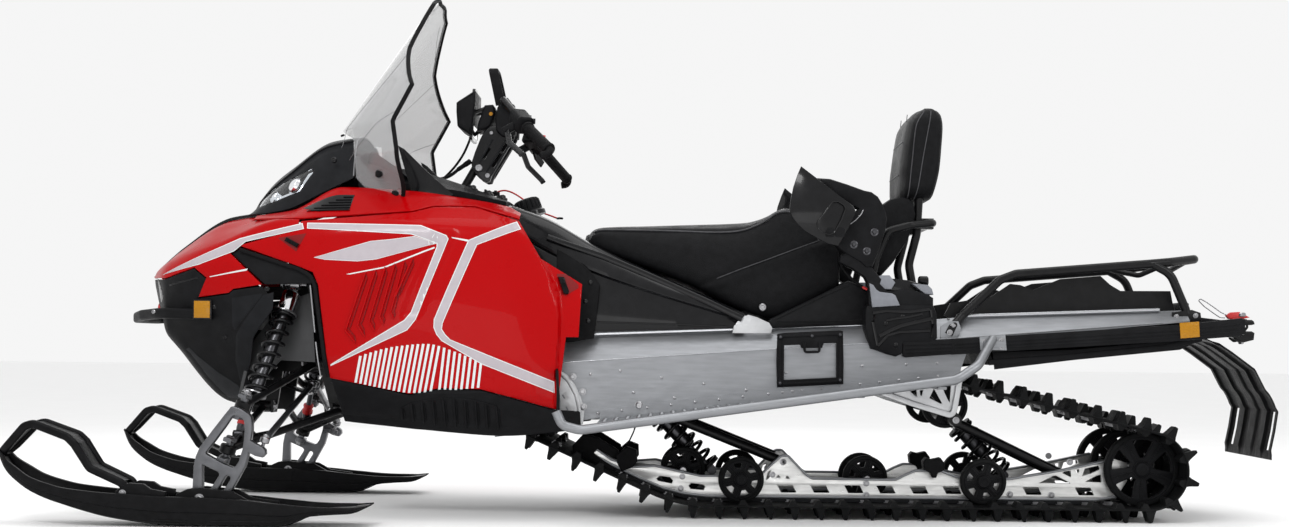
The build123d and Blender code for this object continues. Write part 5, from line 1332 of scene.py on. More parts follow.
LOOP_PTS = ((1392, 38, 78), (1418, 40, 112), (1500, 44, 150), (1541, 46, 214), (1560, 45, 232), (1650, 40, 265),
            (1674, 38, 258), (1720, 30, 207), (1739.5, 20, 188))
for s, nm in ((1, "left"), (-1, "right")):
    body = "ski_%s_body" % nm
    bm = bmesh.new()
    xs = [1750 - k * 9.0 for k in range(110)]
    xs = [x for x in xs if x > 773] + [772]
    rings = []
    for x in xs:
        half = ski_section(x)
        pts = [(y, z) for y, z in half] + [(-y, z) for y, z in reversed(half[1:-1])]
        rings.append([bm.verts.new((x * MM, (500 + y) * MM, z * MM)) for y, z in pts])
    n = len(rings[0])
    for a, b in zip(rings, rings[1:]):
        for k in range(n):
            bm.faces.new((a[k], a[(k + 1) % n], b[(k + 1) % n], b[k]))
    bm.faces.new(rings[0])
    bm.faces.new(list(reversed(rings[-1])))
    o = put("ski_body_" + nm, mirrored(bm, s), "ski_plastic", body, 30)
    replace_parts(o, "ski_" + nm)
    # saddle and loop feet
    for k, (yo, dy) in enumerate(((36, 11), (-25, 11))):
        ol = ((1281.9, 57.7), (1274.9, 81.6), (1246.2, 94.9), (1213.7, 97.4), (1152.3, 91.5), (1129.2, 88.8), (1090.7, 67.5), (1022.1, 58.1), (1021.9, 42.2), (1296.1, 39.5))
        plate("ski_saddle_%s_%d" % (nm, k), ol, s * 500 + (yo if s > 0 else -yo + dy), dy, "ski_plastic", body, bevel=2.5)
    for k, yo in enumerate((50, -34)):
        ol = ((1436, 75.1), (1424, 94.6), (1396.8, 110), (1359.5, 107.5), (1340.7, 94.7), (1303.4, 87.9), (1303.2, 70.7), (1435.9, 65.8))
        plate("ski_loop_foot_%s_%d" % (nm, k), ol, s * 500 + (yo if s > 0 else -yo + 16), 16, "ski_plastic", body,
              bevel=2.5)
    pts = [(x, 500 + w, z) for x, w, z in LOOP_PTS] + [(x, 500 - w, z) for x, w, z in reversed(LOOP_PTS)]
    bm = bmesh.new()
    sweep(bm, fillet(pts, 26, 6), rrect(22, 17, 7, 4), up=(0.5, 0, 0.86))
    # web that joins the two runs of the loop, narrowing towards the tip
    mid_line = fillet([(x, 500, z) for x, w, z in LOOP_PTS[1:]], 26, 6)
    sweep(bm, mid_line, rrect(74, 9, 3, 2), up=(0, 1, 0),
          scale=[1.0 - 0.5 * smooth01((p.x - 1660) / 70.0) for p in mid_line])
    put("ski_loop_" + nm, mirrored(bm, s), "ski_plastic", body, 40)
    bm = bmesh.new()
    hexbolt(bm, (1215, s * 536, 72), (0, s, 0), 9, 7)
    hexbolt(bm, (1215, s * 464, 72), (0, -s, 0), 9, 7)
    hexbolt(bm, (1412, s * 550, 86), (0, s, 0), 6.5, 5)
    lathe(bm, (1215, s * 462, 72), (0, s, 0), ((0, 0), (0, 5.5), (76, 5.5), (76, 0)), 16)
    put("ski_bolts_" + nm, bm, "steel", body)
    # long ribs moulded in the skin's side
    bm = bmesh.new()
    for x0, x1, dz in ((1330, 1240, 0.22), (1180, 960, 0.2)):
        pts = [Vector((x0 + (x1 - x0) * k / 10, s * (500 + _kf[2](x0 + (x1 - x0) * k / 10) - 4.5),
                       _kf[0](x0 + (x1 - x0) * k / 10) + 16)) for k in range(11)]
        sweep(bm, pts, circle(2.4, 8, 2.0))
    put("ski_ribs_" + nm, bm, "ski_plastic", body)

# ------------------------------------------------------------------ spindles
KD = Vector((-math.sin(math.radians(18.4)), 0, math.cos(math.radians(18.4))))
KING_LOW, KING_TOP = Vector((1164, 450, 197)), Vector((1125, 450, 314))
BALL_OUT, BALL_IN = Vector((1060.29, 472, 223.63)), Vector((1034, 22, 362))
SPINDLE = ((1143.1, 305.5), (1139.9, 309.9), (1133.3, 311.4), (1114.1, 304), (1095.4, 291.8), (1089.9, 285), (1087.6, 268.7), (1087.8, 250.6), (1091.9, 223.3), (1075.1, 212.6), (1058.3, 204.4), (1052.5, 198.3), (1051.6, 190), (1058.1, 182.7), (1074.8, 186.2), (1096, 196.8), (1098.7, 179.8), (1105.7, 156.1), (1121.4, 126.9), (1137.4, 97.8), (1153.5, 68.6), (1186, 57.4), (1222.2, 57.1), (1236.2, 75.1), (1237.8, 93.2), (1234.8, 154.9), (1230, 180.3), (1220.8, 202.1), (1187.8, 247.8), (1155.6, 289.8))
SP_HOLES = (((1133.9, 293.6), (1119.4, 290.2), (1108.4, 284.8), (1103.3, 275.8), (1101.2, 254.1), (1103.5, 225), (1106.9, 199.6), (1116.7, 166.9), (1125.3, 154.1), (1135.4, 150), (1161.6, 159.9), (1199.9, 181.3), (1208.3, 187), (1208.4, 194.3), (1187.6, 221.3), (1159, 260.8), (1141.1, 288.1)),
            ((1215.3, 163.7), (1172.3, 143.9), (1166.4, 136.7), (1168.5, 128.3), (1190.7, 93.6), (1198.9, 79), (1213.4, 78.9), (1217.5, 93.4), (1218.2, 158.6)),
            ((1150.5, 134.6), (1142.5, 132.5), (1137.3, 127.5), (1138, 119.5), (1157.3, 88.5), (1163.7, 79.4), (1181.8, 79.2), (1176.9, 93.8), (1157.7, 128.4)))
for s, nm in ((1, "left"), (-1, "right")):
    body = "spindle_%s_body" % nm
    yy = 513 if s > 0 else -487
    # casting, bosses and tie rod use the darkened silver: painted shade
    o = plate("spindle_" + nm + "_casting", SPINDLE, yy, 26, "spindle_metal", body, SP_HOLES, 3.0)
    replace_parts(o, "spindle_" + nm)
    bm = bmesh.new()
    for p, a0, a1 in ((KING_LOW, -37, -20), (KING_LOW, 21, 36), (KING_TOP, -37, -20), (KING_TOP, 21, 34)):
        lathe(bm, p + KD * a0, KD, ((0, 0), (0, 13), (2, 15), (a1 - a0 - 2, 15), (a1 - a0, 13), (a1 - a0, 0)), 24)
        c = p + KD * ((a0 + a1) / 2)
        sweep(bm, [c, c + Vector((0, 44, 0))], rrect(a1 - a0 - 3, 22, 3, 2), up=KD)
    for p in (KING_LOW, KING_TOP):
        lathe(bm, p - KD * 24, KD, ((0, 0), (0, 10), (48, 10), (48, 0)), 20)
    # steering arm, from the casting to the ball
    c = BALL_OUT - KD * 28
    sweep(bm, fillet([c + Vector((34, 22, 0)), c + Vector((10, 14, 0)), c], 14), rrect(12, 24, 4, 3), up=KD)
    lathe(bm, BALL_OUT - KD * 35, KD, ((0, 0), (0, 12), (1.5, 13.5), (12, 13.5), (13.5, 12), (13.5, 0)), 22)
    put("spindle_bosses_" + nm, mirrored(bm, s), "spindle_metal", body)
    bm = bmesh.new()
    lathe(bm, BALL_OUT - KD * 24, KD, ((0, 0), (0, 5), (34, 5), (34, 0)), 14)
    hexbolt(bm, BALL_OUT + KD * 9, KD, 8, 7, False)
    hexbolt(bm, BALL_OUT - KD * 34, -KD, 7, 6, False)
    hexbolt(bm, KING_TOP + KD * 33, KD, 10, 9)
    hexbolt(bm, KING_LOW - KD * 36, -KD, 10, 8)
    put("spindle_nuts_" + nm, mirrored(bm, s), "steel", body)
    # tie rod with threaded ends and boots
    d = (BALL_IN - BALL_OUT).normalized()
    L = (BALL_IN - BALL_OUT).length
    bm = bmesh.new()
    lathe(bm, BALL_OUT + d * 12, d, ((0, 0), (0, 7), (18, 7), (18, 9.5), (30, 9.5), (32, 8.5), (L - 58, 8.5), (L - 56, 9.5),
                                     (L - 44, 9.5), (L - 44, 7), (L - 24, 7), (L - 24, 0)), 18)
    o = put("tie_rod_%s_tube" % nm, mirrored(bm, s), "spindle_metal", "tie_rod_%s_body" % nm)
    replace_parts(o, "tie_rod_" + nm)
    bm = bmesh.new()
    for p in (BALL_OUT, BALL_IN):
        lathe(bm, p - KD * 8, KD, ((0, 6), (0, 11), (2, 13), (14, 13), (16, 11), (16, 6)), 22, closed_profile=True)
    put("tie_rod_%s_ends" % nm, mirrored(bm, s), "steel", "tie_rod_%s_body" % nm)

# ------------------------------------------------------------------ front coil-over shocks
LOW, TOP = Vector((1146, 405, 235)), Vector((1036, 236, 646))
for s, nm in ((1, "left"), (-1, "right")):
    d = (TOP - LOW).normalized()
    L = (TOP - LOW).length
    bm = bmesh.new()
    lathe(bm, LOW + d * 8, d, ((0, 0), (0, 12), (10, 14), (24, 14), (26, 9), (30, 8), (150, 8), (150, 0)), 24)
    lathe(bm, LOW - Vector((11, 0, 0)), (1, 0, 0), ((0, 0), (0, 11), (22, 11), (22, 0)), 20)
    lathe(bm, LOW + d * 128, d, ((0, 0), (0, 20), (5, 22), (12, 22), (16, 17), (L - 170, 17), (L - 166, 22), (L - 158, 22),
                                 (L - 156, 19), (L - 150, 19), (L - 150, 0)), 28)
    o = put("front_shock_%s_body" % nm, mirrored(bm, s), "dark_metal", "chassis")
    if s > 0:
        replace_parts(o, "front_shocks")
    bm = bmesh.new()
    lathe(bm, LOW + d * (L - 92), d, ((0, 0), (0, 23), (3, 25), (62, 25), (66, 22), (70, 15), (76, 13), (76, 0)), 28)
    put("front_shock_%s_can" % nm, mirrored(bm, s), "chrome", "chassis")
    bm = bmesh.new()
    spring(bm, LOW + d * 122, LOW + d * (L - 92), 27.5, 5.0, 8.5)
    put("front_shock_%s_spring" % nm, mirrored(bm, s), "black_gloss", "chassis", 60)
    bm = bmesh.new()
    for a, b, r in ((116, 122, 33), (L - 92, L - 86, 33)):
        lathe(bm, LOW + d * a, d, ((0, 0), (0, r - 2), (1.5, r), (b - a - 1.5, r), (b - a, r - 2), (b - a, 0)), 28)
    put("front_shock_%s_seats" % nm, mirrored(bm, s), "steel", "chassis")
    bm = bmesh.new()
    lathe(bm, LOW + d * 26, d, ((0, 0), (0, 15), (3, 17), (12, 17), (14, 14), (22, 14), (24, 16), (30, 16), (32, 12), (32, 0)), 14)
    put("front_shock_%s_adjuster" % nm, mirrored(bm, s), "red_rubber", "chassis")
    bm = bmesh.new()
    lathe(bm, TOP - Vector((14, 0, 0)), (1, 0, 0), ((0, 5), (0, 12), (2, 15), (26, 15), (28, 12), (28, 5)), 24,
          closed_profile=True)
    lathe(bm, TOP - Vector((30, 0, 0)), (1, 0, 0), ((0, 0), (0, 5), (60, 5), (60, 0)), 14)
    hexbolt(bm, TOP + Vector((34, 0, 0)), (1, 0, 0), 8, 6)
    put("front_shock_%s_eye" % nm, mirrored(bm, s), "steel", "chassis")
    # clevis piece that carries the lower eye down to the arm's ball
    bm = bmesh.new()
    q = KING_LOW + Vector((-4, -26, 14))
    sweep(bm, [LOW + d * 10, LOW, q], circle(10, 16))
    lathe(bm, KING_LOW - KD * 13, KD, ((0, 11), (0, 19), (3, 22), (22, 22), (25, 19), (25, 11)), 26, closed_profile=True)
    lathe(bm, KING_TOP - KD * 13, KD, ((0, 11), (0, 18), (3, 21), (22, 21), (25, 18), (25, 11)), 26, closed_profile=True)
    put("arm_ball_cups_" + nm, mirrored(bm, s), "black_tube", "chassis")

# ------------------------------------------------------------------ arms: webs and pivot bolts
bm = bmesh.new()
for s in (1, -1):
    for ball, front, rear in (((1164, 450, 197), (1150, 128, 300), (925, 128, 292)),
                              ((1125, 450, 314), (1180, 128, 430), (1003, 128, 425))):
        for p in (front, rear):
            q = Vector((p[0], s * p[1], p[2]))
            hexbolt(bm, q + Vector((31, 0, 0)), (1, 0, 0), 8, 6)
            hexbolt(bm, q - Vector((31, 0, 0)), (-1, 0, 0), 8, 6)
            lathe(bm, q - Vector((34, 0, 0)), (1, 0, 0), ((0, 0), (0, 5), (68, 5), (68, 0)), 12)
put("arm_bolts", bm, "steel", "chassis")
for s, nm in ((1, "left"), (-1, "right")):
    bm = bmesh.new()
    for ball, front, rear, t in (((1164, 450, 197), (1150, 128, 300), (925, 128, 292), 0.55),
                                 ((1125, 450, 314), (1180, 128, 430), (1003, 128, 425), 0.42)):
        b, f, r = Vector(ball), Vector(front), Vector(rear)
        p0, p1, p2, p3 = b + (f - b) * 0.07, b + (f - b) * t, b + (r - b) * t, b + (r - b) * 0.07
        mid = (p1 + p2) / 2 + (b - (p1 + p2) / 2) * 0.35
        loop = [p0, p1, mid, p2, p3]
        nrm = (f - b).cross(r - b).normalized() * 2.5
        up = [bm.verts.new((p + nrm) * MM) for p in loop]
        lo = [bm.verts.new((p - nrm) * MM) for p in loop]
        bm.faces.new(up)
        bm.faces.new(list(reversed(lo)))
        for k in range(5):
            bm.faces.new((up[k], lo[k], lo[(k + 1) % 5], up[(k + 1) % 5]))
    put("arm_webs_" + nm, mirrored(bm, s), "black_tube", "chassis")

# inner wheel-well wall, bulkhead plate behind the shocks, with rivets
WALL = ((1090.5, 602.4), (992.6, 630.3), (982.6, 599.6), (971, 399.5), (1017.4, 418.3), (1067.5, 417.8), (1083, 429.2), (990.7, 435.9), (990.6, 430.1), (1075.3, 429.3), (1166.7, 316.7), (1193.6, 316.4), (1179.3, 428.3), (1145.3, 494.1), (1095.8, 556.2))
WALL = ((1095.9, 587.3), (995.8, 623.1), (982.3, 430), (1078.9, 434.9), (1182.2, 323.7), (1193.9, 343), (1171.7, 443.6), (1149.1, 494.1), (1099.5, 560.3))
for s, nm in ((1, "left"), (-1, "right")):
    plate("well_wall_" + nm, WALL, 226 if s > 0 else -220, 5, "cast_grey", bevel=1.2)
bm = bmesh.new()
for s in (1, -1):
    for x, z in ((1023.7, 483.7), (1025.4, 455.9), (1131.9, 501.9), (1154.7, 463.1), (1078.6, 571.9), (1001.2, 547.6), (1035.6, 518.3), (1162.1, 428.3), (1169.6, 405.1)):
        rivet(bm, (x, s * 222, z), (0, s, 0), 6, 2.5)
put("well_rivets", bm, "dark_metal", "chassis")
# ------------------------------------------------------------------ track belt
BELT = ((-1362, 146, 106), (-130, 448, 408), (336, 294, 75), (-800, 323, 66))
LUGS = 57


def belt_line(off):
    n = len(BELT)
    angs = []
    for i in range(n):
        xa, za, ra = BELT[i]
        xb, zb, rb = BELT[(i + 1) % n]
        d = math.hypot(xb - xa, zb - za)
        angs.append(math.atan2(zb - za, xb - xa) - math.acos((ra - rb) / d))
    out = []
    for i in range(n):
        x, z, r = BELT[i]
        a0, a1 = angs[i - 1], angs[i]
        while a1 < a0:
            a1 += 2 * math.pi
        while a1 - a0 > 2 * math.pi:
            a1 -= 2 * math.pi
        out.append((x, z, r + off, a0, a1))
    return out


def belt_at(off, count, phase=0.5):
    arcs = belt_line(off)
    parts = []
    for i, (x, z, r, a0, a1) in enumerate(arcs):
        parts.append(("arc", r * (a1 - a0), (x, z, r, a0)))
        nx, nz, nr, na0, na1 = arcs[(i + 1) % len(arcs)]
        p = (x + r * math.cos(a1), z + r * math.sin(a1))
        q = (nx + nr * math.cos(na0), nz + nr * math.sin(na0))
        parts.append(("line", math.dist(p, q), (p, q)))
    total = sum(p[1] for p in parts)
    res = []
    for k in range(count):
        s = total * (k + phase) / count
        for kind, length, data in parts:
            if s <= length:
                break
            s -= length
        if kind == "arc":
            x, z, r, a0 = data
            a = a0 + s / r
            res.append((x + r * math.cos(a), z + r * math.sin(a), a + math.pi / 2))
        else:
            (px, pz), (qx, qz) = data
            t = s / length
            res.append((px + t * (qx - px), pz + t * (qz - pz), math.atan2(qz - pz, qx - px)))
    return res


bm = bmesh.new()
pts = belt_at(3.0, 57 * 6, 0.0)
sec = [(-3, -246), (-2.4, -248.5), (0, -249.5), (2.4, -248.5), (3, -246), (3, 246), (2.4, 248.5), (0, 249.5), (-2.4, 248.5),
       (-3, 246)]
rings = []
for x, z, a in pts:
    nx, nz = math.sin(a), -math.cos(a)
    rings.append([bm.verts.new(((x + nx * u) * MM, y * MM, (z + nz * u) * MM)) for u, y in sec])
m = len(sec)
for i in range(len(rings)):
    r0, r1 = rings[i], rings[(i + 1) % len(rings)]
    for k in range(m):
        bm.faces.new((r0[k], r0[(k + 1) % m], r1[(k + 1) % m], r1[k]))


def lug(bm, x, z, a, y0, y1, h, base, tip, lean=0.0, taper=5.0, start=-1.0, cup=0.0):
    """Tapered block standing off the belt; h negative goes inwards."""
    t = Vector((math.cos(a), 0, math.sin(a)))
    n = Vector((math.sin(a), 0, -math.cos(a)))
    o = Vector((x, 0, z))
    sg = 1 if h > 0 else -1
    rows = []
    for f, w, tp in ((0.0, base, 0.0), (0.25, base * 0.62 + tip * 0.38, taper * 0.25), (0.88, tip * 1.08, taper * 0.9),
                     (1.0, tip * 0.72, taper * 1.25)):
        hh = start * sg + (h - start * sg) * f
        c = o + n * hh + t * lean * f
        ym = (y0 + y1) / 2
        ring = []
        for yy, ww, cc in ((y0 + tp, w / 2, 0), (ym, w / 2, cup * f), (y1 - tp, w / 2, 0)):
            ring.append(bm.verts.new((c + t * (ww + cc) + Vector((0, yy, 0))) * MM))
        for yy, ww, cc in ((y1 - tp, -w / 2, 0), (ym, -w / 2, cup * f), (y0 + tp, -w / 2, 0)):
            ring.append(bm.verts.new((c + t * (ww + cc) + Vector((0, yy, 0))) * MM))
        rows.append(ring)
    for r0, r1 in zip(rows, rows[1:]):
        for k in range(6):
            bm.faces.new((r0[k], r0[(k + 1) % 6], r1[(k + 1) % 6], r1[k]))
    bm.faces.new(rows[-1])
    bm.faces.new(list(reversed(rows[0])))


for k, (x, z, a) in enumerate(belt_at(6.0, LUGS)):
    if k % 2 == 0:
        for y0, y1 in ((-246, -196), (-92, -20), (20, 92), (196, 246)):
            lug(bm, x, z, a, y0, y1, 33.5, 30, 11, cup=4 if abs(y0) < 100 else 0)
        lug(bm, x, z, a, -190, 190, 7, 22, 14, taper=2)
    else:
        for y0, y1 in ((-190, -112), (112, 190)):
            lug(bm, x, z, a, y0, y1, 33.5, 30, 11, cup=-4)
        for y0, y1 in ((-247, -222), (222, 247)):
            lug(bm, x, z, a, y0, y1, 33.5, 28, 9, lean=-3)
        lug(bm, x, z, a, -215, 215, 7, 22, 14, taper=2)
    # drive lugs inside
for k, (x, z, a) in enumerate(belt_at(0.0, LUGS)):
    for y0, y1 in ((-108, -84), (84, 108), (-246, -186), (186, 246)):
        lug(bm, x, z, a, y0, y1, -15 if abs(y0) > 150 else -18, 30, 12, taper=4)
o = put("track_belt", bm, "track_rubber", "chassis", 32)
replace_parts(o, "track")
# steel guide clips over the rails' line
bm = bmesh.new()
for k, (x, z, a) in enumerate(belt_at(0.0, LUGS)):
    t = Vector((math.cos(a), 0, math.sin(a)))
    n = Vector((math.sin(a), 0, -math.cos(a)))
    for y in (125, -125):
        c = Vector((x, y, z)) - n * 1.2
        sweep(bm, [c - Vector((0, 15, 0)), c + Vector((0, 15, 0))], rrect(2.0, 30, 0.8, 1), up=n)
        for q in (-14.2, 14.2):
            cc = c + Vector((0, q, 0))
            sweep(bm, [cc + n * 0, cc - n * 7], rrect(24, 1.8, 0.7, 1), up=t)
put("track_clips", bm, "steel", "chassis")

# ------------------------------------------------------------------ skid rails
RAIL_TOP = ((220, 196), (191, 187), (148, 158), (90, 137), (24, 142), (-106, 114), (-278, 116), (-312, 151),
            (-338, 174), (-358, 174), (-410, 120), (-427, 109), (-666, 108), (-695, 123), (-723, 135), (-795, 135),
            (-838, 119), (-896, 108), (-996, 114), (-1140, 139), (-1200, 152), (-1290, 172))
RAIL_LOW = ((220, 176), (139, 134), (67, 101), (0, 73), (-60, 58), (-130, 51), (-1240, 51), (-1300, 60), (-1330, 110),
            (-1330, 160))
SLOTS = []
for xc in (-355, -450, -548, -640, -735, -830, -1060, -1210):
    w, h = 29, 10
    SLOTS.append(((xc - w, 68), (xc - w + 3, 65.5), (xc + w - 12, 65.5), (xc + w, 88), (xc + w - 3, 90), (xc - w + 12, 90)))
HOLES = list(SLOTS)
HOLES += [((9.3, 112.4), (-20.5, 108.2), (-29.8, 97.7), (-25.3, 87.6), (16, 96.4), (22, 103.2)),
          ((-80.2, 92.7), (-114.5, 88.5), (-122.8, 81.7), (-117, 70.2), (-78.1, 73.5), (-71.1, 83.5)),
          ((-323.9, 111.1), (-329.3, 119), (-336.2, 113.5), (-338.6, 105.3), (-322.5, 104.2)),
          ((-348.6, 105.4), (-354.4, 117.4), (-361.4, 111.5), (-365.1, 104.7)),
          ((-299.4, 126.9), (-308.6, 131.6), (-314.6, 122.5), (-302, 104), (-292.8, 101.7)),
          ((-1074.2, 99.8), (-1120.3, 123.6), (-1128.4, 123.7), (-1170.9, 102), (-1166.9, 99.1)),
          ((-1142.4, 129.9), (-1150.4, 136), (-1169.7, 139.4), (-1172.7, 120.1), (-1168.7, 118)),
          ((-1180.5, 140.3), (-1194.6, 143.7), (-1195.5, 132.4), (-1188.8, 124.3)),
          ((-1200.9, 120.4), (-1208.7, 144.6), (-1250.9, 155.1), (-1255.8, 141), (-1227, 127.9)),
          ((-1207.9, 105.1), (-1243.1, 124.8), (-1258.4, 129), (-1260.2, 102.8))]
for s, nm in ((1, "left"), (-1, "right")):
    # the rails' brightened silver is painted light against their shadow
    o = plate("skid_rail_" + nm, RAIL_TOP + tuple(reversed(RAIL_LOW)), s * 125 + 5, 10, "rail_metal", "chassis", HOLES,
              1.5)
    if s > 0:
        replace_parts(o, "skid_rails")
    bm = bmesh.new()
    pts = fillet([(x, s * 129, z - 1) for x, z in RAIL_TOP], 14, 4)
    sweep(bm, pts, rrect(6, 24, 2.5, 3), up=(0, 0, 1))
    pts = fillet([(x, s * 128, z + 4) for x, z in RAIL_LOW[:-2]], 14, 3)
    sweep(bm, pts, rrect(7, 18, 2, 2), up=(0, 0, 1))
    put("skid_rail_flange_" + nm, bm, "aluminium", "chassis")
bm = bmesh.new()
for s in (1, -1):
    for x, z in ((-54.8, 109.9), (-50.6, 76.4), (214.5, 183.6), (-344.9, 154.8), (-313.3, 117.9)):
        hexbolt(bm, (x, s * 131, z), (0, s, 0), 6, 5)
    for x, z in ((-343.1, 154.6), (-582.3, 95.9), (-582.7, 62.3), (-918.1, 116.1)):
        hexbolt(bm, (x, s * 131, z), (0, s, 0), 6.5, 5)
    for x, z in ((-995.2, 68), (-1114, 67.2), (-1166.2, 162.3)):
        hexbolt(bm, (x, s * 131, z), (0, s, 0), 6.5, 5)
put("rail_bolts", bm, "steel", "chassis")
# rubber bump stops over the rails
for j, pts in enumerate((((135.5, 171), (106.1, 196.4), (76.2, 185.3), (74.6, 153.3), (87.2, 137.1), (119.1, 124), (130.7, 145.9)),
                         ((-741.5, 160.9), (-750.6, 172), (-767.5, 167.1), (-791.8, 172.4), (-804.6, 155.7), (-803.1, 137.1), (-784.7, 128.5), (-779.8, 115), (-769.7, 114.9), (-762.8, 128.3), (-744.2, 138.2)))):
    for s in (1, -1):
        plate("bump_stop_%d_%s" % (j, "lr"[s < 0]), pts, s * 135 + 22, 44, "grip_rubber", bevel=4, grow=False)
# front rail tips with their rubber blocks
for s in (1, -1):
    plate("rail_tip_" + "lr"[s < 0], ((256.9, 194.9), (229.8, 224.9), (188.5, 216.2), (133.4, 182.4), (128.6, 159.6), (188.3, 191), (206.4, 174.8), (142, 129.7), (151, 118.2), (256.7, 176.6)),
          s * 130 + 12, 24, "grip_rubber", bevel=4)

# ------------------------------------------------------------------ wheels
def wheel(name, x, z, y, R, w, n, hub, cap, turn=0.0, mat="black_plastic", s=1):
    """Moulded wheel with a tyre, spoked web and hub; its face looks along s*Y."""
    bm = bmesh.new()
    tyre = R * 0.17 if R < 90 else R * 0.13
    lathe(bm, (x, y - w / 2, z), (0, 1, 0), ((2, R - tyre), (0, R - tyre + 2), (0, R - 4), (1.2, R - 1.2), (4, R),
                                             (w / 2 - 2, R), (w / 2, R - 1.5), (w / 2 + 2, R), (w - 4, R), (w - 1.2, R - 1.2),
                                             (w, R - 4), (w, R - tyre + 2), (w - 2, R - tyre)), 56, closed_profile=True)
    put(name + "_tyre", bm, "track_rubber", "chassis")
    holes = []
    ri, ro = hub * 1.35, R - tyre - 5
    for k in range(n):
        a0 = 2 * math.pi * k / n + turn
        half = math.pi / n * 0.62
        pts = []
        for q in range(7):
            a = a0 - half + 2 * half * q / 6
            pts.append((x + ro * math.cos(a), z + ro * math.sin(a)))
        for q in range(4):
            a = a0 + half * 0.62 - 2 * half * 0.62 * q / 3
            pts.append((x + ri * math.cos(a), z + ri * math.sin(a)))
        holes.append([(p[0], p[1]) for p in fillet([(a, b, 0) for a, b in pts], 4, 2, True)])
    rim = [(x + (R - tyre + 1) * math.cos(2 * math.pi * k / 56), z + (R - tyre + 1) * math.sin(2 * math.pi * k / 56)) for k in range(56)]
    o = plate(name + "_web", rim, y + w * 0.32, w * 0.64, mat, "chassis", holes, 1.6)
    bm = bmesh.new()
    # ribs along the spokes and the hub with its cap
    for k in range(n):
        a = 2 * math.pi * (k + 0.5) / n + turn
        d = Vector((math.cos(a), 0, math.sin(a)))
        for side_y in (w * 0.32, -w * 0.32):
            p0 = Vector((x, y + side_y, z)) + d * hub * 0.9
            p1 = Vector((x, y + side_y, z)) + d * (R - tyre - 1)
            sweep(bm, [p0, p1], rrect(5, 5.5, 1.8, 2), up=(0, 1, 0))
    lathe(bm, (x, y - w * 0.55, z), (0, 1, 0), ((0, 0), (0, hub * 0.8), (1.5, hub), (w * 1.1 - 1.5, hub), (w * 1.1, hub * 0.8), (w * 1.1, 0)), 32)
    lathe(bm, (x, y + s * w * 0.5, z), (0, s, 0), ((0, 0), (0, hub * 0.9), (cap * 0.7, hub * 0.82), (cap, hub * 0.6), (cap * 0.94, hub * 0.42), (cap * 0.8, hub * 0.4), (cap * 0.8, 0)), 32)
    put(name + "_hub", bm, mat, "chassis")
    return o


WHEELS = ((-222, 106, 65, (160, -160)), (-912, 106, 65, (160, -160)), (-1362, 146, 105, (160, 0, -160)),
          (-800, 323, 65, (160, -160)), (-57, 126, 65, (60, -60)), (-587, 106, 65, (60, -60)))
first = True
for i, (x, z, r, ys) in enumerate(WHEELS):
    for y in ys:
        big = r > 90
        o = wheel("wheel_%d_%s" % (i, ("m" if y == 0 else "lr"[y < 0])), x, z, y, r, 26, 5 if big else 6, 24 if big else 22,
                  9, 0.35 if big else 0.3, s=1 if y >= 0 else -1)
        if first:
            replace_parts(o, "idler_wheels")
            first = False
bm = bmesh.new()
for x, z, half in ((-222, 106, 144), (-912, 106, 144), (-1362, 146, 144), (-800, 323, 240), (-57, 126, 118), (-587, 106, 118)):
    lathe(bm, (x, -half, z), (0, 1, 0), ((0, 0), (0, 9), (1, 10), (2 * half - 1, 10), (2 * half, 9), (2 * half, 0)), 22)
put("wheel_axles", bm, "steel", "chassis")

# drive sprockets on their axle
bm = bmesh.new()
lathe(bm, (336, -258, 294), (0, 1, 0), ((0, 0), (0, 16), (516, 16), (516, 0)), 6)
put("drive_shaft", bm, "dark_metal", "chassis")
for j, y in enumerate((156, -156, 36, -36)):
    ol = []
    for k in range(72):
        a = 2 * math.pi * k / 72
        rr = 62 + 9 * (1 if (k % 8) in (2, 3, 4) else 0)
        ol.append((336 + rr * math.cos(a), 294 + rr * math.sin(a)))
    holes = [[(336 + 40 * math.cos(b) + 11 * math.cos(c), 294 + 40 * math.sin(b) + 11 * math.sin(c))
              for c in [2 * math.pi * q / 14 for q in range(14)]] for b in [2 * math.pi * k / 6 for k in range(6)]]
    o = plate("drive_sprocket_%d" % j, ol, y + 13, 26, "black_plastic", "chassis", holes, 1.5)
    if j == 0:
        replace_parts(o, "drive_axle")

# ------------------------------------------------------------------ skid shocks with springs
for j, ((xa, za), (xb, zb)) in enumerate((((12, 280), (-143, 120)), ((-867, 258), (-1002, 113)))):
    a, b = Vector((xa, 0, za)), Vector((xb, 0, zb))
    d = (b - a).normalized()
    L = (b - a).length
    bm = bmesh.new()
    lathe(bm, a, d, ((0, 0), (0, 19), (4, 22), (L * 0.55, 22), (L * 0.57, 18), (L * 0.58, 8), (L - 12, 8), (L - 10, 14), (L, 14), (L, 0)), 26)
    lathe(bm, a - Vector((0, 16, 0)), (0, 1, 0), ((0, 0), (0, 14), (32, 14), (32, 0)), 22)
    lathe(bm, b - Vector((0, 16, 0)), (0, 1, 0), ((0, 0), (0, 13), (32, 13), (32, 0)), 22)
    o = put("skid_shock_%d_body" % j, bm, "dark_metal", "chassis")
    if j == 0:
        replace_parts(o, "skid_shocks")
    bm = bmesh.new()
    spring(bm, a + d * 8, b - d * 14, 34, 5.4, 7.5 if j == 0 else 7)
    put("skid_shock_%d_spring" % j, bm, "black_gloss", "chassis", 60)
    bm = bmesh.new()
    lathe(bm, a + d * 4, d, ((0, 0), (0, 38), (5, 38), (5, 0)), 26)
    lathe(bm, b - d * 17, d, ((0, 0), (0, 38), (5, 38), (5, 0)), 26)
    put("skid_shock_%d_seats" % j, bm, "black_tube", "chassis")
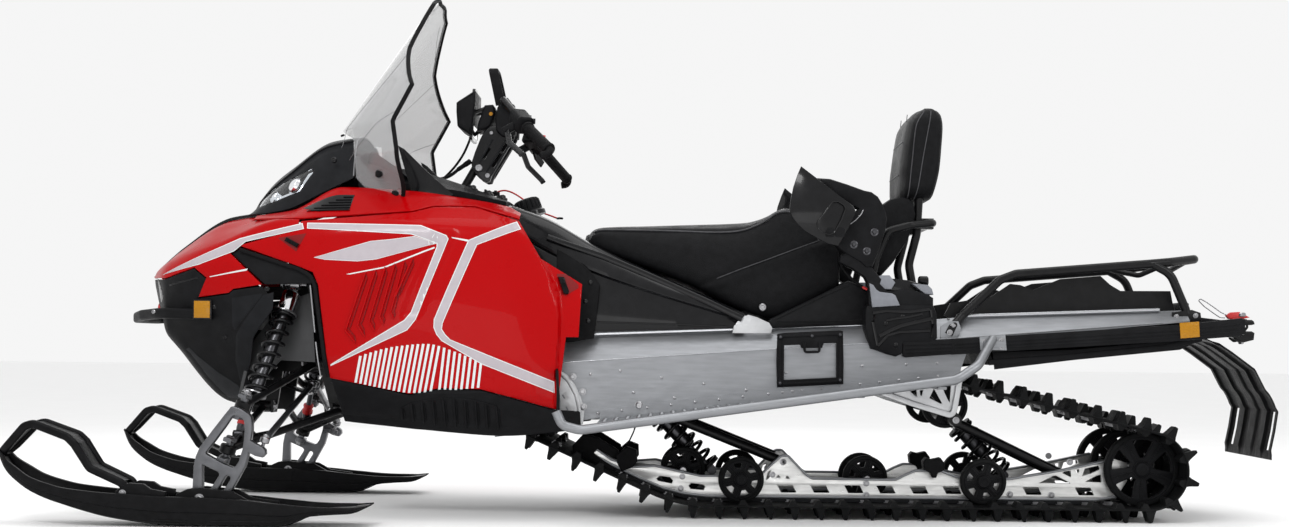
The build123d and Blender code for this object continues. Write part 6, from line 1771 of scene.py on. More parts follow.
# limiter straps
for s in (1, -1):
    tube("limiter_strap_" + "lr"[s < 0], [(120, s * 40, 150), (112, s * 40, 180), (88, s * 40, 232), (72, s * 40, 290)], 3,
         "track_rubber", radii=60, section=rrect(4, 30, 1.2, 2), up=(1, 0, 0))

# truss brackets under the tunnel
BR = ((-585.5, 366.9), (-692.2, 330.3), (-786.7, 299.7), (-799, 296.6), (-809.1, 302.4), (-813.5, 313.9), (-827.4, 400), (-827.1, 428.6), (-585.3, 389.4))
BRH = (((-683.7, 365), (-706.2, 370.1), (-708.4, 349.7), (-702.3, 349.6)), ((-712.3, 368.1), (-725.4, 370.3), (-719.9, 349), (-714.5, 353.8)),
       ((-739.2, 345.1), (-753.2, 376.3), (-777.3, 333.2), (-773.3, 329)), ((-773.6, 379), (-798.1, 387.4), (-802.2, 383.3), (-798.6, 330.1), (-790.3, 342.3)))
for s in (1, -1):
    o = plate("arm_bracket_" + "lr"[s < 0], BR, 261 if s > 0 else -255, 6, "silver_cast", "chassis", BRH, 1.5)
    if s > 0:
        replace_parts(o, "arm_hangers")
    bm = bmesh.new()
    sweep(bm, fillet([(x, s * 266, z) for x, z in ((-589.1, 367), (-691.6, 330.4), (-785.9, 302.3), (-798.2, 299.2), (-806.4, 305), (-810.3, 316.1), (-824.3, 398))], 12, 4),
          rrect(6, 16, 2.4, 3), up=(0, s, 0))
    put("arm_bracket_flange_" + "lr"[s < 0], bm, "silver_cast", "chassis")
bm = bmesh.new()
for s in (1, -1):
    hexbolt(bm, (-815, s * 264, 285), (0, s, 0), 6.5, 5)
    hexbolt(bm, (69, s * 265, 317), (0, s, 0), 9, 7)
put("bracket_bolts", bm, "steel", "chassis")
# ------------------------------------------------------------------ handlebar, grips, levers, gauge and strap
HB = "handlebar"
BAR = ((322, 390, 1018), (398, 250, 1098), (474, 90, 1192), (480, 0, 1196))
full = list(BAR[:3]) + [(x, -y, z) for x, y, z in reversed(BAR[:3])]
o = tube("handlebar_tube", full, 11, "black_tube", HB, radii=[0, 60, 40, 40, 60, 0], n=22)
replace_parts(o, "handlebar")
SD = Vector((-math.sin(math.radians(30)), 0, math.cos(math.radians(30))))
SO = Vector((590, 0, 955))
bm = bmesh.new()
lathe(bm, SO - SD * 95, SD, ((0, 0), (0, 12), (160, 12), (160, 0)), 24)
put("steering_post", bm, "black_tube", HB)
RISER = ((534.5, 1105.3), (545.5, 1082.8), (560, 1045.4), (570.2, 1013.6), (567.8, 998.7), (559.4, 982), (544.3, 967.3), (527.5, 958.1), (516.3, 960.1), (510.9, 975), (505.4, 990), (477.9, 1032), (459.5, 1061.3), (444.1, 1087.6), (446.9, 1106.2), (463.8, 1120.9), (497.4, 1124.3), (519.7, 1120.4))
RH = (((539.8, 1031.4), (522.9, 1059.9), (514.6, 1054.8), (531.5, 1026.3)), ((511.2, 1005.6), (488.4, 1043.1), (481.7, 1038.7), (504.4, 1001.2)),
      ((484, 1051.4), (463.5, 1084.4), (457.4, 1080), (477.3, 1047)))
for k, (y, t) in enumerate(((44, 16), (-28, 16))):
    plate("riser_side_%d" % k, RISER, y, t, "black_gloss", HB, RH, 2.5, grow=False)
plate("riser_core", ((528.8, 1103.7), (552.5, 1036.2), (561.5, 998.6), (542.5, 972.6), (523.8, 969.1), (512.8, 991.6), (483.3, 1040.6), (455.7, 1089.5), (469.1, 1115.5)), 28, 56, "black_plastic", HB, bevel=4)
bm = bmesh.new()
for s in (1, -1):
    for pl in (((547, 1014.2), (508.9, 1083.2)), ((525.9, 986.8), (470.2, 1082.8)), ((512.4, 976.5), (457.3, 1069.5))):
        sweep(bm, [Vector((x, s * (44.5 if s > 0 else 44.5), z)) for x, z in pl], rrect(5, 6, 1.8, 2), up=(0, 0, 1))
put("riser_ribs", bm, "dark_grey", HB)
CL = ((493.8, 1173.2), (484.3, 1188.9), (461.3, 1191.4), (444.8, 1181.9), (442.3, 1154), (437.7, 1140.3), (440.3, 1095.7), (461.7, 1084.4), (483.3, 1093.1), (496.8, 1107.8), (500.1, 1140.5))
plate("bar_clamp", CL, 66, 44, "black_plastic", HB, bevel=5, grow=False)
plate("bar_clamp_far", CL, -22, 44, "black_plastic", HB, bevel=5, grow=False)
bm = bmesh.new()
for s in (1, -1):
    for (x, z), r in zip(((548.4, 998.9), (522.1, 976.8), (463.7, 1106), (512.1, 1101.8)), (11, 8, 6, 6)):
        lathe(bm, (x, s * 43, z), (0, s, 0), ((0, 0), (0, r), (3, r), (5, r * 0.8), (5, r * 0.45), (3.5, r * 0.4), (3.5, 0)), 22)
put("riser_bolts", bm, "steel", HB)
# pad that caps the riser
plate("riser_pad", ((532.5, 1182.5), (508.3, 1184.6), (499.9, 1164.9), (509.3, 1134.3), (518.1, 1118.6), (533.7, 1111), (555.2, 1107.1), (550.6, 1133.9)), 52, 104, "black_plastic", HB, bevel=8, grow=False)
bm = bmesh.new()
(x, z), = ((513.5, 1156.5),)
for s in (1, -1):
    lathe(bm, (x, s * 51.5, z), (0, s, 0), ((0, 0), (0, 6), (1.6, 5), (1.6, 0)), 18)
put("riser_pad_studs", bm, "amber", HB)
for s, nm in ((1, "left"), (-1, "right")):
    a, b, c = Vector((316, s * 401, 1012)), Vector((322, s * 390, 1018)), Vector((398, s * 250, 1098))
    d = (c - a).normalized()
    L = (c - a).length - 22
    prof = [(0, 0), (0, 15), (2, 17.5), (5, 18.5), (8, 17.5), (9, 16)]
    k = 10.0
    while k < L - 16:
        prof += [(k, 16.6), (k + 3.0, 16.6), (k + 3.6, 15.6), (k + 5.2, 15.6), (k + 5.8, 16.6)]
        k += 7.0
    prof += [(L - 12, 16.5), (L - 10, 19.5), (L - 4, 19.5), (L - 2, 17), (L, 17), (L, 0)]
    bm = bmesh.new()
    lathe(bm, a, d, prof, 28)
    put("grip_" + nm, bm, "grip_rubber", HB)
    # hooked end of the grip
    bm = bmesh.new()
    sweep(bm, fillet([a + d * 8, a - d * 7, a - d * 13 + Vector((10, s * 3, -9)), a - d * 9 + Vector((24, s * 3, -13))], 12, 5), circle(11, 16))
    put("grip_hook_" + nm, bm, "grip_rubber", HB)
    # switch block: rounded housing with buttons
    e = Vector((474, s * 90, 1192)) - c
    e.normalize()
    bm = bmesh.new()
    sweep(bm, [c - e * 8, c - e * 4, c + e * 60, c + e * 66], rrect(50, 50, 13, 5), up=(0, 0, 1), scale=[0.8, 1, 1, 0.82])
    put("switch_block_" + nm, bm, "black_plastic", HB)
    bm = bmesh.new()
    back = Vector((-0.75, 0, -0.05)).normalized()
    side_v = e.cross(back).normalized()
    for u, w in ((4, -12), (22, 8), (40, -8)):
        p = c + e * u + back * 25 + side_v * w
        sweep(bm, [p, p + back * 7], rrect(12, 15, 3.5, 3), up=e)
    put("switch_buttons_" + nm, bm, "dark_grey", HB)
    bm = bmesh.new()
    p = c + e * 30 + back * 24 + side_v * 16
    sweep(bm, [p, p + back * 9], rrect(10, 16, 3.5, 3), up=e)
    put("switch_red_" + nm, bm, "red_rubber", HB)
    # lever: clamp, pivot and a shaped blade
    p, q = Vector((448, s * 236, 1086)), Vector((396, s * 372, 1006))
    bm = bmesh.new()
    mid = (p + q) / 2 + Vector((12, 0, -4))
    sweep(bm, fillet([p + Vector((-14, 0, 10)), p, mid, q, q + Vector((-4, s * 8, -6))], 40, 7), rrect(9, 17, 4, 4), up=(0.5, 0, 0.85),
          )
    put("lever_" + nm, bm, "black_gloss", HB, 50)
    bm = bmesh.new()
    r = Vector((406, s * 232, 1110))
    sweep(bm, [r, (r + p) / 2, p + (p - r) * 0.2], rrect(24, 20, 6, 4), up=(0, 0, 1))
    lathe(bm, p - Vector((0, 0, 11)), (0, 0, 1), ((0, 0), (0, 8), (22, 8), (22, 0)), 18)
    put("lever_clamp_" + nm, bm, "black_plastic", HB)
    # throttle lever: a short blade close under the block, on the right-hand side only
    if s < 0:
        bm = bmesh.new()
        pts = [c + e * 26 + Vector((4, 0, -20)), c + e * 12 + Vector((2, s * 6, -36)), c + Vector((-10, s * 26, -52))]
        sweep(bm, fillet(pts, 14, 5), rrect(8, 22, 3.4, 3), up=(0.8, 0, 0.4))
        put("throttle_lever", bm, "black_gloss", HB, 50)
# knob on the right of the strap
(kx, kz), = ((463, 1184.1),)
bm = bmesh.new()
lathe(bm, (kx + 12, 60, kz - 8), (-0.8, 0, 0.6), ((0, 0), (0, 14), (10, 14), (12, 17), (22, 17), (25, 14), (25, 0)), 26)
put("mode_knob", bm, "black_plastic", HB)
# gauge housing, bezel and screen
GA = ((611.3, 1184.7), (605, 1189.9), (560.9, 1219.2), (556.5, 1220), (556.9, 1188.9), (560.3, 1159.3), (564.4, 1114.9), (566.4, 1093.4), (570.8, 1092.6), (604.3, 1113), (608, 1118.1), (611.4, 1158.8))
o = plate("gauge_housing", GA, 80, 160, "black_plastic", HB, bevel=7, grow=False)
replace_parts(o, "gauge")
a, b = (Vector((x, 0, z)) for x, z in ((557.9, 1209.3), (564.2, 1100.1)))
d = (b - a).normalized()
out = Vector((d.z, 0, -d.x))
if out.x > 0:
    out = -out
bm = bmesh.new()
c = (a + b) / 2 - out * 4
sweep(bm, [c + out * 0 - out * 6, c + out * 2.5], rrect(150, (b - a).length * 1.05, 10, 4), up=d)
put("gauge_bezel", bm, "black_gloss", HB)
bm = bmesh.new()
sweep(bm, [c + out * 0, c + out * 3.2], rrect(128, (b - a).length * 0.82, 6, 4), up=d)
put("gauge_screen", bm, "screen_face", HB)
bm = bmesh.new()
for y in (30, -22):
    sweep(bm, [Vector((578, y - 4, 1158)), Vector((516, y - 4, 1182))], rrect(10, 16, 3, 2), up=(0, 0, 1))
put("gauge_arms", bm, "black_tube", HB)
# padded strap: one flat band of webbing
ST = ((486, 46, 1184), (498, 46, 1240), (509, 40, 1288), (509, -40, 1288), (498, -46, 1240), (486, -46, 1184))
bm = bmesh.new()
sweep(bm, fillet(ST, [0, 60, 18, 18, 60, 0], 7), rrect(28, 11, 4.5, 4), up=(1, 0, 0))
o = put("strap_loop", bm, "grip_rubber", HB, 50)
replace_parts(o, "grab_strap")

# ------------------------------------------------------------------ dash: knobs with their bars, ribbed filler cap and its collar
bm = bmesh.new()
for (x, y, z), r, h in (((562, 98, 922), 17, 19), ((514, 104, 908), 15, 18), ((474, 104, 896), 15, 18), ((562, -98, 922), 17, 19)):
    lathe(bm, (x, y, z), (0.25, 0, 0.97), ((0, 0), (0, r + 3), (6, r + 3), (8, r), (h - 4, r), (h, r - 4), (h, 0)), 26)
put("dash_knobs", bm, "black_gloss")
bm = bmesh.new()
for (x, y, z) in ((560, 98, 942), (512, 104, 927)):
    sweep(bm, [Vector((x + 8, y - 14, z)), Vector((x + 8, y + 14, z))], rrect(6, 7, 2, 2), up=(0, 0, 1))
put("dash_knob_bars", bm, "dark_grey")
ax = Vector((0.33, 0, 0.944)).normalized()
bm = bmesh.new()
n = 96
for k0, (s0, s1, r0, r1) in enumerate(((0, 8, 41, 41), (8, 30, 37, 36), (30, 36, 36, 30))):
    pass
up1 = Vector((0, 1, 0))
up2 = ax.cross(up1).normalized()
rings = []
for sft, r, rib in ((-6, 40, 0), (12, 40, 0), (13, 38, 1), (37, 37, 1), (43, 33, 0.4), (45.5, 26, 0), (45.5, 0.5, 0)):
    ring = []
    for k in range(n):
        a_ = 2 * math.pi * k / n
        rr = r + rib * 2.2 * (1 if (k % 6) in (1, 2, 3) else -0.6)
        p = Vector((400, 0, 869)) + ax * sft + up1 * rr * math.cos(a_) + up2 * rr * math.sin(a_)
        ring.append(bm.verts.new(p * MM))
    rings.append(ring)
for a_, b_ in zip(rings, rings[1:]):
    for k in range(n):
        bm.faces.new((a_[k], a_[(k + 1) % n], b_[(k + 1) % n], b_[k]))
bm.faces.new(rings[0])
bm.faces.new(list(reversed(rings[-1])))
o = put("filler_cap", bm, "black_plastic", angle=30)
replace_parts(o, "fuel_cap")
bm = bmesh.new()
lathe(bm, Vector((400, 0, 869)) - ax * 10, ax, ((0, 0), (0, 46), (12, 46), (16, 42), (16, 0)), 40)
put("filler_collar", bm, "black_gloss")


# ------------------------------------------------------------------ cables and the tether
def route_curve(name, pts):
    """Curve of one open NURBS spline with the route's points as its control points."""
    cu = bpy.data.curves.new(name, "CURVE")
    cu.dimensions = "3D"
    cu.resolution_u = 10
    sp = cu.splines.new("NURBS")
    sp.points.add(len(pts) - 1)
    for q, p in zip(sp.points, pts):
        q.co = (p[0] * MM, p[1] * MM, p[2] * MM, 1)
    sp.order_u = 3
    sp.use_endpoint_u = True
    ob = bpy.data.objects.new(name, cu)
    bpy.context.scene.collection.objects.link(ob)
    return ob


def route_line(name, pts):
    """Points (mm) read from the route's spline."""
    ob = route_curve(name, pts)
    me = bpy.data.meshes.new_from_object(ob.evaluated_get(bpy.context.evaluated_depsgraph_get()))
    line = [v.co / MM for v in me.vertices]
    cu = ob.data
    bpy.data.objects.remove(ob)
    bpy.data.curves.remove(cu)
    bpy.data.meshes.remove(me)
    return line


# name, route, radius, length (m), point of the bars that the cable's rubber end runs up to
CABLES = (
    ("thin", ((668, 14, 958), (640, 13, 984), (612, 11, 1018), (590, 9, 1056), (578, 8, 1090)), 3.5, 0.162, (540, 4, 1122)),
    ("thick", ((676, 36, 964), (660, 35, 966), (642, 34, 972), (624, 33, 982), (609, 32, 996)), 5.0, 0.0755, (572, 29, 1022)),
)
for nm, pts, r, length, up_to in CABLES:
    line = route_line("cable_route_" + nm, pts)
    bm = bmesh.new()
    sweep(bm, line, circle(r, 14))
    ob = put("control_cable_" + nm, bm, "grip_rubber", None, 60)
    [c * MM for c in pts[1]]
    [c * MM for c in pts[-1]]
    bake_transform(ob)
    if nm == "thin":
        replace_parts(ob, "control_cables")
    [c * MM for c in pts[0]]
    [[c * MM for c in q] for q in line]
    e, d = Vector(pts[-1]), Vector(up_to) - Vector(pts[-1])
    L = d.length
    bm = bmesh.new()
    lathe(bm, e - d * (3 / L), d / L, ((0, 0), (0, r + 0.8), (2, r + 1.3), (L * 0.5, r + 1.5), (L * 0.58, r + 2.6), (L, r + 3.0), (L + 3, 0)), 20)
    put("cable_boot_" + nm, bm, "grip_rubber", HB, 30)

TETHER = ((506, -46, 936), (489, -50, 944), (467, -55, 941), (446, -60, 931), (424, -64, 916), (404, -67, 899),
          (384, -69, 885), (362, -67, 876), (342, -60, 869), (326, -50, 862), (318, -36, 860))
te = route_curve("tether_line", TETHER)
te.data.bevel_depth = 2.5 * MM
te.data.bevel_resolution = 4
te.data.use_fill_caps = True
te.data.materials.append(M["red_rubber"])
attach(te, "chassis")
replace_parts(te, "tether_cord")
bm = bmesh.new()
lathe(bm, (508, -46, 926), (0, 0, 1), ((0, 0), (0, 13), (10, 13), (12, 10), (12, 5), (16, 4), (16, 0)), 20)
put("tether_switch", bm, "black_plastic")
bm = bmesh.new()
p = Vector((318, -36, 860))
sweep(bm, [p + Vector((3, -4, 0)), p + Vector((-4, 12, 0)), p + Vector((-10, 26, -2))], rrect(6, 10, 2.4, 3), up=(0, 0, 1))
clipo = put("tether_clip", bm, "black_plastic")
# ------------------------------------------------------------------ tank cover and side covers
TK = ((440, 882, 178, 820, 208, 214, 524), (338, 846, 190, 760, 222, 236, 523), (205, 772, 205, 700, 240, 250, 520),
      (90, 718, 214, 660, 243, 251, 524), (-224, 582, 232, 566, 246, 250, 536))
_tx = [r[0] for r in reversed(TK)]
_tf = [pchip(_tx, [r[1 + k] for r in reversed(TK)]) for k in range(6)]


def tank_half(x):
    zt, yt, zm, ym, yf, zf = [f(x) for f in _tf]
    zf = min(zf, zm - 20)
    return [(0, zt + 4), (yt * 0.5, zt + 2.5), (yt - 22, zt - 2), (yt - 6, zt - 8), (yt + 4, zt - 16),
            (yt + (ym - yt) * 0.6, zt - (zt - zm) * 0.55), (ym - 4, zm + 12), (ym + 1, zm + 2), (ym + 1, zm - 6),
            (ym - 5, zm - 13), (ym - 4, zm - 18), (ym + (yf - ym) * 0.7, zf + (zm - zf) * 0.35), (yf, zf + 10),
            (yf - 3, zf + 3), (yf - 12, zf)]


def tank_y(x, z):
    pts = tank_half(x)
    for (ya, za), (yb, zb) in zip(pts, pts[1:]):
        if za >= z >= zb:
            return ya + (yb - ya) * (za - z) / max(za - zb, 1e-6)
    return pts[-1][0]


bm = bmesh.new()
rings = []
for k in range(74):
    x = 452 - k * (676 / 73.0)
    half = tank_half(max(-224, min(440, x)))
    pts = half + [(-y, z) for y, z in reversed(half[1:])]
    rings.append([bm.verts.new((x * MM, y * MM, z * MM)) for y, z in pts])
n = len(rings[0])
for a, b in zip(rings, rings[1:]):
    for k in range(n):
        bm.faces.new((a[k], a[(k + 1) % n], b[(k + 1) % n], b[k]))
bm.faces.new(rings[0])
bm.faces.new(list(reversed(rings[-1])))
o = put("tank_cover_skin", bm, "black_gloss", angle=28)
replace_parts(o, "tank_cover")
# rolled rail along the cover's upper edge, and the lower facet's crease
for s in (1, -1):
    bm = bmesh.new()
    rail = ((332.1, 786.9), (283.3, 769.2), (228.5, 751.5), (173.6, 733.8), (85.1, 697.6), (-21.7, 651.8), (-119.4, 608.4), (-217.1, 562.5))
    pts = [Vector((x, s * (tank_y(max(-224, x), z) + 2), z)) for x, z in rail]
    sweep(bm, fillet(pts, 60, 6), rrect(20, 14, 6.5, 4), up=(0, 0, 1))
    put("cover_rail_" + "lr"[s < 0], bm, "black_gloss", angle=50)
    bm = bmesh.new()
    low = ((189.6, 549.3), (50.1, 546.4), (-71.3, 544), (-171.4, 540.1))
    pts = [Vector((x, s * (tank_y(max(-224, x), z) + 0.5), z)) for x, z in low]
    sweep(bm, pts, rrect(5, 5, 2, 2), up=(0, 0, 1))
    put("cover_crease_" + "lr"[s < 0], bm, "black_gloss")
    plate("cover_trim_" + "lr"[s < 0], ((299.9, 749.5), (257.3, 725.7), (226.9, 704.2), (201.2, 679.1), (185.2, 653.8), (188.4, 606.6), (199.5, 504.9), (255.1, 495.9), (303.4, 491.8)),
          262 if s > 0 else -254, 8, "grip_rubber", bevel=2.5)
    bm = bmesh.new()
    for x, z in ((208.3, 659.6), (213.3, 551.9), (221.1, 606.3)):
        buttonhead(bm, (x, s * 262, z), (0, s, 0), 6.5, 3.5)
    put("cover_trim_screws_" + "lr"[s < 0], bm, "black_gloss")

# ------------------------------------------------------------------ driver's cushion
S_TOP = ((230.4, 797.8), (218, 814.3), (205.5, 823.2), (180.4, 828.5), (54.9, 833.5), (-70.5, 838.4), (-170.9, 841.9), (-233.7, 846.3), (-268.1, 854.2), (-296.3, 865.8), (-321.2, 879.8), (-346.3, 887.6), (-368.3, 884), (-415.5, 865), (-573.3, 781.8))
S_PIPE = ((226.7, 785.2), (208.4, 810.7), (177.6, 817.2), (53.9, 816), (-38.9, 813.8), (-144.1, 811.1), (-193.5, 813.4), (-230.6, 820.6), (-267.5, 836.4), (-292.1, 850.3), (-316.7, 867.8), (-344.5, 873), (-366.2, 868.3), (-409.7, 847.1), (-565.1, 758.9))
S_LOW = ((225.2, 768), (206.6, 760.9), (114.1, 728.6), (21.6, 695), (-71, 659.1), (-132.7, 628.9), (-200.7, 595.2), (-256.2, 574.8), (-308.6, 564.3), (-366.7, 586.3), (-440.1, 623.9), (-519.6, 667.8), (-562.4, 695.8))


def along(pts):
    pts = sorted(pts)
    return pchip([p[0] for p in pts], [p[1] for p in pts])


s_top, s_pipe, s_low = along(S_TOP), along(S_PIPE), along(S_LOW)
s_yp = pchip([-500, -352, -213, 0, 178, 214, 226], [150, 158, 156, 142, 120, 98, 86])
s_ys = pchip([-500, -352, -213, 0, 178, 214, 226], [184, 191, 189, 172, 142, 122, 108])


def seat_half(x):
    zt, zp, zb = s_top(x), s_pipe(x), s_low(x)
    zp = min(zp, zt - 1)
    yp, ys = s_yp(x), s_ys(x)
    h = zp - zb
    return [(0, zt), (yp * 0.35, zt - 0.5), (yp * 0.65, zt - 0.18 * (zt - zp) - 0.5), (yp - 14, zp + 0.35 * (zt - zp)),
            (yp - 4, zp + 1), (yp, zp - 3), (yp + 6, zp - 8), (yp + (ys - yp) * 0.55, zp - 0.14 * h), (ys - 3, zp - 0.32 * h),
            (ys + 1, zp - 0.55 * h), (ys + 1, zp - 0.74 * h), (ys - 3, zb + 0.1 * h), (ys - 12, zb + 2), (ys - 34, zb),
            (ys - 70, zb)]


def seat_y(x, z):
    pts = seat_half(x)[3:]
    for (ya, za), (yb, zb) in zip(pts, pts[1:]):
        if za >= z >= zb:
            return ya + (yb - ya) * (za - z) / max(za - zb, 1e-6)
    return pts[-1][0] if z < pts[-1][1] else pts[0][0]


SEAM_A = ((-83.3, 651.1), (-144.5, 676.2), (-211.8, 703.3), (-291.3, 732.9), (-364.7, 761.3), (-432, 786.5), (-474.8, 805.4))
SEAM_B = ((-417.5, 814.8), (-429.9, 798.3), (-436.2, 787.3))


def seam_dist(x, z, line):
    return math.sqrt(near_line(x, z, line)) if False else near_line(x, z, line)


bm = bmesh.new()
rings = []
xs = [222 - k * 5.2 for k in range(138)]
rnd = random.Random(11)
waves = [(rnd.uniform(0.010, 0.028), rnd.uniform(0.010, 0.03), rnd.uniform(0, 6.28), rnd.uniform(0.5, 1.0)) for _ in range(7)]
for x in xs:
    half = seat_half(x)
    fine = []
    for (ya, za), (yb, zb) in zip(half, half[1:]):
        m = max(1, int(math.hypot(yb - ya, zb - za) / 9))
        fine += [(ya + (yb - ya) * q / m, za + (zb - za) * q / m) for q in range(m)]
    fine.append(half[-1])
    rings.append((x, fine))
# resample every section to the same count along its length
NS = 64
sec = []
for x, f in rings:
    L = [0.0]
    for a, b in zip(f, f[1:]):
        L.append(L[-1] + math.dist(a, b))
    out = []
    for q in range(NS + 1):
        t = L[-1] * q / NS
        i = max(0, min(len(f) - 2, next((k for k in range(len(L) - 1) if L[k + 1] >= t), len(f) - 2)))
        u = (t - L[i]) / max(L[i + 1] - L[i], 1e-6)
        out.append((f[i][0] + u * (f[i + 1][0] - f[i][0]), f[i][1] + u * (f[i + 1][1] - f[i][1])))
    sec.append((x, out))
sm = []
for i, (x, o_) in enumerate(sec):        # light smoothing across the section, so that the edges roll over
    p = list(o_)
    for _ in range(2):
        p = [p[0]] + [((p[k - 1][0] + 2 * p[k][0] + p[k + 1][0]) / 4, (p[k - 1][1] + 2 * p[k][1] + p[k + 1][1]) / 4)
                      for k in range(1, len(p) - 1)] + [p[-1]]
    sm.append((x, p))
grid = []
for x, p in sm:
    row = []
    for s in (1, -1):
        pts = p if s > 0 else list(reversed(p[1:]))
        for y, z in pts:
            dy = dz = 0.0
            if y > 40:
                d = near_line(x, z, SEAM_A)
                if y > s_yp(x) - 2:
                    dy -= 3.2 * math.exp(-(d / 5.0) ** 2) - 2.2 * math.exp(-((d - 16) / 12.0) ** 2)
                    w = sum(am * math.sin(x * fx + z * fz * 1.3 + ph) for fx, fz, ph, am in waves)
                    dy += 0.8 * w
                d2 = abs(z - s_pipe(x))
                if abs(y - s_yp(x)) < 14:
                    dz -= 1.8 * math.exp(-(d2 / 4.0) ** 2)
            row.append(bm.verts.new((x * MM, s * (y + dy) * MM, (z + dz) * MM)))
    grid.append(row)
# grid rows: left half top centre to bottom, then right half bottom to next to the centre
n = len(grid[0])
for a, b in zip(grid, grid[1:]):
    for k in range(n):
        bm.faces.new((a[k], a[(k + 1) % n], b[(k + 1) % n], b[k]))


def round_end(row, dx, drop):
    c = sum((v.co for v in row), Vector()) / len(row)
    prev = row
    for f, g in ((0.94, 0.45), (0.82, 0.8), (0.6, 1.0)):
        ring = [bm.verts.new(c + (v.co - c) * f + Vector((dx * g * MM, 0, drop * g * MM))) for v in row]
        for k in range(len(ring)):
            bm.faces.new((prev[k], prev[(k + 1) % n], ring[(k + 1) % n], ring[k]))
        prev = ring
    bm.faces.new(prev)


round_end(grid[0], 12, 0)
round_end(grid[-1], -10, 0)
seat_obj = put("driver_cushion", bm, "vinyl", angle=60)
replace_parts(seat_obj, "seat")
# piping along the top edge and the seams on the sides
for s in (1, -1):
    bm = bmesh.new()
    pts = [Vector((x, s * (s_yp(x) - 0.5), s_pipe(x) - 1.0)) for x in [205 - 14 * k for k in range(44)]]
    sweep(bm, pts, circle(2.3, 8))
    put("cushion_piping_" + "lr"[s < 0], bm, "piping", angle=60)
    bm = bmesh.new()
    for line, r in ((SEAM_A, 1.5), (SEAM_B, 1.1)):
        pts = [Vector((x, s * (seat_y(x, z) + 0.2), z)) for x, z in line]
        sweep(bm, fillet(pts, 40, 4), circle(r, 6))
    put("cushion_seams_" + "lr"[s < 0], bm, "piping", angle=60)

# base under the cushion, its silver cap and bolt
SB = ((-299.4, 554.2), (-305.4, 558.6), (-350.8, 580.9), (-435.5, 622.5), (-514.1, 664), (-547.7, 652.1), (-564.3, 637.7), (-560.5, 590.2), (-557.8, 556.8), (-436.2, 551.3), (-305.5, 544))
o = plate("seat_base_cover", SB, 238, 476, "vinyl_smooth", bevel=8)
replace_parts(o, "seat_base")
for s in (1, -1):
    plate("cover_cap_" + "lr"[s < 0], ((-192.9, 524.6), (-196.4, 542.8), (-215.6, 562.4), (-233.7, 571.1), (-256.2, 565.2), (-291, 549.8), (-299, 536.5), (-296.1, 524.4)),
          250 if s > 0 else -238, 12, "silver_cast", bevel=3)
    bm = bmesh.new()
    x, z = (((-276.8, 596.3),))[0]
    lathe(bm, (x, s * 188, z), (0, s, 0), ((0, 0), (0, 11), (7, 11), (9, 9), (9, 6), (7, 5), (7, 0)), 26)
    put("cushion_bolt_" + "lr"[s < 0], bm, "steel")
    bm = bmesh.new()
    for pl in (((-314.2, 563.5), (-423, 618), (-513.8, 659)), ((-314.3, 556.2), (-435.8, 557.3), (-554.2, 562.8))):
        sweep(bm, [Vector((x, s * 238, z)) for x, z in pl], rrect(4, 4, 1.6, 2), up=(0, 0, 1))
    put("seat_base_ribs_" + "lr"[s < 0], bm, "vinyl_smooth")

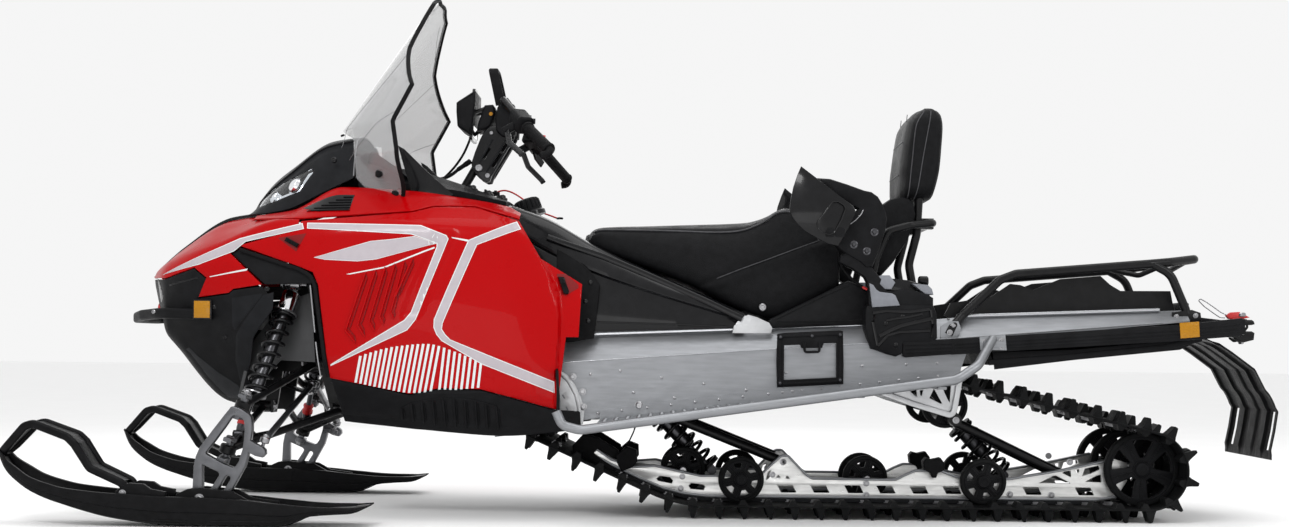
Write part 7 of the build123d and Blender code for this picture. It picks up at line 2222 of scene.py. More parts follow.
# ------------------------------------------------------------------ passenger fittings
PB = ((-565.1, 594.9), (-640.8, 598.9), (-739.6, 598.9), (-747.6, 580.6), (-749.6, 516.4), (-735.9, 508), (-662.4, 505.4), (-654.7, 497.1), (-654.9, 475), (-642.1, 468.5), (-621.4, 473.8), (-596, 482.7), (-578.5, 488), (-570.5, 510), (-563.3, 537.5), (-562, 578.8))
o = plate("luggage_block", PB, 292, 584, "black_plastic", bevel=7,
          holes=())
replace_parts(o, "passenger_base")
for s in (1, -1):
    tag = "lr"[s < 0]
    bm = bmesh.new()
    for pl, w in ((((-576.5, 581.7), (-613.2, 587.6), (-677.5, 585.4), (-734.9, 593.4)), 9),
                  (((-595.5, 517.1), (-623, 532.6), (-655, 546.7), (-700.8, 558.1), (-741.1, 567.7)), 11),
                  (((-582.1, 574.4), (-576.8, 556), (-590.3, 491.8)), 9),
                  (((-613.5, 560.9), (-641, 566.7), (-677.7, 571.7), (-714.3, 580.3)), 7),
                  (((-738.1, 592), (-743.1, 553), (-740.2, 515.3)), 8),
                  (((-591.2, 490), (-618.5, 519.7), (-650.5, 529.2), (-735.5, 533.7)), 8)):
        sweep(bm, [Vector((x, s * 292.5, z)) for x, z in pl], rrect(w, 7, 2.2, 2), up=(0, 0, 1))
    for x, z in ((-659.3, 572.9), (-641.7, 493.3), (-613.6, 552.7)):
        buttonhead(bm, (x, s * 292, z), (0, s, 0), 7, 4)
    put("luggage_block_ribs_" + tag, bm, "black_gloss")
    # upper housing with silver latch trims
    plate("luggage_housing_" + tag, ((-569.5, 666.3), (-590.2, 661.9), (-613.4, 639.2), (-636.4, 637.1), (-659.3, 644.2), (-691.5, 639.9), (-723.8, 631.1), (-740, 622), (-740.2, 599), (-570.1, 596.5)),
          288 if s > 0 else -208, 80, "black_plastic", bevel=5)
    plate("latch_trim_a_" + tag, ((-568.1, 660.6), (-575.9, 657), (-584.3, 644.3), (-594.5, 637.9), (-629.4, 633.7), (-636.8, 629.2), (-648.1, 604.5), (-576.5, 599.2)),
          296 if s > 0 else -288, 8, "grey_trim", bevel=2.2)
    plate("latch_trim_b_" + tag, ((-589.7, 676.8), (-600.2, 683.3), (-622, 683.6), (-636, 666.1), (-626.9, 650.3), (-609.8, 651.1), (-597.2, 662)),
          284 if s > 0 else -232, 52, "grey_trim", bevel=3)
    plate("latch_trim_c_" + tag, ((-696.1, 660.7), (-729.5, 658.2), (-739.8, 648.1), (-742.7, 637), (-724.2, 637.8), (-708.8, 650.6)),
          280 if s > 0 else -232, 48, "grey_trim", bevel=3)
    plate("latch_black_" + tag, ((-633.4, 673.4), (-675.3, 669.2), (-712.5, 660.3), (-731.3, 641.9), (-740.8, 616.4), (-708.3, 611.4), (-657.1, 622.6), (-643, 641), (-624.3, 650.1)),
          252 if s > 0 else -192, 60, "black_gloss", bevel=6)
    bm = bmesh.new()
    for pl in (((-710.5, 627.3), (-740.6, 626.7)), ((-710.6, 619.9), (-740.7, 619.2)), ((-664.8, 640.9), (-701.9, 635.7), (-709.1, 615.4))):
        sweep(bm, [Vector((x, s * 254, z)) for x, z in pl], rrect(6, 9, 2, 2), up=(0, 0, 1))
    lathe(bm, (((-730.2, 675),)[0][0] - 14, s * 196, ((-730.2, 675),)[0][1]), (1, 0, 0), ((0, 0), (0, 11), (3, 14), (24, 14), (28, 10), (28, 0)), 20)
    put("latch_ribs_" + tag, bm, "black_gloss")
    # grip arm
    ga = ((-439.2, 944.4), (-453.9, 943.6), (-500, 929.3), (-548.4, 912.3), (-566.8, 908.8), (-582.1, 898), (-592.4, 881.5), (-600.8, 863.2), (-605.6, 843.1), (-603.1, 818.2), (-595.1, 792.4), (-582.2, 749.1), (-568.7, 716.8), (-560.9, 715.8), (-547.9, 728.1), (-511, 749.3), (-488.7, 764.7), (-479.5, 774.7), (-479.2, 803.2), (-495.5, 830), (-515.5, 844), (-532.9, 857.1), (-542.9, 866.3), (-545.1, 875.6), (-528, 882.7), (-513.3, 887.2), (-478.1, 913.5))
    plate("grip_arm_" + tag, ga, 292 if s > 0 else -238, 54, "black_plastic", bevel=9)
    bm = bmesh.new()
    for x, z in ((-579.1, 805), (-522.5, 770.4), (-558.5, 752.4)):
        lathe(bm, (x, s * 290, z), (0, s, 0), ((0, 0), (0, 11), (3, 11), (4, 9), (3, 7.5), (2.6, 0)), 24)
        hexbolt(bm, (x, s * 292.5, z), (0, s, 0), 5, 3.4, False)
    put("grip_bolts_" + tag, bm, "dark_metal")
    bm = bmesh.new()
    sweep(bm, [Vector((x, s * 293, z)) for x, z in ((-511.7, 827.2), (-525.8, 837.5), (-541.7, 854.1), (-547.1, 866.1))], rrect(3, 4, 1.4, 2), up=(0, 0, 1))
    put("grip_edge_" + tag, bm, "steel")
    # lower strap of the arm down to the housing
    plate("grip_strut_" + tag, ((-491.5, 734.9), (-502.9, 744.3), (-558.4, 719.5), (-577.1, 694.3), (-595.7, 673.8), (-591.2, 659.9), (-570.5, 662), (-558.7, 684.9), (-521.7, 709.9), (-490.2, 724.8)),
          286 if s > 0 else -236, 50, "black_plastic", bevel=6)
    # wind deflector, bowed outwards with a rolled edge
    DF = ((-372.6, 981.2), (-362.4, 956.5), (-351.8, 924.5), (-343.9, 884.8), (-342.4, 859.3), (-348.9, 843.8), (-364.6, 823), (-383, 805.9), (-408.2, 791.6), (-447.1, 771.9), (-474.5, 765.8), (-484.3, 783.2), (-502.2, 815.3), (-518.3, 851), (-520, 862.8), (-514.4, 873.7), (-477.7, 899.7), (-436.4, 931.2))
    cx = sum(p[0] for p in DF) / len(DF)
    cz = sum(p[1] for p in DF) / len(DF)

    def bow_y(x, z):
        return s * (334 - 9.0 * ((x - cx) ** 2 + (z - cz) ** 2) / 8500.0)

    def bow(x, z, w):
        return (x, bow_y(x / MM, z / MM) * MM + w, z)
    o = plate("hand_deflector_" + tag, DF, 336 if s > 0 else -331, 5, "black_gloss", bevel=1.6,
              mapping=bow)
    if s > 0:
        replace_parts(o, "hand_deflectors", "passenger_grips")
    bm = bmesh.new()
    em = ((-415.4, 827), (-433.4, 850), (-445.9, 868.3), (-458.5, 884.8), (-474, 885.9), (-490.5, 876), (-494.2, 866), (-483.6, 836.8), (-464.8, 801.1), (-451.2, 794.6), (-433.9, 798.1), (-418.3, 811.1))
    lp = [Vector((x, bow_y(x, z) + s * 2.5, z)) for x, z in em]
    sweep(bm, fillet(lp, 12, 4, True), circle(1.8, 6), closed=True)
    put("deflector_emboss_" + tag, bm, "black_gloss")
    bm = bmesh.new()
    for x, z in ((-479.7, 801.2), (-452.3, 800.9)):
        sweep(bm, [Vector((x, s * 300, z)), Vector((x, s * 330, z))], rrect(26, 26, 5, 2), up=(0, 0, 1))
    put("deflector_mount_" + tag, bm, "black_plastic")
# upright cushion behind the rider's place, and straps
bm = bmesh.new()
UP = ((-626.9, 888.1), (-646.1, 901.8), (-670.2, 907.8), (-689.5, 904.2), (-700.2, 893.6), (-704.3, 869.5), (-699.8, 835.7), (-681, 792), (-642.9, 733.7), (-616.6, 704.5), (-604.4, 718.9), (-608.9, 757.5), (-622.8, 810.8))
o = plate("rear_bolster", UP, 150, 300, "vinyl", bevel=10)
bm = bmesh.new()
for s in (1, -1):
    sweep(bm, fillet([(x, s * 248, z) for x, z in ((-487.5, 759.7), (-484, 736.5), (-494.9, 708.8), (-516.1, 681.2), (-553.4, 653.7), (-562.7, 649.2))], 40, 5), circle(4, 10))
put("seat_straps", bm, "grip_rubber", angle=60)
bm = bmesh.new()
for s in (1, -1):
    x, z = (((-555.7, 651.7),))[0]
    sweep(bm, [Vector((x + 4, s * 252, z + 3)), Vector((x - 9, s * 252, z - 4))], rrect(7, 9, 2, 2), up=(0, 0, 1))
put("strap_tabs", bm, "red_rubber")

# ------------------------------------------------------------------ backrest pad
PF = ((-667, 719.9), (-642.3, 928.1), (-642.9, 956.6), (-646.2, 1013.4), (-651.4, 1060.9), (-658.6, 1094.1), (-668.8, 1120.3), (-698.9, 1144.7), (-713.9, 1160), (-746.5, 1167.4))
zs = [912 + k * 6.6 for k in range(41)]
front = pchip([905, 916, 940, 985, 1028, 1080, 1129, 1150, 1166, 1177], [-686, -676, -672, -672, -676, -683, -692, -703, -718, -744])
rear = pchip([905, 916, 940, 1000, 1060, 1116, 1150, 1166, 1177], [-742, -764, -772, -785, -790, -793, -789, -780, -764])
seam1 = pchip([905, 940, 1028, 1120, 1177], [-691, -694, -702, -712, -746])
seam2 = pchip([905, 940, 1028, 1120, 1177], [-710, -718, -732, -748, -758])
half = pchip([905, 912, 925, 950, 1130, 1160, 1172, 1178], [96, 128, 150, 163, 163, 150, 130, 100])
bm = bmesh.new()
rings = []
zs = [906 + 1.5 * k for k in range(8)] + [918 + 6.0 * k for k in range(1, 39)] + [1150 + 2.2 * k for k in range(1, 13)]
for z in zs:
    z = min(z, 1176.4)
    xf, xr, a, b, w = front(z), rear(z), seam1(z), seam2(z), half(z)
    pl = [(xf, 0), (xf + 0.5, 0.4 * w), (xf - 1.5, 0.66 * w), (xf - 6, 0.78 * w), (xf - (xf - a) * 0.55, 0.90 * w), (a + 3, 0.975 * w),
          (a, 0.985 * w), (a - 3, 0.99 * w), ((a + b) / 2, w), (b + 3, 0.995 * w), (b, 0.985 * w), (b - 3, 0.99 * w),
          ((b + xr) / 2, 0.965 * w), (xr + 9, 0.92 * w), (xr + 2, 0.84 * w), (xr, 0.7 * w), (xr, 0.35 * w), (xr, 0)]
    ring = [bm.verts.new((x * MM, y * MM, z * MM)) for x, y in pl]
    ring += [bm.verts.new((x * MM, -y * MM, z * MM)) for x, y in reversed(pl[1:-1])]
    rings.append(ring)
n = len(rings[0])
for a, b in zip(rings, rings[1:]):
    for k in range(n):
        bm.faces.new((a[k], a[(k + 1) % n], b[(k + 1) % n], b[k]))
bm.faces.new(rings[0])
bm.faces.new(list(reversed(rings[-1])))
pad = put("backrest_cushion", bm, "vinyl", angle=50)
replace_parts(pad, "backrest_pad")
bm = bmesh.new()
for s in (1, -1):
    for f in (seam1, seam2):
        pts = [Vector((f(z), s * (half(z) * 0.985 + 0.4), z)) for z in [912 + 9 * k for k in range(29)]]
        sweep(bm, pts, circle(1.6, 6))
put("backrest_piping", bm, "piping", angle=60)
bm = bmesh.new()
for s in (1, -1):
    sweep(bm, [Vector((-700, s * 62, 1164)), Vector((-690, s * 62, 1050)), Vector((-676, s * 62, 925))], circle(1.2, 6))
for k in range(2):
    z = 985 + 95 * k
    sweep(bm, [Vector((front(z) + 0.6, -96, z)), Vector((front(z) + 0.8, 96, z))], circle(1.3, 6))
put("backrest_stitching", bm, "piping", angle=60)
# ------------------------------------------------------------------ tunnel details
def bend_z(x):
    pts = ((470, 426), (290, 436), (-99, 465), (-559, 498), (-819, 515), (-1464, 570))
    for (xa, za), (xb, zb) in zip(pts, pts[1:]):
        if xa >= x >= xb:
            return za + (zb - za) * (x - xa) / (xb - xa)
    return 570


def deck_top(x):
    pts = ((470, 500), (290, 510), (-99, 527), (-559, 548), (-819, 572), (-1464, 599))
    for (xa, za), (xb, zb) in zip(pts, pts[1:]):
        if xa >= x >= xb:
            return za + (zb - za) * (x - xa) / (xb - xa)
    return 599


def board_z(x):
    pts = ((470, 240), (178, 277), (-101, 312), (-379, 346), (-658, 378), (-790, 392))
    for (xa, za), (xb, zb) in zip(pts, pts[1:]):
        if xa >= x >= xb:
            return za + (zb - za) * (x - xa) / (xb - xa)
    return 392


bm = bmesh.new()
for s in (1, -1):
    for x, z in ((204.8, 403.5), (122.6, 413.2), (6.9, 395.6), (-111, 379.9), (-228.9, 363.3), (84.3, 353.6), (-29.2, 339.1), (-339.5, 413.3), (-340.2, 346.6)):
        rivet(bm, (x, s * 265, z), (0, s, 0), 4.5, 2)
    for x, z in ((183.4, 279.4), (116.9, 286.7), (45.9, 298.5), (-20.6, 305.8), (-87.1, 315.4), (-153.7, 324.9), (-220.1, 336.6), (-291.1, 344), (-357.6, 355.8)):
        rivet(bm, (x, s * 268.5, board_z(x) + 18), (0, s, 0), 4.2, 2)
    for k in range(9):
        x = -330 - 54 * k
        rivet(bm, (x, s * 268.5, board_z(x) + 18), (0, s, 0), 4.2, 2)
    for k in range(22):
        x = 420 - 58 * k
        rivet(bm, (x, s * 222, deck_top(x) - 1), (0, s * 0.3, 0.95), 4.0, 1.6)
    for x, z in ((-674.2, 439.4), (-760, 444.3), (-551.6, 434.1)):
        rivet(bm, (x, s * 265, z), (0, s, 0), 4.5, 2)
put("tunnel_rivets", bm, "steel")
bm = bmesh.new()
for s in (1, -1):
    (x, z), = ((68.4, 318.2),)
    lathe(bm, (x, s * 264.5, z), (0, s, 0), ((0, 0), (0, 10), (2, 11), (5, 8), (5, 0)), 24)
    for x, z in ((253.4, 396.4), (223.8, 312.3), (226.4, 354.5)):
        hexbolt(bm, (x, s * 268, z), (0, s, 0), 7, 5)
put("tunnel_bolts", bm, "steel")
for s in (1, -1):
    tag = "lr"[s < 0]
    # drive bearing flange and its reinforcing plate
    plate("bearing_plate_" + tag, ((344.7, 415.5), (291.4, 412.5), (271.3, 400.7), (251, 376.4), (232.9, 341.1), (221.5, 305.6), (225.5, 265.6), (241, 255.7), (290, 269.4), (343.4, 286.7)),
          268.5 if s > 0 else -265.5, 3, "silver_cast", bevel=1.0,
          holes=(((287.1, 345), (280.9, 346.8), (274.6, 336.2), (278.1, 331.7)), ((276.2, 311.8), (270, 314.1), (264.5, 302.6), (268.9, 299))))
    bm = bmesh.new()
    sweep(bm, fillet([(x, s * 267, z) for x, z in ((335.9, 420), (291.4, 409.3), (264.5, 382.9), (244.1, 345.4), (234.8, 305.5), (238.9, 269.9))], 40, 6),
          rrect(7, 12, 2.5, 3), up=(0, s, 0))
    put("bearing_rim_" + tag, bm, "silver_cast")
    # folded lip along the bend, top moulding and the tail's rolled lip
    bm = bmesh.new()
    xs = [440 - 30 * k for k in range(62)]
    sweep(bm, [Vector((x, s * 265.4, bend_z(x) - 1)) for x in xs if x > -1400], rrect(2.2, 7, 1, 2), up=(0, 0, 1))
    sweep(bm, [Vector((x, s * 224, deck_top(x) + 2)) for x in xs if -780 < x < 300], rrect(9, 5, 2.2, 3), up=(0, 0, 1))
    sweep(bm, [Vector((x, s * 226, deck_top(x) + 3.5)) for x in xs if -1440 < x < -800], rrect(10, 9, 4, 3), up=(0, 0, 1))
    put("tunnel_lips_" + tag, bm, "polished")
    # running boards: raised grip teeth and cross bars
    bm = bmesh.new()
    for k in range(30):
        x = 160 - 31 * k
        z = board_z(x) + 1
        for q in range(5):
            y = 284 + 28 * q
            lathe(bm, (x, s * y, z - 1.5), (0.05, 0, 1), ((0, 6), (0, 8.0), (2.2, 7), (3.2, 6), (2.6, 5), (0, 5)), 10, closed_profile=True)
    put("board_teeth_" + tag, bm, "aluminium")
    bm = bmesh.new()
    for k in range(5):
        x = 130 - 220 * k
        z = board_z(x) - 6
        sweep(bm, [Vector((x, s * 268, z - 4)), Vector((x, s * 424, z - 4))], rrect(8, 22, 2, 2), up=(0, 0, 1))
    put("board_braces_" + tag, bm, "aluminium")
    # toe guard in front of the board
    bm = bmesh.new()
    sweep(bm, fillet([(300, s * 300, 420), (290, s * 380, 400), (284, s * 425, 350), (284, s * 428, 310)], 26, 5), rrect(8, 26, 3, 2), up=(1, 0, 0))
    put("toe_guard_" + tag, bm, "grip_rubber")

# ------------------------------------------------------------------ folding footrests
FR = ((-316, 374), (-496, 385), (-496.5, 440), (-494, 529), (-485, 530.5), (-330, 522), (-315, 519), (-313.5, 440))
FH = ((-331, 391), (-480, 399.5), (-479, 499), (-441, 498), (-437, 485), (-382, 484), (-378, 493), (-331, 491))
for s, nm in ((1, "left"), (-1, "right")):
    body = "footrest_%s_body" % nm
    o = plate("footrest_frame_" + nm, FR, 282 if s > 0 else -276, 6, "black_plastic", body, (FH,), 2.0)
    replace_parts(o, "footrest_" + nm)
    bm = bmesh.new()
    sweep(bm, fillet([(x, s * 283, z) for x, z in ((-322, 381), (-489, 391), (-488, 523), (-321, 514))], 8, 3, True), rrect(4, 7, 1.4, 2),
          closed=True, up=(0, s, 0))
    for x, z in ((-322, 384), (-322, 512), (-489, 394), (-488, 520)):
        lathe(bm, (x, s * 280, z), (0, s, 0), ((0, 0), (0, 8), (5, 8), (7, 6), (7, 0)), 18)
    sweep(bm, fillet([(x, s * 283, z) for x, z in ((-432, 500), (-430, 472), (-390, 471), (-388, 498))], 6, 3), rrect(7, 7, 2, 2), up=(0, s, 0))
    put("footrest_rim_" + nm, bm, "black_plastic", body)
    bm = bmesh.new()
    for x, z in ((-322, 384), (-322, 512), (-489, 394), (-488, 520), (-410, 516)):
        buttonhead(bm, (x, s * 286.5, z), (0, s, 0), 4.2, 2.4)
    put("footrest_screws_" + nm, bm, "dark_metal", body)

# ------------------------------------------------------------------ tail: side rails, bumper, reflectors, hitch
for s in (1, -1):
    tag = "lr"[s < 0]
    o = plate("tail_rail_" + tag, ((-800, 471), (-800, 508), (-1429, 554), (-1600, 574), (-1600, 530), (-1429, 515)),
              291 if s > 0 else -266.5, 24.5, "black_plastic", bevel=3)
    if s > 0:
        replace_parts(o, "tail_rails")
    plate("tail_rail_nose_" + tag, ((-664, 463), (-664, 502), (-671, 504), (-800, 508), (-800, 471), (-672, 461)), 290 if s > 0 else -267, 23, "black_plastic",
          bevel=2)
    bm = bmesh.new()
    for f in (0.24, 0.5, 0.76):
        sweep(bm, [Vector((x, s * 290, lo + (hi - lo) * f)) for x, lo, hi in ((-667, 462, 503), (-800, 471, 508))], rrect(5, 3, 1.2, 2), up=(0, 0, 1))
    for f in (0.24, 0.48, 0.72):
        pts = [Vector((x, s * 291, lo + (hi - lo) * f)) for x, lo, hi in ((-806, 471, 508), (-1000, 485, 522), (-1429, 515, 554), (-1594, 530, 573))]
        sweep(bm, pts, rrect(5.5, 3, 1.2, 2), up=(0, 0, 1))
    put("tail_rail_ribs_" + tag, bm, "black_plastic")
    plate("side_reflector_" + tag, ((-1428, 561.2), (-1479.8, 565.4), (-1482, 524.7), (-1430.9, 519.9)), 294 if s > 0 else -290, 4, "amber", bevel=1)
    # bracket that carries the tube's upper end
    plate("tube_bracket_" + tag, ((-873.4, 516.8), (-942.9, 523.1), (-947, 482.5), (-876.2, 483)), 296 if s > 0 else -290.5, 5.5, "aluminium", bevel=1.2)
    bm = bmesh.new()
    for x, z in ((-885.8, 505.9), (-932.6, 509.4), (-935.2, 491)):
        hexbolt(bm, (x, s * 295.5, z), (0, s, 0), 5, 4)
    put("tube_bracket_bolts_" + tag, bm, "steel")
    # black feet of the rack
    plate("rack_foot_" + tag, ((-1420.4, 575.5), (-1426.5, 590.5), (-1476.4, 597.3), (-1498.3, 590), (-1501.6, 568.2), (-1423.6, 566.8)), 246 if s > 0 else -222, 24, "black_tube", bevel=2.5)
    bm = bmesh.new()
    for x, z in ((-1432.2, 579.9), (-1485.8, 583.5)):
        hexbolt(bm, (x, s * 246, z), (0, s, 0), 5, 4)
    put("rack_foot_bolts_" + tag, bm, "steel")
BP = ((-1600.5, 531), (-1600.5, 574), (-1640, 576), (-1645, 571), (-1645, 536), (-1640, 531))
bm = bmesh.new()
ring0 = fillet([(x, 0, z) for x, z in BP], 4, 3, True)
rows = []
for k in range(51):
    y = -291 + 582 * k / 50
    f = 1.0 - 0.80 * smooth01((abs(y) - 165) / 130.0)
    e = 1.0 - 0.06 * smooth01((abs(y) - 284) / 7.0)
    rows.append([bm.verts.new(((-1600.5 + (v.x + 1600.5) * f) * MM, y * MM, (553 + (v.z - 553) * e) * MM)) for v in ring0])
for a, b in zip(rows, rows[1:]):
    for q in range(len(a)):
        bm.faces.new((a[q], a[(q + 1) % len(a)], b[(q + 1) % len(a)], b[q]))
bm.faces.new(rows[0])
bm.faces.new(tuple(reversed(rows[-1])))
o = put("rear_bumper_bar", bm, "black_plastic")
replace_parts(o, "rear_bumper")
# tail plate between the rails
bm = bmesh.new()
sweep(bm, [Vector((-1466, 0, 572)), Vector((-1602, 0, 557))], rrect(26, 400, 3, 2), up=(0, 0, 1))
put("tail_bridge", bm, "black_plastic")
bm = bmesh.new()
for s in (1, -1):
    sweep(bm, [Vector((-1645.5, s * 60, 553)), Vector((-1645.5, s * 118, 553))], rrect(22, 3.5, 1.2, 2), up=(0, 0, 1))
put("rear_reflectors", bm, "red_lens")
# tail lamp under the rack's rear bar
bm = bmesh.new()
sweep(bm, [Vector((-1500, -95, 612)), Vector((-1500, 95, 612))], rrect(24, 30, 5, 3), up=(0, 0, 1))
put("tail_lamp_housing", bm, "black_plastic")
bm = bmesh.new()
sweep(bm, [Vector((-1515.5, -86, 612)), Vector((-1515.5, 86, 612))], rrect(17, 4, 1.6, 2), up=(0, 0, 1))
put("tail_lamp_lens", bm, "red_lens")
# tow hook plates with the pin, clip and wire bail
HK = ((-1645.3, 534), (-1645.3, 575), (-1722, 575.5), (-1727, 572), (-1729, 566), (-1722, 564), (-1676, 564), (-1676, 542), (-1722, 542), (-1729, 538),
      (-1727, 520), (-1700, 513), (-1668, 528))
o = plate("tow_jaw", HK, 26, 52, "black_tube", bevel=2.0)
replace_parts(o, "tow_hitch")
bm = bmesh.new()
lathe(bm, (-1700, 0, 506), (0, 0, 1), ((0, 0), (0, 6), (3, 8), (80, 8), (82, 13), (90, 13), (93, 10), (93, 0)), 22)
put("tow_pin", bm, "steel")
clip = ((-1656, 589.5), (-1669, 597.5), (-1692, 599), (-1717.7, 585.5), (-1692.1, 580), (-1662.6, 581.7))
o = plate("tow_clip", clip, 8, 16, "red_rubber", bevel=2)
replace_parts(o, "hitch_clip")
bm = bmesh.new()
ba = ((-1656.7, 590.8), (-1638.2, 599.2), (-1620.4, 612.1), (-1597.3, 628.3), (-1578.8, 638.6), (-1573.6, 633.3), (-1590.8, 616.4), (-1615.9, 598.9), (-1638.4, 584.1), (-1653.5, 582.9))
sweep(bm, fillet([(x, 5 - 10 * (k / 9.0), z) for k, (x, z) in enumerate(ba)], 8, 4), circle(1.5, 8))
put("tow_clip_bail", bm, "steel", angle=60)
bm = bmesh.new()
hk = ((-1713.1, 575.4), (-1719.7, 576.8), (-1722.5, 555.9), (-1709.6, 538.8), (-1718.8, 529.7), (-1714.4, 517.9), (-1698, 514.5), (-1684.9, 524.1))
for s in (1, -1):
    sweep(bm, fillet([(x + 12, s * 21, z) for x, z in hk], 5, 3), rrect(6, 7, 1.8, 2), up=(0, 1, 0))
put("tow_hook_arms", bm, "black_tube")

# ------------------------------------------------------------------ snow flap with moulded channels and slots
FL = ((-1500, 526), (-1538, 519), (-1580, 508), (-1618, 483), (-1682, 436), (-1713, 376), (-1749, 316), (-1740, 255), (-1724, 177))
fp = fillet([(x, 0, z) for x, z in FL], 10, 4)
prof = []
for a, b in zip(fp, fp[1:]):
    m = max(1, int((Vector(b) - Vector(a)).length / 12))
    prof += [Vector(a).lerp(Vector(b), q / m) for q in range(m)]
prof.append(Vector(fp[-1]))
cum = [0.0]
for a, b in zip(prof, prof[1:]):
    cum.append(cum[-1] + (b - a).length)
tot = cum[-1]


def flap_relief(t, y):
    ay = abs(y)
    r = 0.0
    if 62 < ay < 118:
        r += 7.0 * smooth01((min(ay - 62, 118 - ay)) / 7.0)
    if ay < 34:
        r += 5.0 * smooth01((34 - ay) / 7.0)
    if ay > 168:
        r += 7 * smooth01((ay - 168) / 8.0)
    k = smooth01((t - 0.08) / 0.08) * smooth01((0.985 - t) / 0.03)
    r *= k
    if 0.56 < t < 0.66:
        r -= 3.5 * smooth01(min(t - 0.56, 0.66 - t) / 0.02)
    return r


ys = [-190 + 5 * k for k in range(77)]
bm = bmesh.new()
vf, vb = {}, {}
for i, p in enumerate(prof):
    a = prof[max(0, i - 1)]
    b = prof[min(len(prof) - 1, i + 1)]
    t = (b - a).normalized()
    nrm = Vector((t.z, 0, -t.x))            # towards the front
    if nrm.x < 0:
        nrm = -nrm
    for j, y in enumerate(ys):
        e = min(1.0, (190 - abs(y)) / 10.0)
        r = flap_relief(cum[i] / tot, y)
        c = p + Vector((0, y, 0))
        vf[i, j] = bm.verts.new((c + nrm * (r + 3.5)) * MM)
        vb[i, j] = bm.verts.new((c + nrm * r) * MM)
ni, nj = len(prof), len(ys)


def hole(i, j):
    t = (cum[i] + cum[min(i + 1, ni - 1)]) / 2 / tot
    y = (ys[j] + ys[min(j + 1, nj - 1)]) / 2
    return 0.73 < t < 0.955 and 133 < abs(y) < 159


for i in range(ni - 1):
    for j in range(nj - 1):
        if hole(i, j):
            continue
        bm.faces.new((vf[i, j], vf[i + 1, j], vf[i + 1, j + 1], vf[i, j + 1]))
        bm.faces.new((vb[i, j], vb[i, j + 1], vb[i + 1, j + 1], vb[i + 1, j]))
        for (di, dj, p0, p1) in ((-1, 0, (i, j), (i, j + 1)), (1, 0, (i + 1, j + 1), (i + 1, j)), (0, -1, (i + 1, j), (i, j)), (0, 1, (i, j + 1), (i + 1, j + 1))):
            a, b = i + di, j + dj
            if a < 0 or b < 0 or a >= ni - 1 or b >= nj - 1 or hole(a, b):
                bm.faces.new((vf[p0], vf[p1], vb[p1], vb[p0]))
flap_obj = put("snow_flap_skin", bm, "flap_rubber", angle=38)
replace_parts(flap_obj, "snow_flap")
# guard under the tail, with stiffening beads
bm = bmesh.new()
for s in (1, -1):
    for yy in (225, 60):
        pts = [Vector((x, s * yy, z)) for x, z in ((-915, 458), (-1102, 472), (-1394, 503), (-1446, 522))]
        sweep(bm, pts, rrect(6, 18, 2.4, 2), up=(0, 0, 1))
    pts = [Vector((x, s * 262, z)) for x, z in ((-905, 447), (-1102, 462), (-1394, 493), (-1452, 508), (-1498, 519))]
    sweep(bm, pts, rrect(16, 5, 2, 2), up=(0, 0, 1))
for s in (1, -1):
    plate("tail_guard_skirt_" + "lr"[s < 0], ((-916.7, 474.6), (-1141.3, 484.2), (-1434.1, 513.2), (-1488.7, 521.2), (-1491.9, 513.7), (-1438.1, 488.4), (-1141.6, 456.9), (-922.1, 428.7)),
          262 if s > 0 else -258, 4, "black_plastic", bevel=1.0)
put("tail_guard_beads", bm, "black_plastic")

# ------------------------------------------------------------------ rack tubes with flattened, bolted feet
RACK = ((-806, 258, 548), (-834, 236, 577), (-941, 230, 679), (-985, 230, 696), (-1362, 230, 728), (-1420, 212, 734),
        (-1514, 150, 747), (-1514, -150, 747), (-1420, -212, 734), (-1362, -230, 728), (-985, -230, 696),
        (-941, -230, 679), (-834, -236, 577), (-806, -258, 548))
o = tube("rack_loop", RACK, 12.5, "black_tube", radii=[0, 30, 40, 40, 40, 40, 30, 30, 40, 40, 40, 40, 30, 0], n=20)
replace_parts(o, "rear_rack")
bm = bmesh.new()
for s in (1, -1):
    sweep(bm, fillet(((-1366, s * 228, 729), (-1420, s * 230, 700), (-1462, s * 234, 600), (-1464, s * 236, 585)), [0, 60, 20, 0], 8), circle(12, 20))
    sweep(bm, [Vector((-808, s * 260, 556)), Vector((-800, s * 265, 541)), Vector((-792, s * 267, 524))], rrect(22, 9, 3, 3), up=(1, 0, 0))
    sweep(bm, fillet(((-1372, s * 216, 731), (-1440, s * 150, 712), (-1500, s * 110, 742)), [0, 30, 0], 6), circle(8, 14))
put("rack_legs", bm, "black_tube")
bm = bmesh.new()
for s in (1, -1):
    hexbolt(bm, (-794, s * 271, 530), (0, s, 0), 5.5, 4)
    hexbolt(bm, (-804, s * 266, 548), (0, s, 0), 5.5, 4)
    plate("rack_front_foot_" + "lr"[s < 0], ((-770, 506), (-770, 545), (-792, 560), (-818, 560), (-826, 540), (-812, 512)), 266 if s > 0 else -262, 4,
          "aluminium", bevel=1)
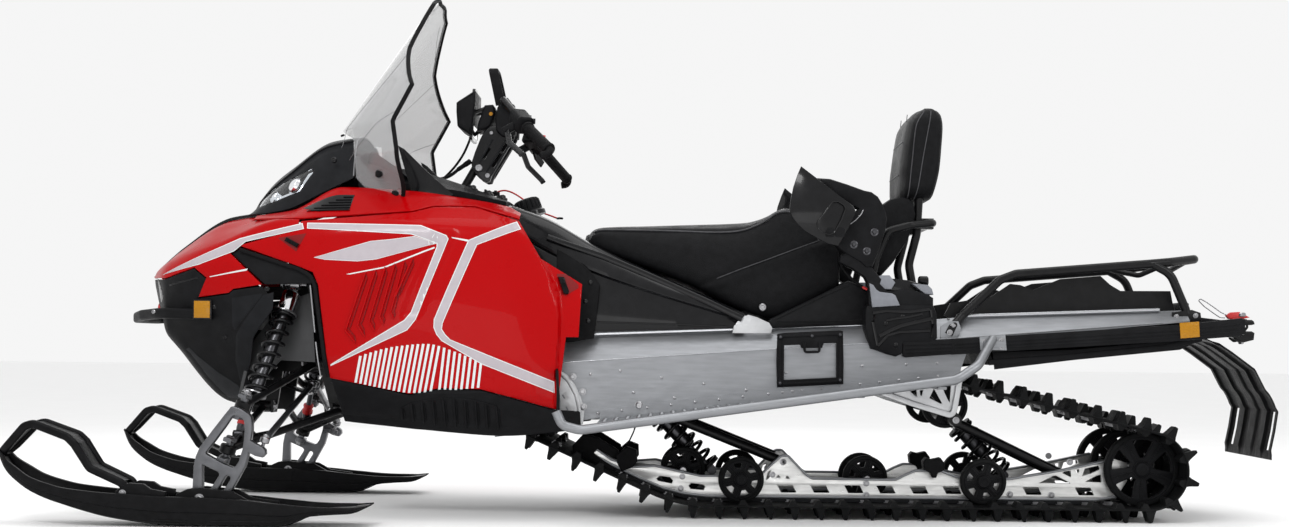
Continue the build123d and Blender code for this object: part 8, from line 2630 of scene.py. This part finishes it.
put("rack_front_bolts", bm, "steel")
# ------------------------------------------------------------------ carried-over CAD nodes
CARRY = {
    "hood": "red_paint", "upper_cowl": "red_paint", "side_panel_left": "red_paint", "side_panel_right": "red_paint",
    "front_cover": "black_plastic", "wheel_well_covers": "black_plastic", "belly_pan": "black_plastic",
    "visor": "black_gloss", "headlights": "lamp_glass", "dash_console": "black_plastic",
    "windshield": "smoke_clear", "tunnel": "aluminium", "running_board_left": "aluminium",
    "running_board_right": "aluminium", "front_frame": "black_tube", "engine_block": "engine_metal",
    "a_arms_left": "black_tube", "a_arms_right": "black_tube", "arm_brackets": "black_tube",
    "front_shocks": "dark_metal", "pitman_arm": "dark_metal", "spindle_left": "silver_cast",
    "spindle_right": "silver_cast", "tie_rod_left": "aluminium", "tie_rod_right": "aluminium",
    "ski_left": "ski_plastic", "ski_right": "ski_plastic", "handlebar": "black_tube", "gauge": "black_plastic",
    "grab_strap": "grip_rubber", "tank_cover": "black_plastic", "fuel_cap": "black_plastic",
    "seat_base": "black_plastic", "seat": "vinyl", "passenger_base": "black_plastic",
    "passenger_grips": "black_plastic", "hand_deflectors": "black_gloss", "backrest_frame": "black_tube",
    "backrest_pad": "vinyl", "footrest_left": "black_tube", "footrest_right": "black_tube",
    "rear_rack": "black_tube", "rack_sides": "black_tube", "tail_rails": "black_tube",
    "rear_bumper": "black_plastic", "tow_hitch": "black_tube", "hitch_clip": "red_rubber",
    "snow_deflector": "black_plastic", "snow_flap": "flap_rubber", "front_bumper": "black_plastic",
    "track": "track_rubber", "skid_rails": "aluminium", "slide_runners": "dark_grey",
    "idler_wheels": "black_plastic", "drive_axle": "dark_metal", "skid_arms": "black_tube",
    "skid_shocks": "dark_metal", "arm_hangers": "dark_metal",
}
for node, mat in CARRY.items():
    o = bpy.data.objects.get(node)
    if o is None:
        o = frame["nodes"].get(node) if isinstance(frame["nodes"], dict) else None
    if o is not None and o.type == "MESH":
        o.data.materials.clear()
        o.data.materials.append(M[mat])
